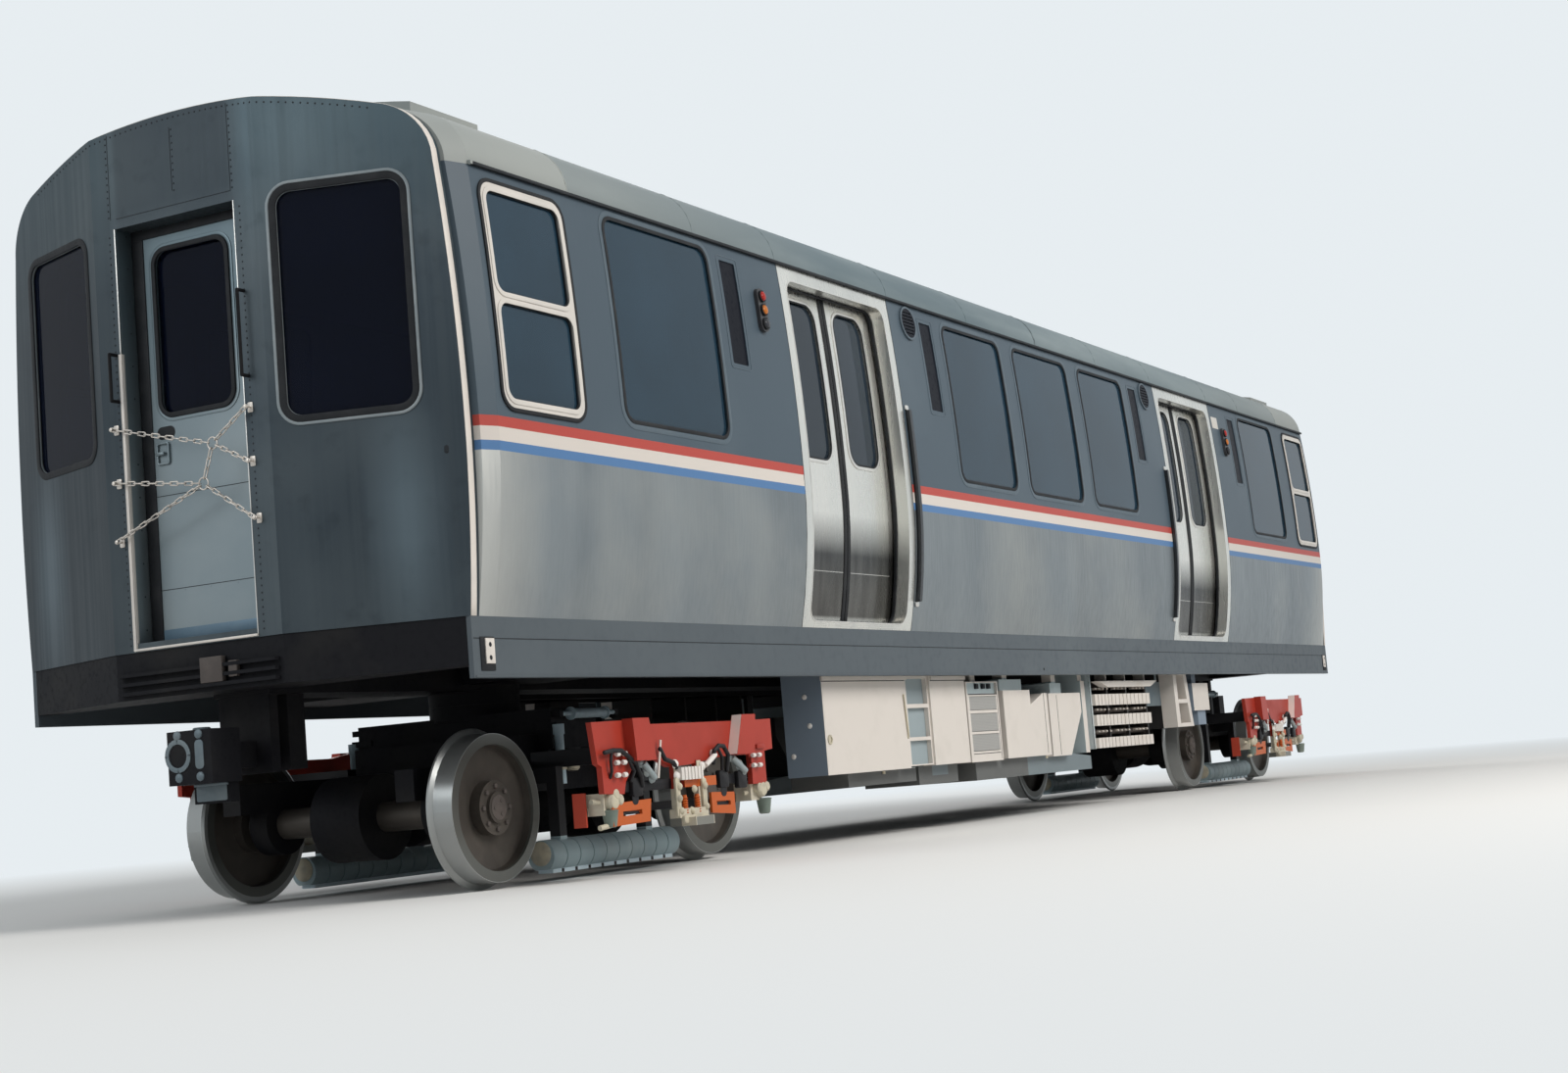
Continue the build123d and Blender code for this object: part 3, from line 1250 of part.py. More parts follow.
for place, turn in (("front", lambda s: s), ("rear", turned)):
    write(f"end_door_{place}", turn(end_door_leaf()))
    write(f"end_door_{place}_glass", turn(end_door_glass()))
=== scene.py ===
# %% [markdown]
# # A metro car in Blender
# This notebook dresses the CAD model of a metro car: brushed steel sides with a tricolour
# stripe, a dark window band, folded end plates, sliding doors and two black trucks with red
# collector beams. The CAD nodes are already in place, in metres, so nothing here moves them.
# Each step first says what the real thing is, and then makes it.

# %% Load the frame
import json
import math
import random

import bpy
from mathutils import Matrix, Vector


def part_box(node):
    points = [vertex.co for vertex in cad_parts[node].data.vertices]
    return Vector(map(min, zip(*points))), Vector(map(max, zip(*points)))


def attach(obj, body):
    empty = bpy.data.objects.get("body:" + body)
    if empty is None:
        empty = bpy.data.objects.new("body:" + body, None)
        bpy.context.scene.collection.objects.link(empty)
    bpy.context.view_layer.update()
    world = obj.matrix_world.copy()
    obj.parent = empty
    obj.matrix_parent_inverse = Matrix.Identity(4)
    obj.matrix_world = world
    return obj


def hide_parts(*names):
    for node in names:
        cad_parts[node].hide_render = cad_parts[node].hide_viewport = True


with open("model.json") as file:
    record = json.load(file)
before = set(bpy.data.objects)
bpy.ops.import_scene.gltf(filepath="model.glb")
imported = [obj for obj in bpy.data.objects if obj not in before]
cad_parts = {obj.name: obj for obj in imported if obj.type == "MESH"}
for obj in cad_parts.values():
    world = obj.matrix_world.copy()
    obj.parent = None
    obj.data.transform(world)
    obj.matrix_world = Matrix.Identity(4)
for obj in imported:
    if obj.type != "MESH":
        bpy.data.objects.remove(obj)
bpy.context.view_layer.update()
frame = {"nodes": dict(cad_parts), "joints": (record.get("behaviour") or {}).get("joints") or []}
nodes = frame["nodes"]

# %% [markdown]
# ## Sizes
# The car's main levels are read from the CAD nodes, so that every strip and rivet added here
# follows the model. The side's curve is made of two arcs: one swells from the sill to the belt,
# the other leans in from the belt to the drip rail.

# %% Levels of the body
SILL_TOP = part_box("side_sills")[1][2]
SILL_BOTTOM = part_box("side_sills")[0][2]
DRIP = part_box("wall_left")[1][2]
BELT = 1.990
SILL_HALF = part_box("side_sills")[1][1]
BELT_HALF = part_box("wall_left")[1][1]
DRIP_HALF = 1.345
FACE_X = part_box("mask_front")[1][0]
CORNER_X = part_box("side_sills")[1][0]
FOLD_HALF = 0.500
print("sill", SILL_BOTTOM, SILL_TOP, "drip", DRIP, "half width", BELT_HALF)


# %% The curve of the side
def arc_through(a, b, c):
    """Centre and radius of the circle through three points of the (y, z) plane."""
    (ax, ay), (bx, by), (cx, cy) = a, b, c
    d = 2 * (ax * (by - cy) + bx * (cy - ay) + cx * (ay - by))
    sa, sb, sc = ax * ax + ay * ay, bx * bx + by * by, cx * cx + cy * cy
    x = (sa * (by - cy) + sb * (cy - ay) + sc * (ay - by)) / d
    y = (sa * (cx - bx) + sb * (ax - cx) + sc * (bx - ax)) / d
    return x, y, math.hypot(ax - x, ay - y)


LOWER_SWELL = 0.72
UPPER_LEAN = 0.25


def side_arcs(belt_half, drip_half):
    """The two arcs of a side, from the sill to the belt and from there to the drip."""
    lower = arc_through((SILL_HALF, SILL_TOP),
                        (SILL_HALF + LOWER_SWELL * (belt_half - SILL_HALF), (SILL_TOP + BELT) / 2),
                        (belt_half, BELT))
    upper = arc_through((belt_half, BELT),
                        (belt_half - UPPER_LEAN * (belt_half - drip_half), (BELT + DRIP) / 2),
                        (drip_half, DRIP))
    return lower, upper


LOWER_ARC, UPPER_ARC = side_arcs(BELT_HALF, DRIP_HALF)


def side_y(z):
    """How far the side's skin is from the car's middle, at height z."""
    if z < SILL_TOP:
        return SILL_HALF
    centre_y, centre_z, radius = LOWER_ARC if z < BELT else UPPER_ARC
    return centre_y + math.sqrt(max(radius * radius - (z - centre_z) ** 2, 0))


print("side at 1.6 m:", round(side_y(1.6), 4), "at 2.6 m:", round(side_y(2.6), 4))

# %% [markdown]
# ## Camera
# The camera stands low, ahead of the car and to its left, and leans a few degrees off level. Its
# place, aim and lens were worked out from the wheels, the truck spacing and the doors, whose real
# sizes are known. Three angles give the aim, and the lens follows from a focal length in pixels.

# %% Set the camera
CAMERA_PLACE = Vector((15.028, 7.215, 0.434))
YAW = math.radians(208.070)
PITCH = math.radians(5.889)
ROLL = math.radians(-4.749)
FOCAL_PIXELS = 2330.6
PHOTO_WIDTH = 1600
SENSOR_MM = 36

ahead = Vector((math.cos(YAW) * math.cos(PITCH), math.sin(YAW) * math.cos(PITCH), math.sin(PITCH)))
level_right = ahead.cross(Vector((0, 0, 1))).normalized()
level_up = level_right.cross(ahead)
right = level_right * math.cos(ROLL) + level_up * math.sin(ROLL)
up = level_up * math.cos(ROLL) - level_right * math.sin(ROLL)

camera_data = bpy.data.cameras.new("camera")
camera_data.sensor_width = SENSOR_MM
camera_data.lens = FOCAL_PIXELS / PHOTO_WIDTH * SENSOR_MM
camera_data.clip_end = 200
camera = bpy.data.objects.new("camera", camera_data)
bpy.context.scene.collection.objects.link(camera)
turn = Matrix((right, up, -ahead)).transposed()
camera.matrix_world = Matrix.Translation(CAMERA_PLACE) @ turn.to_4x4()
bpy.context.scene.camera = camera
bpy.context.scene.view_settings.view_transform = "Standard"
print("lens", round(camera_data.lens, 2), "mm, camera at", CAMERA_PLACE)

# %% [markdown]
# ## Floor and light
# The car stands on a pale studio floor. The widest lamp lights the flank, which leaves the end plate
# in soft shade, and two weaker ones open the shadows of the front end and of the far side. The
# backdrop looks pale to the camera, but gives the car only a low even light.

# %% Floor
FLOOR_COLOUR = (0.86, 0.85, 0.83)
FLOOR_SIZE = 160
bpy.ops.object.select_all(action="DESELECT")
bpy.ops.mesh.primitive_plane_add(size=FLOOR_SIZE, location=(0, 0, 0))
floor_plane = bpy.context.object
floor_plane.name = "studio_floor"
floor_finish = bpy.data.materials.new("studio floor")
floor_finish.use_nodes = True
floor_shader = floor_finish.node_tree.nodes["Principled BSDF"]
floor_shader.inputs["Base Color"].default_value = (*FLOOR_COLOUR, 1)
floor_shader.inputs["Roughness"].default_value = 0.9
floor_plane.data.materials.append(floor_finish)


# %% Lamps and backdrop
WORLD_LIGHT = 0.45
BACKDROP_LIGHT = 1.0
BACKDROP_COLOUR = (0.80, 0.85, 0.88)


def soft_lamp(name, place, target, size, power, tint=(1, 1, 1)):
    """A square soft lamp at place that shines at target."""
    data = bpy.data.lights.new(name, "AREA")
    data.size = size
    data.energy = power
    data.color = tint
    lamp = bpy.data.objects.new(name, data)
    bpy.context.scene.collection.objects.link(lamp)
    aim = (Vector(target) - Vector(place)).to_track_quat("-Z", "Y")
    lamp.matrix_world = Matrix.Translation(place) @ aim.to_matrix().to_4x4()
    return lamp


soft_lamp("flank light", (3, 16, 12), (0, 0, 2), 9, 2600, (1, 0.97, 0.93))
soft_lamp("front light", (18, -4, 8), (6, 0, 2), 7, 500, (0.93, 0.97, 1))
soft_lamp("far light", (-14, -12, 10), (0, 0, 2), 9, 900)

world = bpy.data.worlds.new("studio")
world.use_nodes = True
bpy.context.scene.world = world
backdrop = world.node_tree.nodes["Background"]
backdrop.inputs["Color"].default_value = (*BACKDROP_COLOUR, 1)
backdrop.inputs["Strength"].default_value = WORLD_LIGHT


def seen_rays(tree):
    """1 for what the camera sees, straight or in metal and glass, and 0 for light on things."""
    path = tree.nodes.new("ShaderNodeLightPath")
    seen = path.outputs["Is Camera Ray"]
    for label in ("Is Glossy Ray", "Is Transmission Ray"):
        larger = tree.nodes.new("ShaderNodeMath")
        larger.operation = "MAXIMUM"
        tree.links.new(seen, larger.inputs[0])
        tree.links.new(path.outputs[label], larger.inputs[1])
        seen = larger.outputs[0]
    return seen


def pale_where_seen(tree, background):
    """Shows the pale backdrop to the camera, to metal and to glass, and keeps the light low."""
    strength = tree.nodes.new("ShaderNodeMapRange")
    strength.inputs["To Min"].default_value = WORLD_LIGHT
    strength.inputs["To Max"].default_value = BACKDROP_LIGHT
    tree.links.new(seen_rays(tree), strength.inputs["Value"])
    tree.links.new(strength.outputs["Result"], background.inputs["Strength"])


pale_where_seen(world.node_tree, backdrop)
print("lamps:", len(bpy.data.lights))

# %% [markdown]
# ## Shared shader groups
# Steel, paint and rubber all weather in the same few ways. Each way is one node group that puts
# out a mask, and every material that needs it places the group with its own values.


# %% A small helper for groups
def make_group(name, inputs, outputs):
    """A shader group with float inputs (name and default) and the named float outputs."""
    group = bpy.data.node_groups.new(name, "ShaderNodeTree")
    for label, default in inputs:
        socket = group.interface.new_socket(label, in_out="INPUT", socket_type="NodeSocketFloat")
        socket.default_value = default
    for label in outputs:
        group.interface.new_socket(label, in_out="OUTPUT", socket_type="NodeSocketFloat")
    entry = group.nodes.new("NodeGroupInput")
    leave = group.nodes.new("NodeGroupOutput")
    return group, entry, leave


def stretched_noise(tree, stretch, scale, detail=4.0):
    """Noise on object coordinates, stretched along the axes."""
    place = tree.nodes.new("ShaderNodeTexCoord")
    mapping = tree.nodes.new("ShaderNodeMapping")
    mapping.inputs["Scale"].default_value = stretch
    noise = tree.nodes.new("ShaderNodeTexNoise")
    noise.inputs["Scale"].default_value = scale
    noise.inputs["Detail"].default_value = detail
    tree.links.new(place.outputs["Object"], mapping.inputs["Vector"])
    tree.links.new(mapping.outputs["Vector"], noise.inputs["Vector"])
    return noise


def sharpen(tree, value, low, high):
    """Spreads the values between low and high over 0 to 1, and clamps the rest."""
    step = tree.nodes.new("ShaderNodeMapRange")
    tree.links.new(value, step.inputs["Value"])
    for socket, source in (("From Min", low), ("From Max", high)):
        if isinstance(source, (int, float)):
            step.inputs[socket].default_value = source
        else:
            tree.links.new(source, step.inputs[socket])
    return step.outputs["Result"]


# %% Brush lines and streaks
def streak_group():
    """Fine brush lines and wide streaks, both upright."""
    group, entry, leave = make_group("steel streaks", [("Fine", 60.0)], ["Lines", "Streaks"])
    lines = stretched_noise(group, (1, 1, 0.02), 60, 3)
    group.links.new(entry.outputs["Fine"], lines.inputs["Scale"])
    streaks = stretched_noise(group, (1, 1, 0.12), 2.2, 5)
    group.links.new(sharpen(group, lines.outputs["Fac"], 0.35, 0.65), leave.inputs["Lines"])
    group.links.new(sharpen(group, streaks.outputs["Fac"], 0.35, 0.68), leave.inputs["Streaks"])
    return group


def blotch_group():
    """Cloudy patches with a soft edge."""
    group, entry, leave = make_group("blotches", [("Scale", 1.5), ("Edge", 0.45)], ["Mask"])
    noise = stretched_noise(group, (1, 1, 1), 1.5, 8)
    group.links.new(entry.outputs["Scale"], noise.inputs["Scale"])
    group.links.new(sharpen(group, noise.outputs["Fac"], entry.outputs["Edge"], 0.75),
                    leave.inputs["Mask"])
    return group


STREAKS = streak_group()
BLOTCHES = blotch_group()
print("groups:", [group.name for group in (STREAKS, BLOTCHES)])


# %% Helpers for materials
PAINT_GLOSS = 0.22


def new_material(name, colour, roughness, metallic=0.0):
    """A material with plain values on its Principled shader, to be built on."""
    material = bpy.data.materials.new(name)
    material.use_nodes = True
    shader = material.node_tree.nodes["Principled BSDF"]
    shader.inputs["Base Color"].default_value = (*colour, 1)
    shader.inputs["Roughness"].default_value = roughness
    shader.inputs["Metallic"].default_value = metallic
    shader.inputs["Specular IOR Level"].default_value = PAINT_GLOSS
    return material, material.node_tree, shader


def place_group(tree, group, **values):
    """Puts a shader group into a material with its own values."""
    node = tree.nodes.new("ShaderNodeGroup")
    node.node_tree = group
    for label, value in values.items():
        node.inputs[label].default_value = value
    return node


def mix_colour(tree, factor, first, second):
    """A colour between first and second. Each is a colour or a socket."""
    mix = tree.nodes.new("ShaderNodeMix")
    mix.data_type = "RGBA"
    sockets = (mix.inputs[0], mix.inputs[6], mix.inputs[7])
    for socket, source in zip(sockets, (factor, first, second)):
        if isinstance(source, tuple):
            socket.default_value = (*source, 1)
        elif isinstance(source, (int, float)):
            socket.default_value = source
        else:
            tree.links.new(source, socket)
    return mix.outputs[2]


def mix_value(tree, factor, first, second):
    """A number between first and second, each a number or a socket."""
    mix = tree.nodes.new("ShaderNodeMix")
    for socket, source in zip((mix.inputs[0], mix.inputs[2], mix.inputs[3]),
                              (factor, first, second)):
        if isinstance(source, (int, float)):
            socket.default_value = source
        else:
            tree.links.new(source, socket)
    return mix.outputs[0]


def maths(tree, operation, first, second=0.0):
    """One step of arithmetic on numbers or sockets."""
    node = tree.nodes.new("ShaderNodeMath")
    node.operation = operation
    for socket, source in zip(node.inputs, (first, second)):
        if isinstance(source, (int, float)):
            socket.default_value = source
        else:
            tree.links.new(source, socket)
    return node.outputs[0]


def tint(tree, tone, mask, share, colour):
    """Lays a colour over a tone where the mask is, at most by a share."""
    return mix_colour(tree, maths(tree, "MULTIPLY", mask, share), tone, colour)


def off_middle(tree, value, middle):
    """How far a value is from a middle."""
    return maths(tree, "ABSOLUTE", maths(tree, "SUBTRACT", value, middle))


def axis_value(tree, axis):
    """The object coordinate along one axis, in metres."""
    place = tree.nodes.new("ShaderNodeTexCoord")
    split = tree.nodes.new("ShaderNodeSeparateXYZ")
    tree.links.new(place.outputs["Object"], split.inputs[0])
    return split.outputs[axis]


def add_bump(tree, shader, height, strength=0.2, distance=0.002):
    """Lets a mask raise the surface slightly, in the shading alone."""
    bump = tree.nodes.new("ShaderNodeBump")
    bump.inputs["Strength"].default_value = strength
    bump.inputs["Distance"].default_value = distance
    tree.links.new(height, bump.inputs["Height"])
    tree.links.new(bump.outputs["Normal"], shader.inputs["Normal"])


def dress(material, *names):
    """Gives a material to CAD nodes by name."""
    for name in names:
        mesh = nodes[name].data
        mesh.materials.clear()
        mesh.materials.append(material)
    print(material.name, "on", len(names), "nodes")

# %% [markdown]
# ## The floor far from the car
# A floor that ends at the horizon draws a line behind the car. Here it takes the backdrop's colour
# with distance, by emission that only the camera, metal and glass see, and the car keeps its shadow.

# %% Fade of the floor
FADE_START, FADE_END = 5.0, 13.0
FADE_SQUEEZE = (0.6, 1.0)


def fade_to_backdrop(tree, shader):
    """Far from the car the floor takes the backdrop's colour, so that no horizon line shows."""
    squares = []
    for axis, squeeze in enumerate(FADE_SQUEEZE):
        reach = maths(tree, "MULTIPLY", axis_value(tree, axis), squeeze)
        squares.append(maths(tree, "MULTIPLY", reach, reach))
    distance = maths(tree, "SQRT", maths(tree, "ADD", *squares))
    far = sharpen(tree, distance, FADE_START, FADE_END)
    tree.links.new(mix_colour(tree, far, FLOOR_COLOUR, (0, 0, 0)), shader.inputs["Base Color"])
    shader.inputs["Specular IOR Level"].default_value = 0.0
    shader.inputs["Emission Color"].default_value = (*BACKDROP_COLOUR, 1)
    tree.links.new(maths(tree, "MULTIPLY", far, seen_rays(tree)), shader.inputs["Emission Strength"])


fade_to_backdrop(floor_finish.node_tree, floor_shader)
print("the floor fades from", FADE_START, "to", FADE_END, "m")

# %% [markdown]
# ## The flank
# The side is one curved sheet of brushed stainless steel. Above the belt it is painted a dark
# slate, and a red, white and blue stripe of tape runs along the edge of the paint. The stripe
# ends at the door frames. A shader can lay all of it by height alone.

# %% Stripe levels
RED_TOP = 2.115
RED_BOTTOM = 2.066
WHITE_BOTTOM = 2.002
BLUE_BOTTOM = 1.958
SLATE = (0.062, 0.088, 0.112)
STEEL = (0.245, 0.270, 0.283)
STRIPE_RED = (0.44, 0.065, 0.050)
STRIPE_WHITE = (0.66, 0.605, 0.555)
STRIPE_BLUE = (0.085, 0.19, 0.38)
STEEL_STREAK = (0.185, 0.208, 0.222)
STEEL_CLOUD = (0.315, 0.325, 0.315)
SLATE_FADED = (0.085, 0.115, 0.140)


# %% Side steel
NEAR_END, END_STEEL = (6.35, 6.95), (0.52, 0.51, 0.475)
CORNER_EDGE, CORNER_STEEL = (6.94, 6.95), (0.40, 0.44, 0.44)


def side_steel():
    """Brushed steel, paint and stripe by height, with paler steel towards the car's ends."""
    material, tree, shader = new_material("side steel", STEEL, 0.4)
    height = axis_value(tree, 2)
    streaks = place_group(tree, STREAKS)
    stains = place_group(tree, BLOTCHES, Scale=0.9)
    bare = mix_colour(tree, streaks.outputs["Streaks"], STEEL, STEEL_STREAK)
    bare = mix_colour(tree, stains.outputs["Mask"], bare, STEEL_CLOUD)
    painted = mix_colour(tree, stains.outputs["Mask"], SLATE, SLATE_FADED)
    along = maths(tree, "ABSOLUTE", axis_value(tree, 0))
    bare = tint(tree, bare, sharpen(tree, along, *NEAR_END), 0.8, END_STEEL)
    painted = tint(tree, painted, sharpen(tree, along, *CORNER_EDGE), 0.65, CORNER_STEEL)
    colour = bare
    for level, layer in ((BLUE_BOTTOM, STRIPE_BLUE), (WHITE_BOTTOM, STRIPE_WHITE),
                         (RED_BOTTOM, STRIPE_RED), (RED_TOP, painted)):
        colour = mix_colour(tree, maths(tree, "GREATER_THAN", height, level), colour, layer)
    coated = maths(tree, "GREATER_THAN", height, BLUE_BOTTOM)
    tree.links.new(colour, shader.inputs["Base Color"])
    tree.links.new(mix_value(tree, coated, 0.75, 0.0), shader.inputs["Metallic"])
    rough = mix_value(tree, streaks.outputs["Lines"], 0.36, 0.5)
    tree.links.new(mix_value(tree, coated, rough, 0.42), shader.inputs["Roughness"])
    add_bump(tree, shader, streaks.outputs["Lines"], 0.06, 0.001)
    return material


SIDE_STEEL = side_steel()
dress(SIDE_STEEL, "wall_left", "wall_right", "corner_panels")

# %% [markdown]
# ## Paints and steels that weather, and painted light
# Most of the small parts are one paint or one steel with faded patches, so one function makes them
# all from two colours. The large sheets get a function each, because they change by height or along
# the car: the end plates are pale at eye level, partly by a painted sheen, and grimy at the foot, with
# painted shade on one side and at the top of the doorway; the leaves hold a painted dark reflection
# below the belt, the end doors carry painted shade towards the top, and the roof's end sheets are
# paler than its middle.

# %% Painted and brushed sheets
def painted_sheet(name, colour, worn, roughness, scale=1.2, metallic=0.0, gloss=PAINT_GLOSS):
    """Paint or dull steel with large faded patches."""
    material, tree, shader = new_material(name, colour, roughness, metallic)
    shader.inputs["Specular IOR Level"].default_value = gloss
    patches = place_group(tree, BLOTCHES, Scale=scale)
    fine = place_group(tree, BLOTCHES, Scale=scale * 12, Edge=0.5)
    tone = mix_colour(tree, patches.outputs["Mask"], colour, worn)
    tree.links.new(tone, shader.inputs["Base Color"])
    rough = mix_value(tree, fine.outputs["Mask"], roughness, min(roughness + 0.15, 1.0))
    tree.links.new(rough, shader.inputs["Roughness"])
    add_bump(tree, shader, fine.outputs["Mask"], 0.08, 0.002)
    return material


def brushed_metal(name, bright, dull, roughness, metallic=0.85, fine=60.0):
    """Clean metal with upright brush lines and soft wide streaks, and hardly any bump."""
    material, tree, shader = new_material(name, bright, roughness, metallic)
    streaks = place_group(tree, STREAKS, Fine=fine)
    tone = mix_colour(tree, streaks.outputs["Streaks"], bright, dull)
    tree.links.new(tone, shader.inputs["Base Color"])
    rough = mix_value(tree, streaks.outputs["Lines"], roughness, roughness + 0.08)
    tree.links.new(rough, shader.inputs["Roughness"])
    return material


# %% Steel of the end plates
PLATE_CLEAN = (0.046, 0.061, 0.073)
PLATE_GRIME_AND_SHADE = (0.018, 0.025, 0.031)
PLATE_PALE = (0.098, 0.118, 0.127)
BROW_TONE = (0.105, 0.165, 0.190)
SHEEN_TONE = (0.125, 0.165, 0.190)
SHEEN_Y, SHEEN_Z = 1.08, 1.68


def plate_zones(tree, out, height):
    """The parts of an end plate that differ in tone: a mask, its share and its colour."""
    # The header zone is painted shade at the top of the doorway.
    header = (sharpen(tree, height, 3.15, 3.30), sharpen(tree, out, 0.38, 0.33))
    brow = (sharpen(tree, height, 2.9, 3.5), sharpen(tree, out, 0.33, 0.45))
    inner = (maths(tree, "LESS_THAN", out, FOLD_HALF), sharpen(tree, height, 2.3, 1.7))
    outer = (maths(tree, "GREATER_THAN", out, FOLD_HALF), sharpen(tree, height, 3.0, 2.2))
    return [(maths(tree, "MULTIPLY", *masks), share, colour) for masks, share, colour in
            ((header, 0.42, PLATE_GRIME_AND_SHADE), (brow, 0.32, BROW_TONE), (inner, 0.30, PLATE_PALE),
             (outer, 0.40, PLATE_GRIME_AND_SHADE))]


def end_plate_steel():
    """Dull brushed steel: upright lines, pale clouds, and a darker grime towards the foot."""
    material, tree, shader = new_material("end plate steel", PLATE_CLEAN, 0.42, 0.5)
    streaks = place_group(tree, STREAKS, Fine=34.0)
    clouds = place_group(tree, BLOTCHES, Scale=1.1, Edge=0.42)
    specks = place_group(tree, BLOTCHES, Scale=9.0, Edge=0.55)
    across, height = axis_value(tree, 1), axis_value(tree, 2)
    out = maths(tree, "ABSOLUTE", across)
    tone = mix_colour(tree, clouds.outputs["Mask"], PLATE_CLEAN, PLATE_PALE)
    foot = maths(tree, "MULTIPLY", sharpen(tree, height, 2.15, 1.25), 0.55)
    dirt = maths(tree, "MULTIPLY", foot, streaks.outputs["Streaks"])
    tone = mix_colour(tree, maths(tree, "ADD", dirt, 0.10), tone, PLATE_GRIME_AND_SHADE)
    tone = tint(tree, tone, streaks.outputs["Lines"], 0.22, PLATE_PALE)
    tone = tint(tree, tone, specks.outputs["Mask"], 0.35, PLATE_GRIME_AND_SHADE)
    for mask, share, colour in plate_zones(tree, out, height):
        tone = tint(tree, tone, mask, share, colour)
    # Painted shade: beyond the jamb on one side of the doorway, the plate is darker.
    own_left = maths(tree, "MULTIPLY", maths(tree, "SIGN", axis_value(tree, 0)), across)
    tone = tint(tree, tone, sharpen(tree, own_left, -0.36, -0.40), 0.42, PLATE_GRIME_AND_SHADE)
    # A painted sheen: a pale patch on each outer panel near eye level stands in for a reflection.
    sheen = maths(tree, "MULTIPLY", sharpen(tree, off_middle(tree, out, SHEEN_Y), 0.20, 0.02),
                  sharpen(tree, off_middle(tree, height, SHEEN_Z), 0.62, 0.1))
    tone = tint(tree, tone, sheen, 0.55, SHEEN_TONE)
    tree.links.new(tone, shader.inputs["Base Color"])
    rough = mix_value(tree, streaks.outputs["Lines"], 0.36, 0.52)
    tree.links.new(rough, shader.inputs["Roughness"])
    add_bump(tree, shader, streaks.outputs["Lines"], 0.05, 0.001)
    return material


# %% Steel of the side doors and end doors
def leaf_steel():
    """Bright door steel, whose bulge below the belt holds a dull reflection in upright bands."""
    bright, shade = (0.76, 0.74, 0.69), (0.68, 0.68, 0.64)
    dark, brown = (0.018, 0.019, 0.020), (0.060, 0.056, 0.050)
    material, tree, shader = new_material("door steel", bright, 0.3, 0.85)
    streaks = place_group(tree, STREAKS, Fine=40.0)
    bands = stretched_noise(tree, (1, 1, 0.05), 7.0, 2.0)
    tone = mix_colour(tree, streaks.outputs["Streaks"], bright, shade)
    height = axis_value(tree, 2)
    # Painted reflection: from the foot of the leaf to below the belt, the bulge is darkened in upright
    # bands, dark near the belt and brown lower down.
    rise = maths(tree, "MULTIPLY", sharpen(tree, height, 1.90, 1.66), sharpen(tree, height, 1.28, 1.31))
    band = sharpen(tree, bands.outputs["Fac"], 0.38, 0.60)
    mirror = maths(tree, "MULTIPLY", rise, mix_value(tree, band, 0.90, 0.98))
    reflection = mix_colour(tree, sharpen(tree, height, 1.66, 1.46), dark, brown)
    tone = mix_colour(tree, mirror, tone, reflection)
    tree.links.new(tone, shader.inputs["Base Color"])
    tree.links.new(mix_value(tree, streaks.outputs["Lines"], 0.24, 0.34),
                   shader.inputs["Roughness"])
    return material


def end_door_steel():
    """Pale dull steel, with painted shade that darkens it towards the top of the doorway."""
    clean, worn, head = (0.205, 0.245, 0.262), (0.265, 0.30, 0.31), (0.085, 0.125, 0.145)
    material, tree, shader = new_material("end door steel", clean, 0.4, 0.6)
    patches = place_group(tree, BLOTCHES, Scale=1.4)
    tone = mix_colour(tree, patches.outputs["Mask"], clean, worn)
    tone = tint(tree, tone, sharpen(tree, axis_value(tree, 2), 2.1, 2.9), 0.72, head)
    tree.links.new(tone, shader.inputs["Base Color"])
    return material


# %% Paint of the roof
END_SHEET_X = 5.94


def weathered_roof():
    """Grey green roof paint: the end sheets are paler, and pale streaks run along the car."""
    paint, streak, pale = (0.118, 0.158, 0.176), (0.215, 0.26, 0.272), (0.36, 0.375, 0.355)
    material, tree, shader = new_material("roof paint", paint, 0.55)
    along = stretched_noise(tree, (0.18, 1, 1), 2.4, 5.0)
    clouds = place_group(tree, BLOTCHES, Scale=1.0, Edge=0.45)
    tone = mix_colour(tree, sharpen(tree, along.outputs["Fac"], 0.42, 0.66), paint, streak)
    along_car = maths(tree, "ABSOLUTE", axis_value(tree, 0))
    tone = tint(tree, tone, sharpen(tree, along_car, 3.2, 5.6), 0.42, pale)
    end_sheet = maths(tree, "GREATER_THAN", along_car, END_SHEET_X)
    cloudy = mix_value(tree, clouds.outputs["Mask"], 0.75, 0.35)
    tone = mix_colour(tree, maths(tree, "MULTIPLY", end_sheet, cloudy), tone, pale)
    tree.links.new(tone, shader.inputs["Base Color"])
    add_bump(tree, shader, along.outputs["Fac"], 0.05, 0.002)
    return material


# %% Sill, roof and end plates
SILL_PAINT = painted_sheet("sill paint", (0.082, 0.098, 0.111), (0.098, 0.116, 0.128), 0.5)
ROOF_PAINT = weathered_roof()
MASK_STEEL = end_plate_steel()
dress(SILL_PAINT, "side_sills")
dress(ROOF_PAINT, "roof", "roof_ends", "roof_covers")
dress(MASK_STEEL, "mask_front", "mask_rear")

# %% Doors, frames and small metal
DOOR_STEEL = leaf_steel()
END_DOOR = end_door_steel()
FRAME_STEEL = brushed_metal("bright trim", (0.74, 0.73, 0.68), (0.60, 0.60, 0.57), 0.26)
PULL_BAR_REACH = 2.44
PULL_BAR_TONE = (0.060, 0.062, 0.066)


def darken_pull_bars(material):
    """The pull bars beside the doorways are dark, and they stand nearest to the car's middle."""
    tree = material.node_tree
    colour = tree.nodes["Principled BSDF"].inputs["Base Color"]
    bright = colour.links[0].from_socket
    bars = maths(tree, "LESS_THAN", maths(tree, "ABSOLUTE", axis_value(tree, 0)), PULL_BAR_REACH)
    tree.links.new(mix_colour(tree, bars, bright, PULL_BAR_TONE), colour)


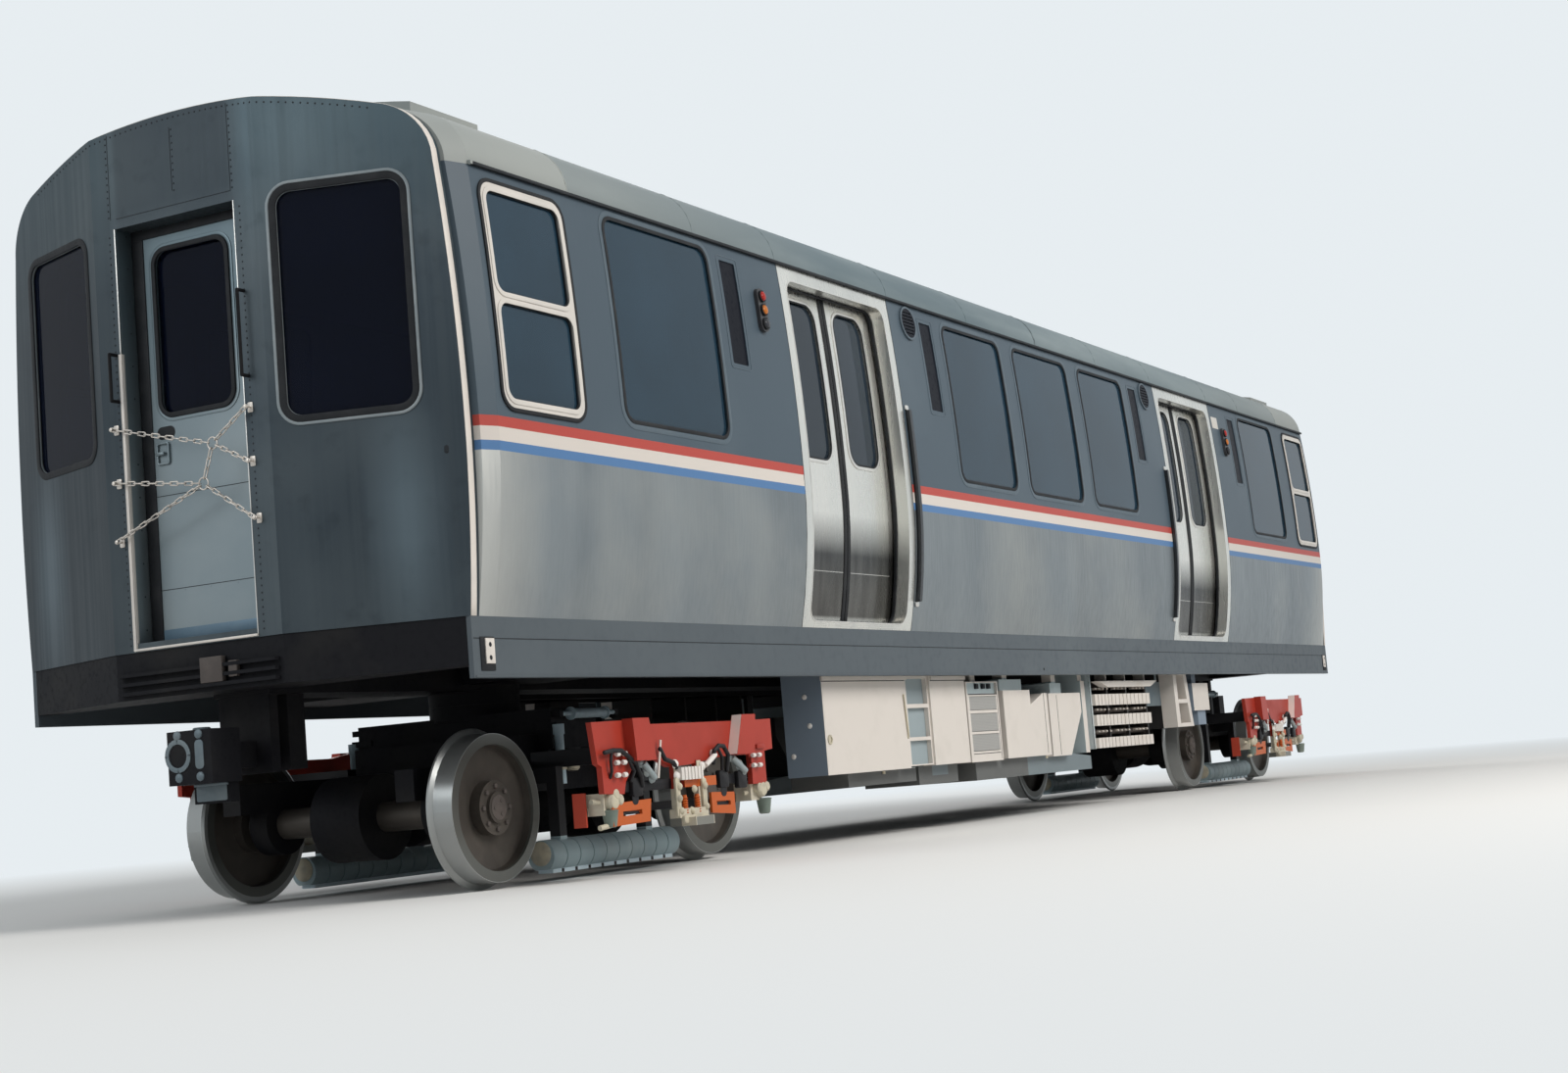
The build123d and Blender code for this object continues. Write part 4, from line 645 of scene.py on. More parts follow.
darken_pull_bars(FRAME_STEEL)
WHITE_FRAME = painted_sheet("white frame", (0.68, 0.64, 0.59), (0.61, 0.58, 0.54), 0.35, 4.0)
side_leaves = [name for name in nodes if name.startswith("door_") and name != "door_frames"
               and not name.endswith("glass")]
dress(DOOR_STEEL, *side_leaves)
dress(END_DOOR, "end_door_front", "end_door_rear")
dress(FRAME_STEEL, "door_frames", "safety_chains", "poles")
dress(WHITE_FRAME, "cab_window_frames")

# %% [markdown]
# ## Glass and the room behind it
# The glass is tinted and nearly hides the saloon. Clear glass would need lamps inside the car, so
# these panes are a dark coat that lets a small share of what is behind them through. The lining,
# the floor and the seats are plain sheets, which show best where a door is open.

# %% Glass
def tinted_glass(name, colour, cover, gloss=PAINT_GLOSS):
    """Dark glass that hides what is behind it by the share called cover."""
    material, tree, shader = new_material(name, colour, 0.06)
    shader.inputs["Alpha"].default_value = cover
    shader.inputs["Specular IOR Level"].default_value = gloss
    film = place_group(tree, BLOTCHES, Scale=1.3, Edge=0.4)
    tree.links.new(mix_colour(tree, film.outputs["Mask"], colour,
                              tuple(1.35 * c for c in colour)), shader.inputs["Base Color"])
    return material


SIDE_GLASS = tinted_glass("side glass", (0.018, 0.042, 0.066), 0.90)
END_GLASS = tinted_glass("end glass", (0.004, 0.006, 0.015), 0.80, 0.08)
LEAF_GLASS = tinted_glass("leaf glass", (0.022, 0.032, 0.044), 0.88)
dress(SIDE_GLASS, "side_glass")
dress(END_GLASS, "end_glass", "end_door_front_glass", "end_door_rear_glass")
dress(LEAF_GLASS, *[name for name in nodes if name.startswith("door_") and name.endswith("glass")])

# %% Inside
LINING = painted_sheet("lining", (0.55, 0.54, 0.48), (0.50, 0.49, 0.44), 0.6)
FLOORING = painted_sheet("flooring", (0.06, 0.06, 0.065), (0.09, 0.09, 0.09), 0.8, 5.0)
SEAT_SHELL = painted_sheet("seat shell", (0.08, 0.12, 0.22), (0.10, 0.15, 0.25), 0.45, 5.0)
dress(LINING, "wall_lining", "ceiling", "cab_partitions")
dress(FLOORING, "floor")
dress(SEAT_SHELL, "seats")

# %% Black steel under the floor and dark housings
BLACK_STEEL = painted_sheet("black steel", (0.007, 0.007, 0.009), (0.019, 0.018, 0.018), 0.6, 3.0,
                            gloss=0.12)
RED_PAINT = painted_sheet("collector red", (0.38, 0.040, 0.024), (0.33, 0.04, 0.028), 0.4, 5.0)
BRAKE_STEEL = painted_sheet("brake steel", (0.13, 0.165, 0.185), (0.20, 0.23, 0.24), 0.5, 6.0, 0.3)
DARK_PANEL = painted_sheet("dark panel", (0.007, 0.008, 0.013), (0.011, 0.012, 0.017), 0.4, 3.0,
                           gloss=0.06)
LAMP_HOUSING = painted_sheet("lamp housing", (0.05, 0.05, 0.055), (0.06, 0.06, 0.06), 0.35, 8.0)
dress(BLACK_STEEL, "underframe", "couplers", "grab_rods", "truck_frame_front",
      "truck_frame_rear", "truck_motors_front", "truck_motors_rear")
dress(DARK_PANEL, "slot_panels", "speaker_grilles")
dress(LAMP_HOUSING, "signal_lamps")

# %% [markdown]
# ## Tools for modelling
# Every new piece starts as a primitive that is shaped in edit mode while it lies flat at the
# origin. A piece for the car's side can't stay flat there, so each finished template is laid on
# the side by a small function that moves its points: its x runs along the car, its y goes up the
# curve and its z stands out of the skin. The same is done for the sloping end panels.


# %% Start and finish a template
def start_clean():
    """Leaves edit mode and selects nothing, so that an operator acts on the new piece alone."""
    if bpy.context.mode != "OBJECT":
        bpy.ops.object.mode_set(mode="OBJECT")
    bpy.ops.object.select_all(action="DESELECT")


def edit_all():
    """Enters edit mode with every part of the piece selected."""
    bpy.ops.object.mode_set(mode="EDIT")
    bpy.ops.mesh.select_all(action="SELECT")


def raise_all(thickness):
    """Gives a flat shape its thickness along z."""
    bpy.ops.mesh.select_all(action="SELECT")
    bpy.ops.mesh.extrude_region_move(TRANSFORM_OT_translate={"value": (0, 0, thickness)})


def cut_rows(height, rows):
    """Cuts a shape across, so that it can follow a curve."""
    for row in range(1, rows):
        bpy.ops.mesh.select_all(action="SELECT")
        bpy.ops.mesh.bisect(plane_co=(0, height * (row / rows - 0.5), 0), plane_no=(0, 1, 0))


def finish_template(soften=0.0):
    """Turns the faces outwards, rounds the edges by soften metres and smooths what is round."""
    bpy.ops.mesh.select_all(action="SELECT")
    bpy.ops.mesh.normals_make_consistent(inside=False)
    bpy.ops.object.mode_set(mode="OBJECT")
    shape = bpy.context.object
    if soften:
        rounding = shape.modifiers.new("rounding", "BEVEL")
        rounding.width = soften
        rounding.segments = 2
        rounding.limit_method = "ANGLE"
        bpy.ops.object.modifier_apply(modifier=rounding.name)
    bpy.ops.object.shade_smooth_by_angle(angle=math.radians(35))
    return shape


# %% Templates
def plate(width, height, thickness, radius=0.0, rows=1, soften=0.0):
    """A flat plate, with rounded corners if radius is given."""
    start_clean()
    bpy.ops.mesh.primitive_plane_add(size=1)
    edit_all()
    bpy.ops.transform.resize(value=(width, height, 1))
    if radius:
        bpy.ops.mesh.bevel(offset=radius, segments=6, affect="VERTICES")
    raise_all(thickness)
    cut_rows(height, rows)
    return finish_template(soften)


def ring(width, height, radius, band, thickness, rows=6, soften=0.0):
    """A flat rounded frame of that outer size, with its back on the surface."""
    start_clean()
    bpy.ops.mesh.primitive_plane_add(size=1)
    edit_all()
    bpy.ops.transform.resize(value=(width, height, 1))
    bpy.ops.mesh.bevel(offset=radius, segments=8, affect="VERTICES")
    bpy.ops.mesh.select_all(action="SELECT")
    bpy.ops.mesh.inset(thickness=band)
    bpy.ops.mesh.delete(type="FACE")
    raise_all(thickness)
    cut_rows(height, rows)
    return finish_template(soften)


def dome(radius, rise, segments=10):
    """The upper half of a flattened ball, closed below: a rivet head or a lens."""
    start_clean()
    bpy.ops.mesh.primitive_uv_sphere_add(segments=segments, ring_count=6, radius=radius)
    edit_all()
    bpy.ops.mesh.bisect(plane_co=(0, 0, 0), plane_no=(0, 0, 1), clear_inner=True, use_fill=True)
    bpy.ops.mesh.select_all(action="SELECT")
    bpy.ops.transform.resize(value=(1, 1, rise / radius), center_override=(0, 0, 0))
    return finish_template()


def turned_bar(profile, segments=20):
    """A turned piece along z from a profile of (radius, height), ring by ring."""
    start_clean()
    first_radius, first_height = profile[0]
    bpy.ops.mesh.primitive_circle_add(vertices=segments, radius=first_radius, fill_type="NGON",
                                      location=(0, 0, 0))
    edit_all()
    bpy.ops.transform.translate(value=(0, 0, first_height))
    radius, height = first_radius, first_height
    for next_radius, next_height in profile[1:]:
        bpy.ops.mesh.extrude_region_move(
            TRANSFORM_OT_translate={"value": (0, 0, next_height - height)})
        ratio = next_radius / radius
        bpy.ops.transform.resize(value=(ratio, ratio, 1))
        radius, height = next_radius, next_height
    return finish_template()


# %% Places on the car
END_SLOPE = math.atan2(FACE_X - CORNER_X, SILL_HALF - FOLD_HALF)
SIDES = (1, -1)
ENDS = (1, -1)


def on_side(side, x, z, inset=0.0):
    """Lays a template on the side: along the car, up the curve and out of the skin."""
    def point_of(p):
        height = z + p.y
        return Vector((x - side * p.x, side * (side_y(height) - inset + p.z), height))
    return point_of


def on_flanks(x, z, inset=0.0):
    """The same place on both sides of the car."""
    return [on_side(side, x, z, inset) for side in SIDES]


def on_four(x, z, inset=0.0):
    """The same place on both sides, towards either end."""
    return [on_side(side, end * x, z, inset) for side in SIDES for end in ENDS]


def on_face(end, y, z, x=FACE_X):
    """Lays a template on the flat middle of an end plate."""
    def point_of(p):
        return Vector((end * (x + p.z), end * (y + p.x), z + p.y))
    return point_of


def on_faces(y, z, x=FACE_X):
    """The same place on both end plates."""
    return [on_face(end, y, z, x) for end in ENDS]


def on_panel(end, side, y, z, out=0.0):
    """Lays a template on a sloping end panel."""
    normal = Vector((math.cos(END_SLOPE), side * math.sin(END_SLOPE), 0))
    along = Vector((-side * math.sin(END_SLOPE), math.cos(END_SLOPE), 0))
    x = FACE_X - (y - FOLD_HALF) * (FACE_X - CORNER_X) / (SILL_HALF - FOLD_HALF)
    origin = Vector((x, side * y, z)) + normal * out

    def point_of(p):
        point = origin + along * p.x + normal * p.z
        return Vector((end * point.x, end * point.y, point.z + p.y))
    return point_of


def at(x, y, z, turn=None):
    """Moves a template to a point, first turned by a matrix if one is given."""
    def point_of(p):
        return Vector((x, y, z)) + (turn @ p if turn else p)
    return point_of


def both_ends(places):
    """The same places again, turned half a turn round the car's upright middle line."""
    def turned(point_of):
        def other(p):
            point = point_of(p)
            return Vector((-point.x, -point.y, point.z))
        return other
    return places + [turned(point_of) for point_of in places]


def discard(*templates):
    """Removes templates that have been copied to all their places."""
    for template in templates:
        bpy.data.objects.remove(template)


def gather(name, groups, material, body, keep=False):
    """Copies each template to its places and joins the copies to one piece of the car."""
    start_clean()
    copies = []
    for template, places in groups:
        for point_of in places:
            copy = template.copy()
            copy.data = template.data.copy()
            bpy.context.scene.collection.objects.link(copy)
            for vertex in copy.data.vertices:
                vertex.co = point_of(vertex.co)
            copy.select_set(True)
            copies.append(copy)
    bpy.context.view_layer.objects.active = copies[0]
    if len(copies) > 1:
        bpy.ops.object.join()
    piece = bpy.context.object
    piece.name = name
    piece.data.materials.clear()
    piece.data.materials.append(material)
    if not keep:
        discard(*[template for template, places in groups])
    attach(piece, body)
    print(name, len(piece.data.polygons), "faces")
    return piece


# %% Finishes for trim
RUBBER = painted_sheet("window rubber", (0.012, 0.013, 0.015), (0.024, 0.025, 0.027), 0.62, 9.0)
SLATE_TRIM = painted_sheet("slate trim", (0.085, 0.115, 0.140), (0.105, 0.135, 0.160), 0.45, 3.0)
POLISHED = painted_sheet("polished trim", (0.72, 0.70, 0.66), (0.60, 0.59, 0.57), 0.28, 7.0, 0.8)
GREY_TRIM = painted_sheet("grey trim", (0.20, 0.225, 0.235), (0.26, 0.28, 0.285), 0.45, 5.0, 0.4)
EDGE_TRIM = painted_sheet("edge trim", (0.74, 0.68, 0.62), (0.64, 0.60, 0.56), 0.42, 6.0, 0.15)
RIVET_STEEL = painted_sheet("rivet steel", (0.045, 0.060, 0.070), (0.08, 0.10, 0.11), 0.5, 9.0, 0.3)
CHAIN_STEEL = painted_sheet("chain steel", (0.66, 0.60, 0.54), (0.40, 0.37, 0.34), 0.38, 20.0, 0.6)
KICK_PAINT = painted_sheet("kick band", (0.13, 0.20, 0.26), (0.17, 0.24, 0.29), 0.4, 6.0, 0.2)
SEAM_DARK = painted_sheet("seam shadow", (0.02, 0.023, 0.027), (0.032, 0.035, 0.038), 0.7, 9.0)

# %% [markdown]
# ## Windows of the side
# Each saloon window sits in a dark rubber with round corners, and a narrow pressed surround frames
# it in the painted band. The cab window has two lights, one over the other, each in a rubber inside
# a white bead. Each of these is one rounded frame, cut into rows so that it bows with the side.

# %% Saloon windows
# Columns: middle along the car, width, lower edge and upper edge
WINDOW_LOW = 2.196
SALOON_WINDOWS = [(0, 0.990, WINDOW_LOW, 3.214)] + [
    (end * x, width, WINDOW_LOW, high)
    for x, width, high in ((1.200, 0.920, 3.214), (5.165, 1.010, 3.228)) for end in ENDS]
GASKET_BAND = 0.020
GASKET_LAP = 0.010
SURROUND_BAND = 0.028
WINDOW_CORNER = 0.088
CAB_WINDOWS = [(end * 6.367, 0.670, 2.154, 3.222) for end in ENDS]
CAB_LIGHTS = [(2.196, 2.652), (2.692, 3.180)]
CAB_LIGHT_WIDTH = 0.586


def window_frames(windows, lap, band, thickness, corner, soften):
    """One frame for each window, with its places on both sides."""
    groups = []
    for x, width, low, high in windows:
        template = ring(width + 2 * lap, high - low + 2 * lap, corner, band, thickness, 6, soften)
        groups.append((template, on_flanks(x, (low + high) / 2)))
    return groups


gather("saloon_window_rubbers",
       window_frames(SALOON_WINDOWS, GASKET_LAP, GASKET_BAND, 0.005, WINDOW_CORNER, 0.0015),
       RUBBER, "carbody")
gather("saloon_window_surrounds",
       window_frames(SALOON_WINDOWS, GASKET_LAP + SURROUND_BAND, SURROUND_BAND, 0.002,
                     WINDOW_CORNER + SURROUND_BAND, 0.0008),
       SLATE_TRIM, "carbody")

# %% Cab windows
cab_rubbers = window_frames(CAB_WINDOWS, 0.012, 0.019, 0.008, 0.100, 0.0015)
cab_beads = []
for x, width, low, high in CAB_WINDOWS:
    for light_low, light_high in CAB_LIGHTS:
        middle, height = (light_low + light_high) / 2, light_high - light_low
        light = ring(CAB_LIGHT_WIDTH - 0.002, height - 0.002, 0.052, 0.010, 0.004)
        cab_rubbers.append((light, on_flanks(x, middle, 0.004)))
        bead = ring(CAB_LIGHT_WIDTH + 0.046, height + 0.036, 0.078, 0.024, 0.004, 6, 0.0015)
        cab_beads.append((bead, on_flanks(x, middle, -0.006)))
gather("cab_window_rubbers", cab_rubbers, RUBBER, "carbody")
gather("cab_window_beads", cab_beads, WHITE_FRAME, "carbody")

# %% [markdown]
# ## Side doorways
# Each doorway has a bright frame whose corners are round. A black rubber runs round the opening,
# the threshold has a ribbed tread, and a pull bar stands in front of a dark slit beside it. Each
# leaf carries a bright bead round its window and a black edge where the two leaves meet. All that
# stands out from a leaf stays thinner than the gap to the frame, so that the leaf can slide by.

# %% Door openings
DOORWAY_X = 3.151
CLEAR_HALF = 0.620
CLEAR_LOW, CLEAR_HIGH = 1.266, 3.196
FRAME_DEPTH = 0.100
CLEAR_MIDDLE = (CLEAR_LOW + CLEAR_HIGH) / 2
CLEAR_HEIGHT = CLEAR_HIGH - CLEAR_LOW
doorways = [(side, end * DOORWAY_X) for side in SIDES for end in ENDS]
door_seal = ring(2 * CLEAR_HALF - 0.001, CLEAR_HEIGHT - 0.001, 0.080, 0.012, 0.020, 14, 0.003)
gather("doorway_rubbers",
       [(door_seal, [on_side(side, x, CLEAR_MIDDLE, FRAME_DEPTH - 0.002) for side, x in doorways])],
       RUBBER, "carbody")
frame_bead = ring(2 * CLEAR_HALF + 0.012, CLEAR_HEIGHT + 0.012, 0.086, 0.006, 0.002, 14, 0.0008)
tread = plate(2 * CLEAR_HALF - 0.12, 0.004, 0.002, 0, 1, 0.0005)
gather("doorway_beads",
       [(frame_bead, [on_side(side, x, CLEAR_MIDDLE) for side, x in doorways]),
        (tread, [on_side(side, x, CLEAR_LOW - 0.008 - row * 0.009)
                 for side, x in doorways for row in range(3)])],
       POLISHED, "carbody")
# A thin dark line runs up the side along the outer edge of each frame: a painted shadow where the skin's
# bulge ends beside the frame.
FRAME_EDGE = 0.705
edge_shadow = plate(0.004, DRIP - SILL_TOP, 0.0012, 0, 12)
gather("doorway_edge_shadows",
       [(edge_shadow, [on_side(side, x + way * FRAME_EDGE, (DRIP + SILL_TOP) / 2)
                     for side, x in doorways for way in ENDS])],
       SEAM_DARK, "carbody")

# %% Slits behind the pull bars
BAR_X = 2.402
BAR_FEET = (1.385, 2.595)
SLIT_HEIGHT = 1.24
slit = plate(0.030, SLIT_HEIGHT, 0.002, 0.012, 10, 0.0005)
gather("pull_bar_slits", [(slit, on_four(BAR_X, sum(BAR_FEET) / 2))],
       SEAM_DARK, "carbody")
bar_foot = plate(0.046, 0.030, 0.010, 0.010, 1, 0.003)
gather("pull_bar_feet",
       [(bar_foot, [place for z in BAR_FEET for place in on_four(BAR_X, z)])],
       POLISHED, "carbody")

# %% Leaves
LEAF_INSET = 0.108
LEAF_LOW, LEAF_HIGH = 1.274, 3.250
PANE_MIDDLE = 0.308
PANE_WIDTH = 0.390
PANE_LOW, PANE_HIGH = 2.200, 3.128
PANE_HEIGHT = PANE_HIGH - PANE_LOW
LEADING_EDGE = 0.0215
KICK_LINE_Z = 1.560
leaf_edge = plate(0.036, LEAF_HIGH - LEAF_LOW, 0.0045, 0, 14, 0.0015)
leaf_bead = ring(PANE_WIDTH + 0.036, PANE_HEIGHT + 0.036, 0.123, 0.020, 0.005, 8, 0.0018)
leaf_rubber = ring(PANE_WIDTH + 0.002, PANE_HEIGHT + 0.002, 0.106, 0.013, 0.006, 8, 0.002)
leaf_kick = plate(0.52, 0.003, 0.001, 0, 1)
pane_z = (PANE_LOW + PANE_HIGH) / 2
for side, side_name in zip(SIDES, ("left", "right")):
    for end, end_name in zip(ENDS, ("front", "rear")):
        for way, way_name in zip(ENDS, ("forward", "backward")):
            leaf = f"door_{side_name}_{end_name}_{way_name}"
            window_x = end * DOORWAY_X + way * PANE_MIDDLE
            edge_x = end * DOORWAY_X + way * LEADING_EDGE
            gather(f"{leaf}_rubbers",
                   [(leaf_edge, [on_side(side, edge_x, (LEAF_LOW + LEAF_HIGH) / 2, LEAF_INSET)]),
                    (leaf_rubber, [on_side(side, window_x, pane_z, LEAF_INSET + 0.001)])],
                   RUBBER, leaf, keep=True)
            gather(f"{leaf}_bead",
                   [(leaf_bead, [on_side(side, window_x, pane_z, LEAF_INSET)]),
                    (leaf_kick, [on_side(side, window_x, KICK_LINE_Z, LEAF_INSET)])],
                   POLISHED, leaf, keep=True)
discard(leaf_edge, leaf_bead, leaf_rubber, leaf_kick)

# %% [markdown]
# ## Small things on the side
# Beside the doorways are dark slots in pressed outlines, a round loudspeaker cover and an upright
# housing with three lamps. A dark rail catches the rain above the windows.

# %% Slots, loudspeakers and lamps
SLOT_X = (4.440, 1.917)
SLOT_Z = (2.622, 3.192)
SLOT_WIDTH = 0.165
OUTLINE_LAP = 0.056
slot_outline = ring(SLOT_WIDTH + OUTLINE_LAP, SLOT_Z[1] - SLOT_Z[0] + OUTLINE_LAP, 0.022, 0.005,
                    0.002, 4, 0.0008)
gather("slot_outlines",
       [(slot_outline, [place for x in SLOT_X for place in on_four(x, sum(SLOT_Z) / 2)])],
       SLATE_TRIM, "carbody")
SPEAKER_X, SPEAKER_Z = 2.180, 3.160
SPEAKER_WIDTH = 0.214
speaker_rim = ring(SPEAKER_WIDTH, SPEAKER_WIDTH, SPEAKER_WIDTH / 2 - 0.0005, 0.012, 0.012, 6, 0.003)
gather("speaker_rims", [(speaker_rim, on_four(SPEAKER_X, SPEAKER_Z))],
       SLATE_TRIM, "carbody")

LAMP_X = 4.140
LAMP_DEPTH = 0.034
LAMP_LEVELS = (2.885, 2.9625, 3.040)
LENS_RED = painted_sheet("red lens", (0.36, 0.018, 0.012), (0.42, 0.03, 0.02), 0.12, 9.0)
LENS_AMBER = painted_sheet("amber lens", (0.50, 0.15, 0.02), (0.56, 0.20, 0.03), 0.12, 9.0)
LENS_DARK = painted_sheet("dark lens", (0.03, 0.035, 0.04), (0.05, 0.05, 0.06), 0.12, 9.0)
for level, lens_name, lens_finish in zip(LAMP_LEVELS, ("low", "middle", "high"),
                                         (LENS_DARK, LENS_AMBER, LENS_RED)):
    lens = dome(0.0275, 0.014, 20)
    gather(f"side_lamp_lenses_{lens_name}", [(lens, on_four(LAMP_X, level, -LAMP_DEPTH + 0.002))],
           lens_finish, "carbody")
lamp_hood = ring(0.066, 0.066, 0.0325, 0.006, 0.014, 4, 0.0015)
gather("side_lamp_rims",
       [(lamp_hood, [place for level in LAMP_LEVELS for place in on_four(LAMP_X, level, -0.021)])],
       RUBBER, "carbody")

# %% Blank plates and rain rails
NUMBER_X, NUMBER_Z = -3.980, 3.120
small_plate = plate(0.16, 0.10, 0.002, 0.006, 1, 0.0006)
gather("blank_plates",
       [(small_plate, [on_side(side, side * NUMBER_X, NUMBER_Z) for side in SIDES])],
       WHITE_FRAME, "carbody")
RAIN_RAIL_HALF = 6.735
rain_rail = plate(2 * RAIN_RAIL_HALF, 0.018, 0.022, 0, 1, 0.004)
gather("rain_rails", [(rain_rail, on_flanks(0, DRIP + 0.008, 0.002))],
       SEAM_DARK, "carbody")
SILL_SEAM_Z = 1.128
SEAM_LENGTH = 2 * CORNER_X - 0.02
sill_seam = plate(SEAM_LENGTH, 0.004, 0.0012)
sill_lip = plate(SEAM_LENGTH, 0.010, 0.004, 0, 1, 0.001)
gather("sill_seams", [(sill_seam, on_flanks(0, SILL_SEAM_Z))],
       SEAM_DARK, "carbody")
gather("sill_lips", [(sill_lip, on_flanks(0, SILL_BOTTOM + 0.006))],
       SILL_PAINT, "carbody")

# %% [markdown]
# ## End plates
# Each end is folded from three sheets of dull steel. Rows of rivets run down beside the doorway
# and under the roof line, a bright strip covers the edge on the flank and over the roof, and the
# windows sit in black rubbers with thin grey beads. A pale corner post stands at one side of the
# doorway. The strip over the edge is one flat plate with many rows, laid along the edge's outline.

# %% The edge of an end plate
MASK_BELT_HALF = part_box("mask_front")[1][1]
MASK_DRIP_HALF = 1.289
MASK_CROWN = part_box("mask_front")[1][2]
COVE_R = 0.290
COVE_END = math.radians(78)
SIDE_STEPS, COVE_STEPS, CROWN_STEPS = 24, 8, 14
EDGE_ROWS = SIDE_STEPS + COVE_STEPS + CROWN_STEPS
MASK_LOWER_ARC, MASK_UPPER_ARC = side_arcs(MASK_BELT_HALF, MASK_DRIP_HALF)
cove_y, cove_z = MASK_DRIP_HALF - COVE_R, DRIP
cove_tip = (cove_y + COVE_R * math.cos(COVE_END), cove_z + COVE_R * math.sin(COVE_END))
CROWN_ARC = arc_through(cove_tip, (0, MASK_CROWN), (-cove_tip[0], cove_tip[1]))


def crown_z(y):
    """Height of the end plate's upper edge, between the coves."""
    centre_y, centre_z, radius = CROWN_ARC
    return centre_z + math.sqrt(radius * radius - (y - centre_y) ** 2)


def edge_outline():
    """Points (y, z) of the plate's edge from the sill up to the middle of the roof."""
    points = []
    for step in range(SIDE_STEPS):
        z = SILL_TOP + (DRIP - SILL_TOP) * step / SIDE_STEPS
        y, middle, radius = MASK_LOWER_ARC if z < BELT else MASK_UPPER_ARC
        points.append(Vector((y + math.sqrt(radius * radius - (z - middle) ** 2), z)))
    for step in range(COVE_STEPS):
        angle = COVE_END * step / COVE_STEPS
        points.append(Vector((cove_y + COVE_R * math.cos(angle), cove_z + COVE_R * math.sin(angle))))
    for step in range(CROWN_STEPS + 1):
        y = cove_tip[0] * (1 - step / CROWN_STEPS)
        points.append(Vector((y, crown_z(y))))
    return points


EDGE_OUTLINE = edge_outline()


def plan_x(y):
    """How far forward the end plate stands at a distance y from the middle."""
    return FACE_X - max(abs(y) - FOLD_HALF, 0) * (FACE_X - CORNER_X) / (SILL_HALF - FOLD_HALF)


def on_edge(end, side, back):
    """Lays a long template on the plate's edge: one metre of its y is one step of the outline."""
    def point_of(p):
        along = min(max(p.y + EDGE_ROWS / 2, 0), EDGE_ROWS)
        index = min(int(along), EDGE_ROWS - 1)
        a, b = EDGE_OUTLINE[index], EDGE_OUTLINE[index + 1]
        spot = a.lerp(b, along - index)
        run = (b - a).normalized()
        spot = spot + Vector((run.y, -run.x)) * p.z
        return Vector((end * (plan_x(spot.x) - back - side * p.x), end * side * spot.x, spot.y))
    return point_of


edge_strip = plate(0.040, EDGE_ROWS, 0.003, 0, EDGE_ROWS, 0.001)
gather("end_plate_edges",
       [(edge_strip, [on_edge(end, side, 0.022) for end in ENDS for side in SIDES])],
       EDGE_TRIM, "carbody")

# %% Rivets of the end plates
RIVET_R = 0.0050
RIVET_RISE = 0.0022
RIVET_PITCH = 0.032
JAMB_ROW_Y = 0.398
ARCH_ROW_DROP = 0.026


def on_plate(end, y, z, out=0.0):
    """A place on an end plate, on its flat middle or on a sloping panel."""
    if abs(y) <= FOLD_HALF:
        return on_face(end, y, z, FACE_X + out)
    return on_panel(end, 1 if y > 0 else -1, abs(y), z, out)


def on_plates(y, z):
    """The same place on both end plates, on their flat or their sloping parts."""
    return [on_plate(end, y, z) for end in ENDS]


def upright_row(y, low, high):
    """Places (y, z) of rivets one pitch apart, from low up."""
    count = int((high - low) / RIVET_PITCH)
    return [(y, low + number * RIVET_PITCH) for number in range(count + 1)]


# Columns: distance across the car, lowest rivet and distance below the crown
HEADER_ROWS = ((0.363, 3.275, 0.05), (0.015, 3.330, 0.08), (-0.397, 3.275, 0.05))
ARCH_ROW_HALF = 1.02
ARCH_ROW_COUNT = 62
rivet_spots = []
for y in (-JAMB_ROW_Y, JAMB_ROW_Y):
    rivet_spots += upright_row(y, 1.26, 3.20)
for y, low, drop in HEADER_ROWS:
    rivet_spots += upright_row(y, low, crown_z(y) - drop)
for number in range(ARCH_ROW_COUNT + 1):
    y = ARCH_ROW_HALF * (2 * number / ARCH_ROW_COUNT - 1)
    rivet_spots.append((y, crown_z(y) - ARCH_ROW_DROP))
rivet = dome(RIVET_R, RIVET_RISE, 6)
gather("end_plate_rivets",
       [(rivet, [on_plate(end, y, z) for end in ENDS for y, z in rivet_spots])],
       SEAM_DARK, "carbody")

# %% Seams of the end plates
seam_line = plate(0.003, 0.408, 0.0010)
middle_seam = plate(0.003, 0.30, 0.0010)
header_seam = plate(0.70, 0.003, 0.0010)
lock_hole = dome(0.011, 0.003, 12)
gather("end_plate_seams",
       [(seam_line, on_plates(0.352, 3.466) + on_plates(-0.386, 3.466)),
        (middle_seam, on_plates(0.004, 3.480)),
        (header_seam, on_plates(0, 3.262)),
        (lock_hole, [on_plate(end, 1.268, z) for end in ENDS for z in (1.958, 1.966, 1.974)])],
       SEAM_DARK, "carbody")

# %% End windows
# Columns: side, inner and outer edge across the car, lower and upper edge
END_WINDOWS = [(1, 0.552, 1.170, 2.158, 3.244), (-1, 0.565, 1.165, 2.140, 3.232)]
END_CORNER = 0.100


def end_frame(window, grow, corner, band, thickness, soften, out=0.0):
    """A frame round an end window, larger than its opening by grow, with its places."""
    side, inner, outer, low, high = window
    width, height = (outer - inner) / math.cos(END_SLOPE), high - low
    frame_ring = ring(width + grow, height + grow, END_CORNER + corner, band, thickness, 1, soften)
    middle_y, middle_z = (inner + outer) / 2, (low + high) / 2
    return frame_ring, [on_panel(end, side, middle_y, middle_z, out) for end in ENDS]


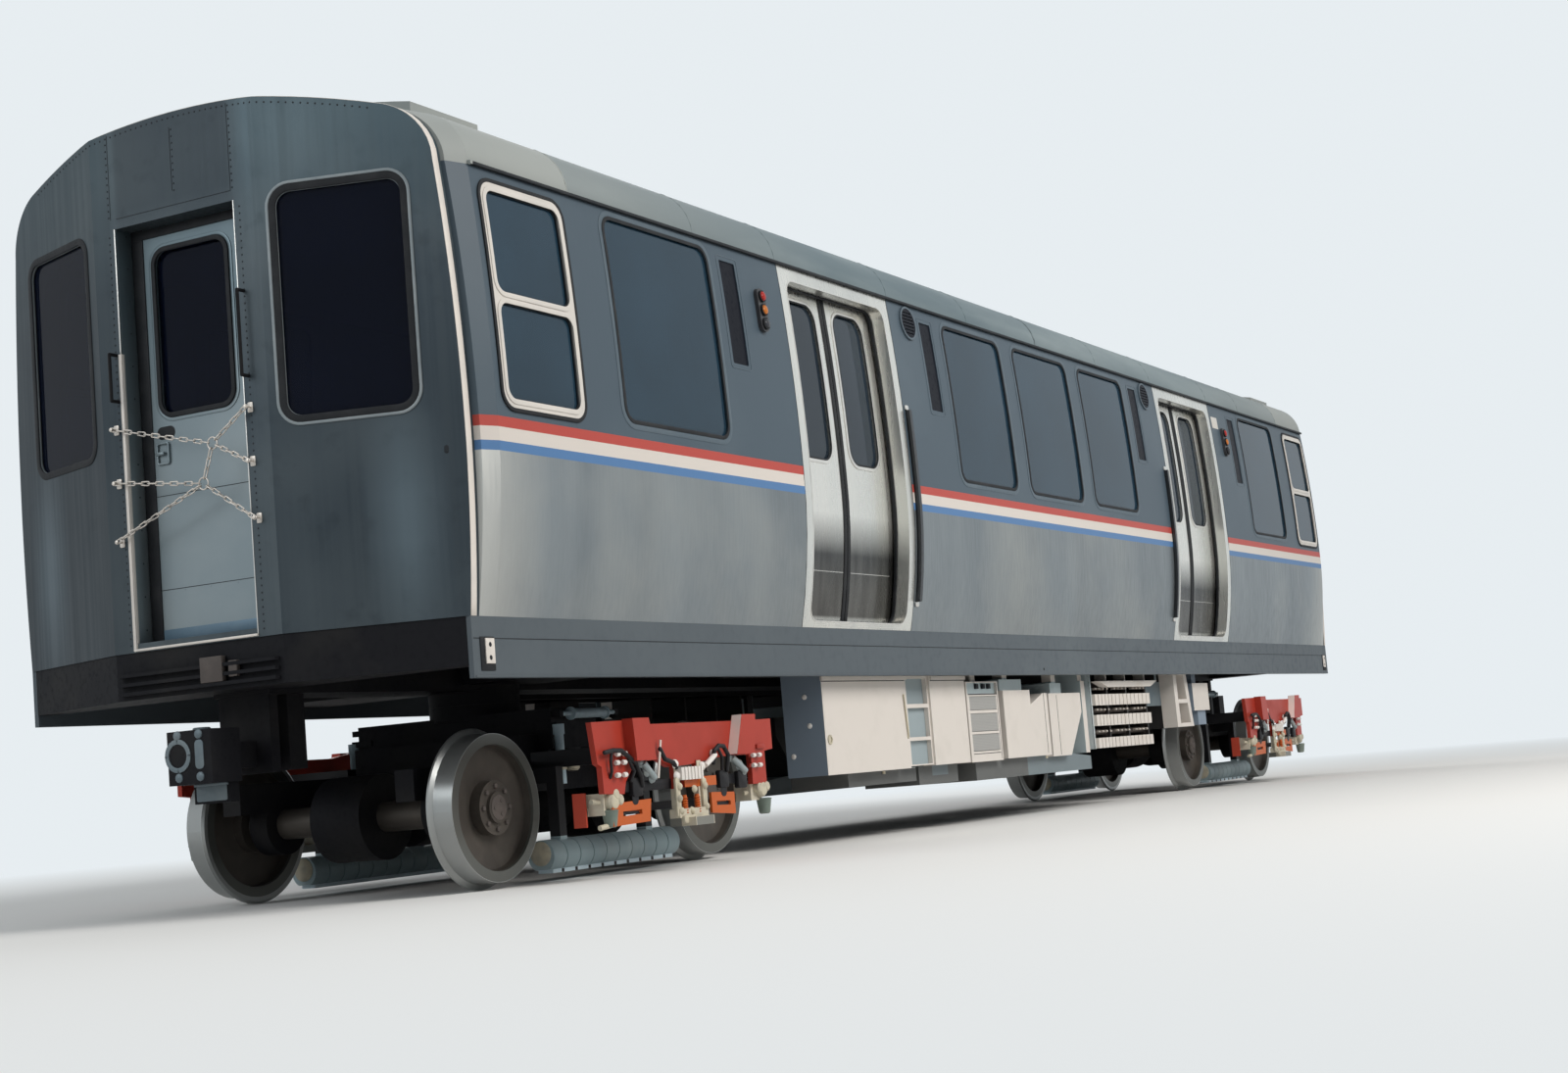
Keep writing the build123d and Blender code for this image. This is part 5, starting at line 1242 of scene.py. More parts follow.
end_rubbers, end_beads = [], []
for window in END_WINDOWS:
    end_rubbers.append(end_frame(window, 0.004, 0, 0.034, 0.022, 0.003, -0.018))
    end_beads.append(end_frame(window, -0.058, -0.028, 0.004, 0.008, 0.001, -0.012))
    if window[0] > 0:
        end_beads.append(end_frame(window, 0.030, 0.014, 0.014, 0.006, 0.002))
gather("end_window_rubbers", end_rubbers, RUBBER, "carbody")
gather("end_window_beads", end_beads, GREY_TRIM, "carbody")

# %% The doorway of an end plate
END_DOOR_HALF = 0.360
END_DOOR_TOP = 3.215
POST_TOP, POST_LOW = 2.620, 1.236
POST_WIDTH = 0.018
post_middle = (POST_TOP + POST_LOW) / 2
post_face = plate(POST_WIDTH, POST_TOP - POST_LOW, 0.008, 0, 1, 0.002)
post_return = plate(0.014, POST_TOP - POST_LOW, 0.004, 0, 1, 0.001)
corner_bead = plate(0.007, END_DOOR_TOP - POST_TOP, 0.004, 0, 1, 0.001)
right_bead = plate(0.005, END_DOOR_TOP - POST_LOW, 0.002, 0, 1, 0.0006)
threshold = plate(2 * END_DOOR_HALF + 0.02, 0.012, 0.012, 0, 1, 0.003)


def on_jamb(end, side, x, z, out=0.0):
    """Lays a template on the inner face of a doorway jamb: its x runs forward."""
    def point_of(p):
        return Vector((end * (x - side * p.x), end * side * (END_DOOR_HALF - out - p.z), z + p.y))
    return point_of


gather("end_doorway_posts",
       [(post_face, on_faces(-END_DOOR_HALF - 0.007, post_middle)),
        (post_return, [on_jamb(end, -1, FACE_X - 0.006, post_middle) for end in ENDS]),
        (threshold, on_faces(-0.004, SILL_TOP + 0.010, FACE_X - 0.001))],
       EDGE_TRIM, "carbody")
gather("end_doorway_beads",
       [(corner_bead, on_faces(-END_DOOR_HALF - 0.004, (END_DOOR_TOP + POST_TOP) / 2)),
        (right_bead, on_faces(END_DOOR_HALF + 0.003, (END_DOOR_TOP + POST_LOW) / 2))],
       POLISHED, "carbody")
JAMB_DEPTH = 0.094
JAMB_FOOT = 1.268
JAMB_RIVETS = 13
JAMB_RIVET_PITCH = 0.155
jamb_liner = plate(JAMB_DEPTH, END_DOOR_TOP - JAMB_FOOT, 0.0015, 0, 1, 0.0005)
gather("end_jamb_liners",
       [(jamb_liner, [on_jamb(end, side, FACE_X - JAMB_DEPTH / 2 - 0.004,
                              (END_DOOR_TOP + JAMB_FOOT) / 2) for end in ENDS for side in SIDES])],
       END_DOOR, "carbody")
jamb_rivet = dome(RIVET_R, RIVET_RISE, 6)
gather("end_jamb_rivets",
       [(jamb_rivet, [on_jamb(end, side, FACE_X - 0.066, 1.330 + number * JAMB_RIVET_PITCH, 0.0015)
                      for end in ENDS for side in SIDES for number in range(JAMB_RIVETS)])],
       RIVET_STEEL, "carbody")

# %% [markdown]
# ## End doors
# The end door carries a window in a black gasket, a latch in a dark recess, two seams and a painted
# kick band. The pieces lie flat on the leaf and ride with it, so that they swing in as it opens.

# %% Fittings of the end doors
leaf_low_corner, leaf_high_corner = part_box("end_door_front")
LEAF_X = leaf_high_corner[0]
LEAF_BOTTOM, LEAF_TOP = leaf_low_corner[2], leaf_high_corner[2]
leaf_middle = (LEAF_BOTTOM + LEAF_TOP) / 2
window_y, window_z = -0.0075, 2.709
window_width, window_height = 0.445, 0.782
LATCH_Z = 2.142
SEAMS_Z = (1.945, 1.507)
LEAF_RIVETS_Y, LEAF_RIVETS_Z = (-0.149, 0.005, 0.169, 0.300), 1.498
LEAF_SEAM_Y = 0.030
leaf_gasket = ring(window_width + 0.028, window_height + 0.028, 0.084, 0.024, 0.012, 1, 0.004)
leaf_frame = ring(window_width + 0.062, window_height + 0.062, 0.100, 0.018, 0.004, 1, 0.0015)
seal_strip = plate(0.066, LEAF_TOP - LEAF_BOTTOM, 0.006, 0, 1, 0.002)
# The dark strip across the top of the leaf is painted shadow under the top of the doorway.
header_shadow = plate(0.72, 0.044, 0.006, 0, 1, 0.002)
recess = plate(0.108, 0.060, 0.0015, 0.028, 1, 0.0005)
latch_ring = ring(0.078, 0.106, 0.014, 0.010, 0.012, 1, 0.003)
latch_bar = plate(0.052, 0.016, 0.020, 0.005, 1, 0.003)
seam_across = plate(0.64, 0.003, 0.0012)
kick_band = plate(0.64, 0.050, 0.0025, 0, 1, 0.0008)
leaf_rivet = dome(0.0045, 0.002, 8)
for end, end_name in zip(ENDS, ("front", "rear")):
    leaf = f"end_door_{end_name}"

    def on_leaf(y, z, out=0.0):
        """One place on the outer face of this end's door."""
        return [on_face(end, y, z, LEAF_X + out)]

    gather(f"{leaf}_rubbers",
           [(leaf_gasket, on_leaf(window_y, window_z)),
            (seal_strip, on_leaf(-0.325, leaf_middle)),
            (header_shadow, on_leaf(0, 3.190, 0.001)),
            (recess, on_leaf(-0.212, LATCH_Z + 0.096))]
           + [(seam_across, on_leaf(LEAF_SEAM_Y, z)) for z in SEAMS_Z],
           RUBBER, leaf, keep=True)
    gather(f"{leaf}_fittings",
           [(leaf_frame, on_leaf(window_y, window_z)),
            (latch_ring, on_leaf(-0.232, LATCH_Z)),
            (latch_bar, on_leaf(-0.246, LATCH_Z)),
            (leaf_rivet, [on_face(end, y, LEAF_RIVETS_Z, LEAF_X) for y in LEAF_RIVETS_Y])],
           END_DOOR, leaf, keep=True)
    gather(f"{leaf}_kick", [(kick_band, on_leaf(LEAF_SEAM_Y, 1.298))], KICK_PAINT, leaf,
           keep=True)
discard(leaf_gasket, leaf_frame, seal_strip, header_shadow, recess, latch_ring, latch_bar,
        seam_across, kick_band, leaf_rivet)

# %% [markdown]
# ## Safety chains
# Chains close the gap beside the end door. Every link is a bent wire that hangs in the next one,
# turned by a quarter, and the strands meet on two rings. The first and last links hang on studs.

# %% Chain sizes
CHAIN_X = FACE_X + 0.034
# Each point: distance across the car and height over the belt
CHAIN_POINTS = {
    "a1": (-0.416, 0.278), "a2": (-0.416, 0.026), "a3": (-0.416, -0.248),
    "b1": (0.395, 0.267), "b2": (0.392, 0.023), "b3": (0.410, -0.236),
    "ring1": (0.190, 0.130), "ring2": (0.125, -0.045),
}
CHAIN_STRANDS = [("a1", "ring1"), ("b1", "ring1"), ("b2", "ring1"), ("ring2", "ring1"),
                 ("a2", "ring2"), ("a3", "ring2"), ("b3", "ring2")]
WIRE = 0.0070
LINK_WIDTH = 0.025
LINK_PITCH = 0.044
LINK_GAP = 0.0003
STUD_R = 0.0046
RING_HOLE_R = 0.024


def chain_point(name):
    """A stud or ring of the chains, in front of the end plate."""
    y, rise = CHAIN_POINTS[name]
    return Vector((CHAIN_X, y, BELT + rise))


# %% Links, rings and studs
def wire_link(length):
    """A long oval link: a torus whose two halves are pulled apart."""
    start_clean()
    bpy.ops.mesh.primitive_torus_add(major_segments=12, minor_segments=6,
                                     major_radius=(LINK_WIDTH - WIRE) / 2, minor_radius=WIRE / 2)
    link = bpy.context.object
    for vertex in link.data.vertices:
        vertex.co.x += math.copysign((length - LINK_WIDTH) / 2, vertex.co.x)
    bpy.ops.object.shade_smooth()
    return link


def chain_strand(first, last):
    """The frames of the links between two points: middle, direction and flat side."""
    start, finish = chain_point(first), chain_point(last)
    along = (finish - start).normalized()
    on_ring = first.startswith("ring")
    lead = RING_HOLE_R - LINK_GAP if on_ring else -(STUD_R + LINK_GAP)
    room = (finish - start).length - lead - RING_HOLE_R
    count = round(room / LINK_PITCH)
    if count % 2 != (1 if on_ring else 0):
        count += 1
    pitch = room / count
    outward = Vector((1, 0, 0))
    frames = []
    for number in range(count):
        middle = start + along * (lead + (pitch + LINK_GAP) / 2 + number * pitch)
        edge_on = (number % 2 == 0) if on_ring else (number % 2 == 1)
        frames.append((middle, along, along.cross(outward) if edge_on else outward))
    return pitch + 2 * WIRE + LINK_GAP, frames


def in_frame(middle, along, normal):
    """Lays a template at a middle: its x runs along, and its z along the normal."""
    across = normal.cross(along)

    def point_of(p):
        return middle + along * p.x + across * p.y + normal * p.z
    return point_of


chain_groups = []
for first, last in CHAIN_STRANDS:
    length, frames = chain_strand(first, last)
    chain_groups.append((wire_link(length), both_ends([in_frame(*row) for row in frames])))
start_clean()
bpy.ops.mesh.primitive_torus_add(major_segments=28, minor_segments=8,
                                 major_radius=RING_HOLE_R + WIRE / 2, minor_radius=WIRE / 2)
bpy.ops.object.shade_smooth()
wire_ring = bpy.context.object
facing_out = Matrix(((0, 0, 1), (1, 0, 0), (0, 1, 0)))
chain_groups.append((wire_ring, both_ends([at(*chain_point(name), facing_out)
                                           for name in ("ring1", "ring2")])))
stud = turned_bar([(STUD_R, 0), (STUD_R, 0.038), (0.009, 0.0381), (0.009, 0.0415), (0.006, 0.043)], 12)
stud_foot = plate(0.030, 0.046, 0.004, 0.006, 1, 0.001)
stud_names = [name for name in CHAIN_POINTS if not name.startswith("ring")]
for template in (stud, stud_foot):
    chain_groups.append((template, both_ends([
        at(FACE_X, chain_point(name).y, chain_point(name).z, facing_out) for name in stud_names])))
chains = gather("chain_links", chain_groups, CHAIN_STEEL, "carbody")
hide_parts("safety_chains")

# %% [markdown]
# ## Roof and sill
# The roof is welded from sheets that meet in low ribs across the arch. A rib is one flat strip with
# many rows, bent over the arch by a formula. The sill carries a small plate with two holes near each
# end, and two brown boxes hang below the threshold of the end door.

# %% Ribs across the roof
ROOF_CROWN = 3.686
ROOF_COVE_Y = DRIP_HALF - COVE_R
ROOF_TIP = (ROOF_COVE_Y + COVE_R * math.cos(COVE_END), DRIP + COVE_R * math.sin(COVE_END))
ROOF_ARC = arc_through(ROOF_TIP, (0, ROOF_CROWN), (-ROOF_TIP[0], ROOF_TIP[1]))
RIB_X = (0, 1.20, 2.42, 3.86, 4.76, END_SHEET_X)
RIB_STEPS = 20
COVE_SHARE = 0.30


def on_roof(side, x):
    """Lays a template over half the arch: its length of one runs from the drip to the middle."""
    centre_y, centre_z, radius = ROOF_ARC

    def point_of(p):
        share = p.y + 0.5
        if share < COVE_SHARE:
            angle = COVE_END * share / COVE_SHARE
            y = ROOF_COVE_Y + (COVE_R + p.z) * math.cos(angle)
            z = DRIP + (COVE_R + p.z) * math.sin(angle)
        else:
            y = ROOF_TIP[0] * (1 - (share - COVE_SHARE) / (1 - COVE_SHARE))
            z = centre_z + math.sqrt(radius * radius - y * y) + p.z
        return Vector((x - side * p.x, side * y, z))
    return point_of


roof_rib = plate(0.014, 1.0, 0.0025, 0, RIB_STEPS, 0.0008)
roof_rib_places = [on_roof(side, end * x) for side in SIDES for end in ENDS for x in RIB_X]
gather("roof_ribs", [(roof_rib, roof_rib_places)], ROOF_PAINT, "carbody")

# %% Sill plates and the boxes below the threshold
hole_base = plate(0.105, 0.150, 0.004, 0.006, 1, 0.001)
hole_plate = plate(0.066, 0.112, 0.006, 0.004, 1, 0.001)
hole_mark = dome(0.011, 0.0015, 14)
SILL_PLATE_X, SILL_PLATE_Z = 6.812, 1.072
HOLE_RISES = (-0.030, 0.028)
gather("sill_plate_bases",
       [(hole_base, on_four(SILL_PLATE_X + 0.012, SILL_PLATE_Z - 0.012, -0.0005)),
        (hole_mark, [place for rise in HOLE_RISES
                     for place in on_four(SILL_PLATE_X, SILL_PLATE_Z + rise, -0.0100)]),
        (dome(0.010, 0.003, 12), [on_side(side, side * 0.354, 0.994) for side in SIDES])],
       RUBBER, "carbody")
gather("sill_plates", [(hole_plate, on_four(SILL_PLATE_X, SILL_PLATE_Z, -0.0040))],
       EDGE_TRIM, "carbody")
box_front = plate(0.130, 0.115, 0.030, 0.004, 1, 0.003)
small_box_front = plate(0.050, 0.072, 0.024, 0.004, 1, 0.003)
BOX_BROWN = painted_sheet("box brown", (0.085, 0.072, 0.066), (0.120, 0.100, 0.090), 0.6, 9.0)
gather("threshold_boxes",
       [(box_front, on_faces(0.100, 1.105)), (small_box_front, on_faces(0.222, 1.100))],
       BOX_BROWN, "carbody")

# %% [markdown]
# ## Couplers
# The coupler's face carries a ring round its pin hole, a hook plate and four guide cones, and a
# collar stands round the upright hole of the drawbar's pin. The box hung below it holds the cables'
# contacts behind a cover. Turned pieces are grown ring by ring from a circle.

# %% Coupler faces
COUPLER_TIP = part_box("couplers")[1][0]
COUPLER_Z = 0.72
COUPLER_SEAT = COUPLER_TIP - 0.001
CONTACT_FACE = COUPLER_TIP - 0.156
PIN_X = 7.205
HOOK_Y, PIN_HOLE_Y = 0.080, -0.045
face_ring = ring(0.150, 0.150, 0.0745, 0.022, 0.006, 1, 0.002)
face_hook = plate(0.050, 0.130, 0.004, 0.020, 1, 0.0015)
guide_cone = turned_bar([(0.022, 0), (0.020, 0.006), (0.010, 0.012)], 16)
contact_cover = plate(0.180, 0.070, 0.005, 0.008, 1, 0.002)
cover_bar = plate(0.200, 0.012, 0.010, 0.003, 1, 0.002)
pin_collar = turned_bar([(0.040, 0), (0.040, 0.010), (0.034, 0.014), (0.026, 0.014), (0.026, 0.001)], 24)
gather("coupler_faces",
       [(face_ring, on_faces(PIN_HOLE_Y, COUPLER_Z + 0.010, COUPLER_SEAT)),
        (face_hook, on_faces(HOOK_Y, COUPLER_Z + 0.010, COUPLER_SEAT)),
        (guide_cone, [place for y in (PIN_HOLE_Y, HOOK_Y) for rise in (-0.088, 0.100)
                      for place in on_faces(y, COUPLER_Z + rise, COUPLER_SEAT)]),
        (contact_cover, on_faces(0, 0.555, CONTACT_FACE)),
        (cover_bar, on_faces(0, 0.594, CONTACT_FACE)),
        (pin_collar, [at(end * PIN_X, 0, COUPLER_Z + 0.119) for end in ENDS])],
       BRAKE_STEEL, "carbody")

# %% [markdown]
# ## Trucks
# The trucks have inside frames, so that the wheels show. Outside them a red beam hangs from two
# arms. It carries clamps, black cables, two cast elbows and the current collector, whose white
# insulator sits over an orange block. The two orange brackets below it hold the collector's arms.

# %% Places on a truck
def pivot(joint_name):
    """A point of a joint's axis, from the frame."""
    return next(joint["pos_m"] for joint in frame["joints"] if joint["name"] == joint_name)


TRUCK_X = pivot("truck_front_swing")[0]
AXLE_Z = pivot("wheelset_1_turn")[2]
AXLE_HALF = pivot("wheelset_1_turn")[0] - TRUCK_X
BEAM_FACE = 1.290
TRUCKS = (("front", TRUCK_X), ("rear", -TRUCK_X))


def about_truck(point_of, truck_x, turned):
    """Moves a place from the truck's own middle to the car, on the left side or turned."""
    def placed(p):
        point = point_of(p)
        if turned:
            point = Vector((-point.x, -point.y, point.z))
        return point + Vector((truck_x, 0, 0))
    return placed


def truck_gather(name, groups, material, sides=(False, True)):
    """The same piece on both trucks. The right side is the left one, turned half a turn."""
    for end_name, truck_x in TRUCKS:
        moved = [(template, [about_truck(place, truck_x, turned)
                             for place in places for turned in sides])
                 for template, places in groups]
        gather(f"{name}_{end_name}", moved, material, f"truck_{end_name}", keep=True)
    discard(*[template for template, places in groups])


def on_beam(x, z, out=0.0):
    """Lays a template on the outer face of the left beam."""
    def point_of(p):
        return Vector((x - p.x, BEAM_FACE + out + p.z, z + p.y))
    return point_of


def along_bar(start, finish):
    """Stretches a template of one metre along z between two points."""
    first, last = Vector(start), Vector(finish)
    run = (last - first).normalized()
    across = run.orthogonal().normalized()
    upright = run.cross(across)

    def point_of(p):
        return first.lerp(last, p.z) + across * p.x + upright * p.y
    return point_of


def bar_path(points, radius):
    """A bent rod: one straight bar for each stretch and a ball at each bend."""
    bar = turned_bar([(radius, 0), (radius, 1)], 12)
    start_clean()
    bpy.ops.mesh.primitive_uv_sphere_add(segments=12, ring_count=8, radius=radius)
    bpy.ops.object.shade_smooth()
    ball = bpy.context.object
    return [(bar, [along_bar(a, b) for a, b in zip(points, points[1:])]),
            (ball, [at(*point) for point in points])]


LENGTHWISE = Matrix(((0, 0, 1), (0, 1, 0), (-1, 0, 0)))
OUTWARD = Matrix(((-1, 0, 0), (0, 0, 1), (0, 1, 0)))

# %% [markdown]
# ## Collector gear
# White caps and red clamps hold the cables to the beam's face. A cable is a bent rod here: a bar for
# each straight stretch and a ball at each bend, which takes few faces and follows a short list of
# points. Each piece is made once for the left side of a truck and copied to the other three sides.

# %% Finishes of the collector gear
# The bluish paint is painted shade on the resistor bank's white end and along its edge.
BLUISH_SHADE_PAINT = painted_sheet("bluish shade paint", (0.46, 0.54, 0.56), (0.56, 0.60, 0.60), 0.5, 6.0)
ORANGE_PAINT = painted_sheet("orange paint", (0.50, 0.105, 0.022), (0.42, 0.10, 0.03), 0.45, 8.0)
INSULATOR = painted_sheet("white insulator", (0.80, 0.76, 0.72), (0.66, 0.62, 0.58), 0.25, 9.0)
CASTING = painted_sheet("blue grey casting", (0.30, 0.35, 0.36), (0.44, 0.45, 0.42), 0.45, 14.0, 0.3)
CREAM_CAST = painted_sheet("cream casting", (0.55, 0.50, 0.38), (0.36, 0.33, 0.27), 0.5, 18.0)
GREEN_CAST = painted_sheet("green grey cup", (0.17, 0.21, 0.18), (0.24, 0.27, 0.23), 0.5, 12.0)
CABLE_BLACK = painted_sheet("cable black", (0.010, 0.010, 0.012), (0.022, 0.021, 0.022), 0.45, 9.0)
DAMPER_BLUE = painted_sheet("damper blue grey", (0.42, 0.54, 0.60), (0.30, 0.39, 0.44), 0.4, 8.0)

# %% Clamps and sticks
# Each clamp: distance along the truck and height
CLAMPS = [(0.655, 0.588), (0.665, 0.547), (0.665, 0.488), (-0.660, 0.540), (-0.660, 0.487)]
clamp_cap = turned_bar([(0.010, 0), (0.0125, 0.004), (0.0125, 0.026), (0.010, 0.030)], 14)
clamp_bar = plate(0.110, 0.018, 0.010, 0.004, 1, 0.002)
clamp_caps = [at(x + shift, BEAM_FACE + 0.022, z, LENGTHWISE) for x, z in CLAMPS
              for shift in (-0.046, 0.016)]
truck_gather("beam_clamp_caps", [(clamp_cap, clamp_caps)], INSULATOR)
end_lever = plate(0.085, 0.024, 0.014, 0.004, 1, 0.003)
truck_gather("beam_clamp_bars",
             [(clamp_bar, [on_beam(x, z) for x, z in CLAMPS]),
              (end_lever, [on_beam(-0.735, 0.585)])],
             RED_PAINT)
STICK_ENDS = ((0.290, 1.312, 0.644), (0.326, 1.306, 0.460))
stick = turned_bar([(0.0065, 0), (0.0065, 1)], 10)
truck_gather("beam_sticks",
             [(stick, [along_bar(*STICK_ENDS)])],
             EDGE_TRIM)

# %% Cables and the black arm
CABLES = [
    [(0.806, 1.318, 0.598), (0.741, 1.322, 0.606), (0.670, 1.322, 0.604), (0.614, 1.322, 0.576),
     (0.543, 1.318, 0.538), (0.494, 1.312, 0.475), (0.470, 1.300, 0.430)],
    [(0.741, 1.316, 0.606), (0.752, 1.314, 0.560), (0.740, 1.306, 0.505), (0.735, 1.292, 0.480)],
    [(0.600, 1.316, 0.560), (0.560, 1.318, 0.500), (0.575, 1.306, 0.455)],
    [(0.300, 1.312, 0.600), (0.267, 1.316, 0.549), (0.189, 1.314, 0.531), (0.150, 1.306, 0.505)],
    [(-0.217, 1.306, 0.515), (-0.215, 1.318, 0.576), (-0.255, 1.322, 0.600),
     (-0.305, 1.322, 0.596), (-0.352, 1.318, 0.550), (-0.351, 1.306, 0.473)],
    [(-0.255, 1.316, 0.590), (-0.285, 1.320, 0.540), (-0.300, 1.306, 0.480)],
]
THICK_CABLES = (0, 3, 4)
THICK_R, THIN_R = 0.0115, 0.008
cable_groups = []
for number, points in enumerate(CABLES):
    cable_groups += bar_path(points, THICK_R if number in THICK_CABLES else THIN_R)
black_arm = plate(1.180, 0.050, 0.012, 0.010, 1, 0.003)
hanger_block = plate(0.090, 0.090, 0.030, 0.012, 1, 0.005)
# The notch and slot plates are painted shadow: dark marks where the brackets' notches and slots open
# onto the shade behind.
notch = plate(0.056, 0.062, 0.0016, 0.024, 1)
slot_shadow = plate(0.150, 0.014, 0.0012, 0)
truck_gather("beam_cables",
             cable_groups + [
                 (black_arm, [on_beam(0.005, 0.428, -0.026)]),
                 (hanger_block, [on_beam(0.505, 0.425, -0.020), on_beam(-0.330, 0.430, -0.020),
                                 on_beam(-0.520, 0.420, -0.020)]),
                 (notch, [on_beam(0.524, 0.372, 0.0002), on_beam(-0.328, 0.372, 0.0002)]),
                 (slot_shadow, [on_beam(0.555, 0.304, -0.0135), on_beam(-0.320, 0.307, -0.0135)])],
             CABLE_BLACK)

# %% Elbows, links and cups
elbow = dome(0.030, 0.022, 16)
small_elbow = dome(0.026, 0.020, 14)
neck = turned_bar([(0.018, 0), (0.018, 1)], 12)
truck_gather("beam_elbows",
             [(elbow, [on_beam(0.405, 0.498, 0.001), on_beam(-0.498, 0.497, 0.001)]),
              (small_elbow, [on_beam(0.456, 0.540, 0.001), on_beam(-0.410, 0.538, 0.001),
                             on_beam(0.365, 0.462, 0.001), on_beam(-0.540, 0.462, 0.001)]),
              (neck, [along_bar((0.456, 1.305, 0.540), (0.362, 1.305, 0.462)),
                      along_bar((-0.410, 1.305, 0.538), (-0.540, 1.305, 0.462))])],
             CASTING)
link_bar = turned_bar([(0.013, 0), (0.015, 0.5), (0.013, 1)], 12)
link_eye = dome(0.024, 0.020, 16)
truck_gather("beam_links",
             [(link_bar, [along_bar((-0.110, 1.322, 0.505), (-0.225, 1.316, 0.556))]),
              (link_eye, [on_beam(-0.105, 0.503, 0.012), on_beam(-0.232, 0.560, 0.004),
                          on_beam(0.158, 0.522, 0.012), on_beam(0.150, 0.462, 0.012)])],
             INSULATOR)
end_cast = turned_bar([(0.030, 0), (0.044, 0.006), (0.044, 0.040), (0.034, 0.052), (0.018, 0.056)], 20)
lobe = turned_bar([(0.022, 0), (0.026, 0.004), (0.026, 0.048), (0.018, 0.054)], 14)
end_rod = turned_bar([(0.013, 0), (0.013, 1)], 12)
truck_gather("beam_end_castings",
             [(end_cast, [at(0.704, 1.240, 0.366, OUTWARD), at(-0.752, 1.240, 0.360, OUTWARD)]),
              (lobe, [at(x, 1.244, z, OUTWARD) for x, z in
                      ((0.655, 0.372), (0.690, 0.398), (-0.710, 0.368), (-0.790, 0.372))]),
              (end_rod, [along_bar((0.812, 1.225, 0.372), (0.690, 1.245, 0.362)),
                         along_bar((0.792, 1.250, 0.246), (0.705, 1.262, 0.256)),
                         along_bar((-0.690, 1.245, 0.352), (-0.640, 1.225, 0.345))])],
             CREAM_CAST)
cup = turned_bar([(0.022, 0), (0.030, 0.006), (0.040, 0.074), (0.044, 0.080), (0.030, 0.084)], 16)
truck_gather("beam_cups",
             [(cup, [at(0.712, 1.262, 0.244), at(-0.792, 1.262, 0.228)])],
             GREEN_CAST)

# %% Current collector
insulator_rib = plate(0.010, 0.066, 0.006, 0.004, 1, 0.0015)
RIBS = [on_beam(-0.052 + number * 0.032, 0.472, 0.040) for number in range(6)]
truck_gather("collector_insulators", [(insulator_rib, RIBS)], INSULATOR)
upright = plate(0.042, 0.200, 0.016, 0.018, 1, 0.005)
foot_bar = plate(0.235, 0.040, 0.020, 0.018, 1, 0.006)
boss = dome(0.020, 0.016, 14)
truck_gather("collector_frames",
             [(upright, [on_beam(0.160, 0.358, 0.010), on_beam(-0.098, 0.345, 0.010)]),
              (foot_bar, [on_beam(0.042, 0.246, 0.030)]),
              (boss, [on_beam(x, z, 0.026) for x, z in
                      ((0.152, 0.410), (0.158, 0.352), (0.150, 0.290), (-0.095, 0.405),
                       (-0.098, 0.300), (0.048, 0.286), (0.012, 0.392))])],
             CREAM_CAST)
COIL_R, COIL_WAVE, COIL_STEP = 0.012, 0.006, 0.006
coil_waves = [(COIL_R + COIL_WAVE * (number % 2), 0.004 + COIL_STEP * number) for number in range(15)]
coil = turned_bar([(COIL_R, 0)] + coil_waves + [(COIL_R, 0.098)], 14)
truck_gather("collector_springs",
             [(coil, [at(0.094, 1.306, 0.268), at(-0.028, 1.306, 0.268)])],
             ORANGE_PAINT)

# %% [markdown]
# ## Paint by zones
# A beam is one solid, but its parts are red, orange, cream and black. A zone is a box: limits along
# the truck, outwards and upwards, with the colour that holds inside it. The material compares the
# object coordinates with each box in turn, so that no mesh has to be cut.

# %% The beam's own paint
def between(tree, value, low, high):
    """One where the value lies between two limits, and zero elsewhere."""
    node = tree.nodes.new("ShaderNodeMath")
    node.operation = "COMPARE"
    tree.links.new(value, node.inputs[0])
    node.inputs[1].default_value = (low + high) / 2
    node.inputs[2].default_value = (high - low) / 2
    return node.outputs[0]


def zoned_sheet(name, base, worn, zones, roughness, truck=False):
    """Paint whose colour changes by zones: limits along x, outwards and upwards, and a colour."""
    material, tree, shader = new_material(name, base, roughness)
    wear = place_group(tree, BLOTCHES, Scale=5.0, Edge=0.5)
    x, y, z = [axis_value(tree, axis) for axis in range(3)]
    way = maths(tree, "SIGN", y)
    if truck:
        way = maths(tree, "MULTIPLY", way, maths(tree, "SIGN", x))
        x = maths(tree, "SUBTRACT", maths(tree, "ABSOLUTE", x), TRUCK_X)
    along = maths(tree, "MULTIPLY", x, way)
    out = maths(tree, "ABSOLUTE", y)
    tone = mix_colour(tree, wear.outputs["Mask"], base, worn)
    for (low_x, high_x), (low_y, high_y), (low_z, high_z), colour in zones:
        here = maths(tree, "MULTIPLY", between(tree, along, low_x, high_x),
                     between(tree, out, low_y, high_y))
        here = maths(tree, "MULTIPLY", here, between(tree, z, low_z, high_z))
        tone = mix_colour(tree, here, tone, colour)
    tree.links.new(tone, shader.inputs["Base Color"])
    rough = mix_value(tree, wear.outputs["Mask"], roughness, roughness + 0.12)
    tree.links.new(rough, shader.inputs["Roughness"])
    add_bump(tree, shader, wear.outputs["Mask"], 0.06, 0.002)
    return material


ALL = (-9, 9)
BLACK_TONE, ORANGE_TONE, CREAM_TONE = (0.014, 0.014, 0.016), (0.50, 0.105, 0.022), (0.55, 0.50, 0.40)
WHITE_TONE, RED_TONE, GREY_TONE = (0.70, 0.66, 0.62), (0.42, 0.055, 0.030), (0.20, 0.20, 0.18)
GLINT_TONE = (0.92, 0.78, 0.72)
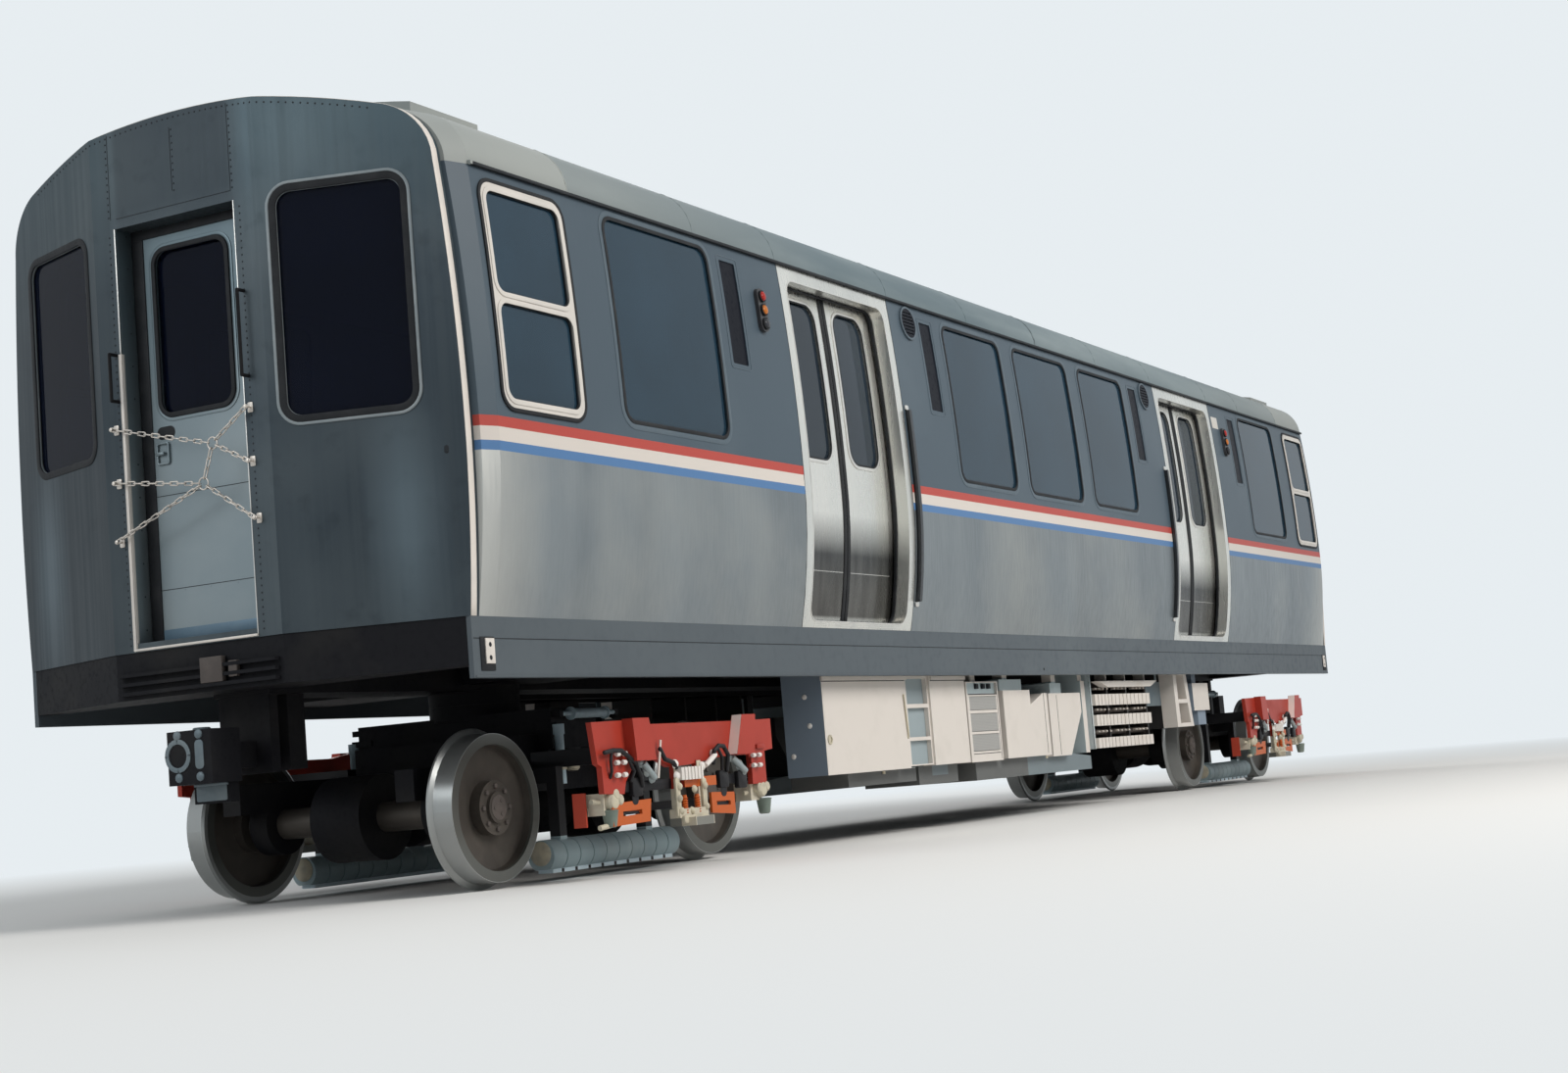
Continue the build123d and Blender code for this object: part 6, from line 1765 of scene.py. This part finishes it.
# Columns: limits along the truck, outwards and upwards, and the colour
BEAM_ZONES = [
    (ALL, (0, 1.2585), (0, 2), BLACK_TONE),
    (ALL, (1.2585, 1.5), (0, 0.3855), ORANGE_TONE),
    ((0.788, 0.81), (1.10, 1.19), (0.2, 0.42), RED_TONE),
    # A painted glint: one box's side face on the beam is pale, standing in for a highlight.
    ((-0.475, -0.385), (1.2915, 1.3490), (0.552, 0.760), GLINT_TONE),
    ((0.645, 0.765), (1.15, 1.27), (0.29, 0.42), CREAM_TONE),
    ((-0.775, -0.655), (1.15, 1.27), (0.29, 0.40), CREAM_TONE),
    ((-0.12, 0.18), (1.19, 1.40), (0.2, 0.40), CREAM_TONE),
    ((-0.12, 0.18), (1.19, 1.40), (0.2, 0.2545), GREY_TONE),
    ((-0.106, -0.055), (1.2955, 1.40), (0.2, 0.54), CREAM_TONE),
    ((0.114, 0.165), (1.2955, 1.40), (0.2, 0.54), CREAM_TONE),
    ((-0.246, 0.072), (1.2955, 1.40), (0.4025, 0.4520), ORANGE_TONE),
    ((-0.073, 0.143), (1.2955, 1.40), (0.4400, 0.5040), WHITE_TONE),
]
BEAM_PAINT = zoned_sheet("collector beam", (0.38, 0.040, 0.024), (0.33, 0.040, 0.026), BEAM_ZONES,
                         0.4, truck=True)
dress(BEAM_PAINT, "shoe_beams_front", "shoe_beams_rear")

# %% [markdown]
# ## Track brakes and dampers
# Long electromagnets hang low between the wheels, and blue grey dampers lie beside the bolster. A
# damper's sleeves are turned bars that are stretched between two points.

# %% Track brakes and dampers
BRAKE_ZONES = [
    (ALL, (0.60, 0.90), (0.0, 0.0595), (0.62, 0.74, 0.80)),
    (ALL, (0.50, 0.90), (0.215, 0.60), BLACK_TONE),
]
BRAKE_PAINT = zoned_sheet("track brake", (0.33, 0.425, 0.455), (0.42, 0.50, 0.515), BRAKE_ZONES, 0.45,
                          truck=True)
dress(BRAKE_PAINT, "track_brakes_front", "track_brakes_rear")
BRAKE_Y, BRAKE_Z = 0.748, 0.126
BRAKE_X = (-0.620, 0.564)
BRAKE_RIBS = 10
BRAKE_PITCH = (BRAKE_X[1] - BRAKE_X[0] + 0.007) / BRAKE_RIBS
end_cap = turned_bar([(0.060, 0), (0.060, 0.006), (0.050, 0.012), (0.022, 0.013)], 24)
truck_gather("brake_end_caps",
             [(end_cap, [at(BRAKE_X[1] - 0.001, side * BRAKE_Y, BRAKE_Z + 0.012, LENGTHWISE)
                         for side in SIDES])],
             CREAM_CAST, (False,))
pole_gap = plate(0.020, 0.018, 0.0020)
truck_gather("brake_pole_gaps",
             [(pole_gap, [on_beam(BRAKE_X[0] + number * BRAKE_PITCH - 0.003, 0.049,
                                  BRAKE_Y + 0.0435 - BEAM_FACE)
                          for number in range(1, BRAKE_RIBS)])],
             CABLE_BLACK)
DAMPER_Y, DAMPER_Z = 0.660, 0.8275
sleeve = turned_bar([(0.0255, 0), (0.0255, 1)], 20)
collar = turned_bar([(0.026, 0), (0.034, 0.001), (0.034, 0.012), (0.026, 0.013)], 20)
thin_sleeve = turned_bar([(0.0122, 0), (0.0122, 1)], 14)
strut_sleeve = turned_bar([(0.0240, 0), (0.0240, 0.82), (0.0300, 0.83), (0.0300, 1)], 20)
damper_places = [
    (sleeve, [along_bar((-0.236, side * DAMPER_Y, DAMPER_Z), (0.086, side * DAMPER_Y, DAMPER_Z))
              for side in SIDES]),
    (collar, [at(x, side * DAMPER_Y, DAMPER_Z, LENGTHWISE) for side in SIDES
              for x in (-0.240, 0.076)]),
    (thin_sleeve, [along_bar((first, side * DAMPER_Y, DAMPER_Z), (last, side * DAMPER_Y, DAMPER_Z))
                   for side in SIDES for first, last in ((-0.316, -0.238), (0.088, 0.166))]),
    (strut_sleeve, [along_bar((0.205, side * DAMPER_Y, 0.4720), (0.205, side * DAMPER_Y, 0.7745))
                    for side in SIDES])]
truck_gather("dampers", damper_places, DAMPER_BLUE, (False,))
PAD_R, PAD_WAIST = 0.100, 0.088
pad = turned_bar([(PAD_R, 0), (PAD_R, 0.012), (PAD_WAIST, 0.016), (PAD_WAIST, 0.022), (PAD_R, 0.026),
                  (PAD_R, 0.040), (PAD_WAIST, 0.044), (PAD_WAIST, 0.050), (PAD_R, 0.054),
                  (PAD_R, 0.0595)], 28)
truck_gather("bolster_pads",
             [(pad, [at(0, side * 0.530, 0.5952) for side in SIDES])],
             CABLE_BLACK, (False,))
strut_foot = turned_bar([(0.026, 0), (0.036, 0.010), (0.036, 0.044), (0.026, 0.056)], 16)
truck_gather("strut_feet",
             [(strut_foot, [at(x, side * 0.652, 0.536) for side in SIDES for x in (0.205, 0.088)])],
             CREAM_CAST, (False,))

# %% [markdown]
# ## Wheels
# The treads are bright where they run on the rail, and the plate between rim and hub is brown. The
# material measures how far each point is from its axle, so one material serves all four wheelsets.
# Each hub has a ring of bolts, and the axle ends in a cap with three bolts of its own.


# %% Wheel steel and bolts
RIM_INNER_R, TREAD_R = 0.297, 0.349
WHEEL_BROWN, WHEEL_DUST = (0.085, 0.075, 0.066), (0.12, 0.105, 0.09)
RIM_TONE, TREAD_TONE = (0.125, 0.128, 0.118), (0.34, 0.35, 0.345)


def wheel_steel():
    """Cast wheels: a brown plate, a grey rim and a bright tread, by distance from the axle."""
    material, tree, shader = new_material("wheel steel", (0.075, 0.066, 0.058), 0.5, 0.6)
    wear = place_group(tree, BLOTCHES, Scale=6.0, Edge=0.45)
    x, z = axis_value(tree, 0), axis_value(tree, 2)
    off_truck = off_middle(tree, maths(tree, "ABSOLUTE", x), TRUCK_X)
    across = maths(tree, "SUBTRACT", off_truck, AXLE_HALF)
    rise = maths(tree, "SUBTRACT", z, AXLE_Z)
    square = maths(tree, "ADD", maths(tree, "MULTIPLY", across, across),
                   maths(tree, "MULTIPLY", rise, rise))
    radius = maths(tree, "SQRT", square)
    plate_tone = mix_colour(tree, wear.outputs["Mask"], WHEEL_BROWN, WHEEL_DUST)
    rim = maths(tree, "GREATER_THAN", radius, RIM_INNER_R)
    tread = maths(tree, "GREATER_THAN", radius, TREAD_R)
    tone = mix_colour(tree, rim, plate_tone, RIM_TONE)
    tone = mix_colour(tree, tread, tone, TREAD_TONE)
    tree.links.new(tone, shader.inputs["Base Color"])
    tree.links.new(mix_value(tree, rim, 0.5, 0.30), shader.inputs["Roughness"])
    add_bump(tree, shader, wear.outputs["Mask"], 0.10, 0.002)
    return material


WHEEL_STEEL = wheel_steel()
dress(WHEEL_STEEL, *[f"wheelset_{number}" for number in range(1, 5)])
HUB_FACE = 0.8045
AXLE_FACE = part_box("wheelset_1")[1][1]
hub_bolt = turned_bar([(0.013, 0), (0.013, 0.009), (0.010, 0.012)], 6)
cap_bolt = turned_bar([(0.010, 0), (0.010, 0.006), (0.008, 0.008)], 6)
cap_ring = turned_bar([(0.060, 0), (0.060, 0.003), (0.050, 0.005)], 28)
INWARD = Matrix(((1, 0, 0), (0, 0, -1), (0, 1, 0)))
# Columns: template, how many, radius of their circle and the face that they stand on
WHEEL_FITTINGS = ((hub_bolt, 8, 0.103, HUB_FACE), (cap_bolt, 3, 0.036, AXLE_FACE),
                  (cap_ring, 1, 0, AXLE_FACE - 0.001))
axles = [end_x + way * AXLE_HALF for end_name, end_x in TRUCKS for way in ENDS]
for number, axle_x in enumerate(axles, 1):
    groups = []
    for template, count, ring_r, face in WHEEL_FITTINGS:
        places = []
        for step in range(count):
            angle = math.tau * step / count
            spot = (axle_x + ring_r * math.cos(angle), AXLE_Z + ring_r * math.sin(angle))
            places += [at(spot[0], side * face, spot[1], OUTWARD if side > 0 else INWARD)
                       for side in SIDES]
        groups.append((template, places))
    gather(f"wheel_bolts_{number}", groups, BOX_BROWN, f"wheelset_{number}", keep=True)
discard(hub_bolt, cap_bolt, cap_ring)

# %% [markdown]
# ## Equipment under the floor
# White boxes, grey trays and a bank of braking resistors hang between the trucks. Wire cloth closes
# the openings of one box, and the resistors' coils show dark between rows of terminals. The faces in
# shade carry painted shade: blue grey in the recesses and on the faces turned to an end, and darker on
# the lower trays and on the faces towards the car's middle. Each box keeps one material, whose colour
# changes by zones, because its recesses are cut in one solid.

# %% Paint of the boxes
UNIT_FACE = 1.200
# Painted shade on the white paint: the panel tone in one box's recess, and the bluish tone in recesses
# and on faces turned to an end. The mesh tone is the wire cloth's own grey.
RECESS_SHADE_TONE, MESH_TONE, BLUISH_SHADE_TONE = (0.30, 0.355, 0.375), (0.50, 0.49, 0.46), (0.46, 0.54, 0.56)
# The dark tray tone is painted shade on the lower trays. The shade tone is painted shade on the boxes'
# end faces.
TRAY_SHADE_TONE, TRAY_BLUE, SHADE_TONE = (0.115, 0.118, 0.115), (0.165, 0.20, 0.215), (0.21, 0.26, 0.32)
# Painted shade: the faces towards the car's middle, deep under the floor, are darkened.
UNDERSIDE_SHADE_TONE = (0.022, 0.021, 0.021)
# Columns: limits along the car, outwards and upwards, and the colour
BOX_ZONES = [
    (ALL, (0, 1.08), (0, 2), UNDERSIDE_SHADE_TONE),
    ((3.4480, 3.460), (0, 1.1985), (0.38, 1.1), SHADE_TONE),
    ((2.003, 2.304), (1.10, 1.1575), (0.40, 0.96), RECESS_SHADE_TONE),
    ((0.90, 1.405), (1.10, 1.1775), (0.83, 0.93), BLUISH_SHADE_TONE),
    ((0.93, 1.38), (1.10, 1.1725), (0.46, 0.835), MESH_TONE),
    ((0.41, 0.82), (0.60, 1.1715), (0.8625, 0.95), BLUISH_SHADE_TONE),
    ((-0.34, -0.11), (0.60, 1.1715), (0.8355, 0.92), BLUISH_SHADE_TONE),
    ((2.05, 3.04), (0.60, 1.1120), (0.30, 0.3985), TRAY_SHADE_TONE),
    ((1.46, 2.07), (0.60, 1.1120), (0.28, 0.4095), TRAY_SHADE_TONE),
    ((1.62, 1.86), (1.10, 1.1120), (0.34, 0.4095), TRAY_BLUE),
    ((-0.86, 1.25), (0.60, 1.1420), (0.27, 0.4095), TRAY_BLUE),
    ((0.36, 1.25), (0.60, 1.1420), (0.27, 0.4095), TRAY_SHADE_TONE),
    ((-3.57, -3.1535), (1.08, 1.1990), (0.54, 1.1), SHADE_TONE),
]
BOX_PAINT = zoned_sheet("equipment paint", (0.68, 0.63, 0.58), (0.64, 0.595, 0.545), BOX_ZONES, 0.5)
# The bluish strips are painted shade on the bank's end faces.
RESISTOR_ZONES = [
    (ALL, (0, 1.08), (0, 2), UNDERSIDE_SHADE_TONE),
    ((-2.115, -0.870), (0.60, 1.1675), (0.40, 0.915), (0.020, 0.017, 0.016)),
    ((-0.723, -0.715), (0.60, 1.1675), (0.38, 1.1), BLUISH_SHADE_TONE),
    ((-0.879, -0.8780), (0.60, 1.1675), (0.38, 1.1), BLUISH_SHADE_TONE),
    ((-2.11, -0.88), (1.10, 1.1420), (0.68, 0.735), (0.060, 0.050, 0.045)),
    ((-2.11, -0.88), (1.10, 1.1420), (0.51, 0.58), (0.060, 0.050, 0.045)),
]
RESISTOR_PAINT = zoned_sheet("resistor paint", (0.68, 0.63, 0.58), (0.63, 0.57, 0.51),
                             RESISTOR_ZONES, 0.5)
dress(BOX_PAINT, "equipment_boxes")
dress(RESISTOR_PAINT, "resistor_banks")


# %% Fittings of the boxes
def on_unit(x, z, out=0.0):
    """Lays a template on the equipment's outer face, on both sides of the car."""
    def point_of(p):
        return Vector((x - p.x, UNIT_FACE + out + p.z, z + p.y))
    return both_ends([point_of])


def on_unit_end(x, y, z):
    """Lays a template on a box's face towards the front end."""
    def point_of(p):
        return Vector((x + p.z, y + p.x, z + p.y))
    return both_ends([point_of])


latch_rim = ring(0.056, 0.056, 0.0278, 0.009, 0.006, 1, 0.0015)
latch_core = dome(0.018, 0.004, 16)
tray_latch = plate(0.030, 0.018, 0.008, 0.003, 1, 0.002)
hinge_pin = turned_bar([(0.006, 0), (0.006, 1)], 10)
hinge_eye = dome(0.013, 0.008, 14)
gather("box_latches",
       [(latch_rim, on_unit(3.398, 0.600)), (latch_core, on_unit(3.398, 0.600)),
        (tray_latch, on_unit(0.012, 0.392, -0.060) + on_unit(2.560, 0.386, -0.090)),
        (hinge_pin, both_ends([along_bar((2.385, 1.2065, 0.850), (2.360, 1.2065, 0.592))])),
        (hinge_eye, on_unit(2.358, 0.590))],
       CREAM_CAST, "carbody")
end_bolt = dome(0.016, 0.008, 14)
gather("box_end_bolts",
       [(end_bolt, on_unit_end(3.450, 1.105, 0.687) + on_unit_end(3.450, 1.085, 0.854)
         + on_unit_end(3.450, 0.985, 0.520))],
       INSULATOR, "carbody")
lid_line = plate(1.100, 0.005, 0.0012)
header_line = plate(0.52, 0.006, 0.0012)
middle_line = plate(0.004, 0.420, 0.0012)
side_line = plate(0.004, 0.500, 0.0012)
connector = plate(0.036, 0.034, 0.020, 0.004, 1, 0.003)
header_edge = plate(0.470, 0.006, 0.0012)
foot_line = plate(0.440, 0.004, 0.0012)
gather("box_seams",
       [(lid_line, on_unit(2.898, 0.9345)),
        (header_line, on_unit(1.712, 0.9330)),
        (middle_line, on_unit(0.110, 0.632) + on_unit(-0.140, 0.612, -0.004)),
        (side_line, on_unit(0.918, 0.660, -0.006)),
        (connector, [place for x in (1.226, 1.118, 1.028) for place in on_unit(x, 0.893, -0.024)]),
        (header_edge, on_unit(1.155, 0.8400, -0.006)),
        (foot_line, on_unit(1.155, 0.452, -0.006))],
       SEAM_DARK, "carbody")

# %% Wire cloth in the box's openings
MESH_ROWS = ((0.782, 0.086), (0.656, 0.114), (0.524, 0.106))
MESH_TONES = (0.36, 0.355, 0.34), (0.27, 0.27, 0.26)
WIRES_PER_M = 640.0


def mesh_finish():
    """Grey wire cloth: fine crossing lines over a slightly darker base."""
    material, tree, shader = new_material("wire cloth", MESH_TONES[0], 0.6)
    lines = []
    for axis in (0, 2):
        wave = maths(tree, "SINE", maths(tree, "MULTIPLY", axis_value(tree, axis), WIRES_PER_M))
        lines.append(maths(tree, "GREATER_THAN", wave, 0.1))
    cloth = maths(tree, "MULTIPLY", lines[0], lines[1])
    tree.links.new(mix_colour(tree, cloth, *MESH_TONES), shader.inputs["Base Color"])
    return material


mesh_groups = [(plate(0.437, height, 0.0015), on_unit(1.1555, z, -0.0078)) for z, height in MESH_ROWS]
gather("louvre_mesh", mesh_groups, mesh_finish(), "carbody")

# %% Resistor terminals and the plate beyond
terminal = turned_bar([(0.010, 0), (0.010, 0.030), (0.007, 0.034)], 8)
TERMINAL_ROWS = (0.706, 0.545, 0.862)
TERMINAL_FIRST_X = -2.048
TERMINAL_PITCH = 0.0805
TERMINAL_SPACES = 15
GROUP_SPACES = 5
terminal_places = []
for z in TERMINAL_ROWS:
    for number in range(TERMINAL_SPACES):
        if (number + 1) % GROUP_SPACES:
            x = TERMINAL_FIRST_X + number * TERMINAL_PITCH
            terminal_places += both_ends([at(x, 1.140, z, OUTWARD)])
gather("resistor_terminals", [(terminal, terminal_places)], CHAIN_STEEL, "carbody")
side_strip = plate(0.022, 0.560, 0.004, 0, 1, 0.001)
bank_side = plate(0.400, 0.560, 0.003, 0, 1, 0.001)
gather("resistor_sides",
       [(side_strip, on_unit(-0.886, 0.700, -0.030)),
        (bank_side, on_unit_end(-0.8785, 0.966, 0.700))],
       BLUISH_SHADE_PAINT, "carbody")
far_plate = plate(0.440, 0.190, 0.006, 0.004, 1, 0.002)
far_hanger = plate(0.040, 0.180, 0.006, 0, 1, 0.001)
gather("far_plates",
       [(far_plate, on_unit(-2.400, 0.815, -0.100)),
        (far_hanger, on_unit(-2.250, 0.960, -0.104) + on_unit(-2.550, 0.960, -0.104))],
       BRAKE_STEEL, "carbody")
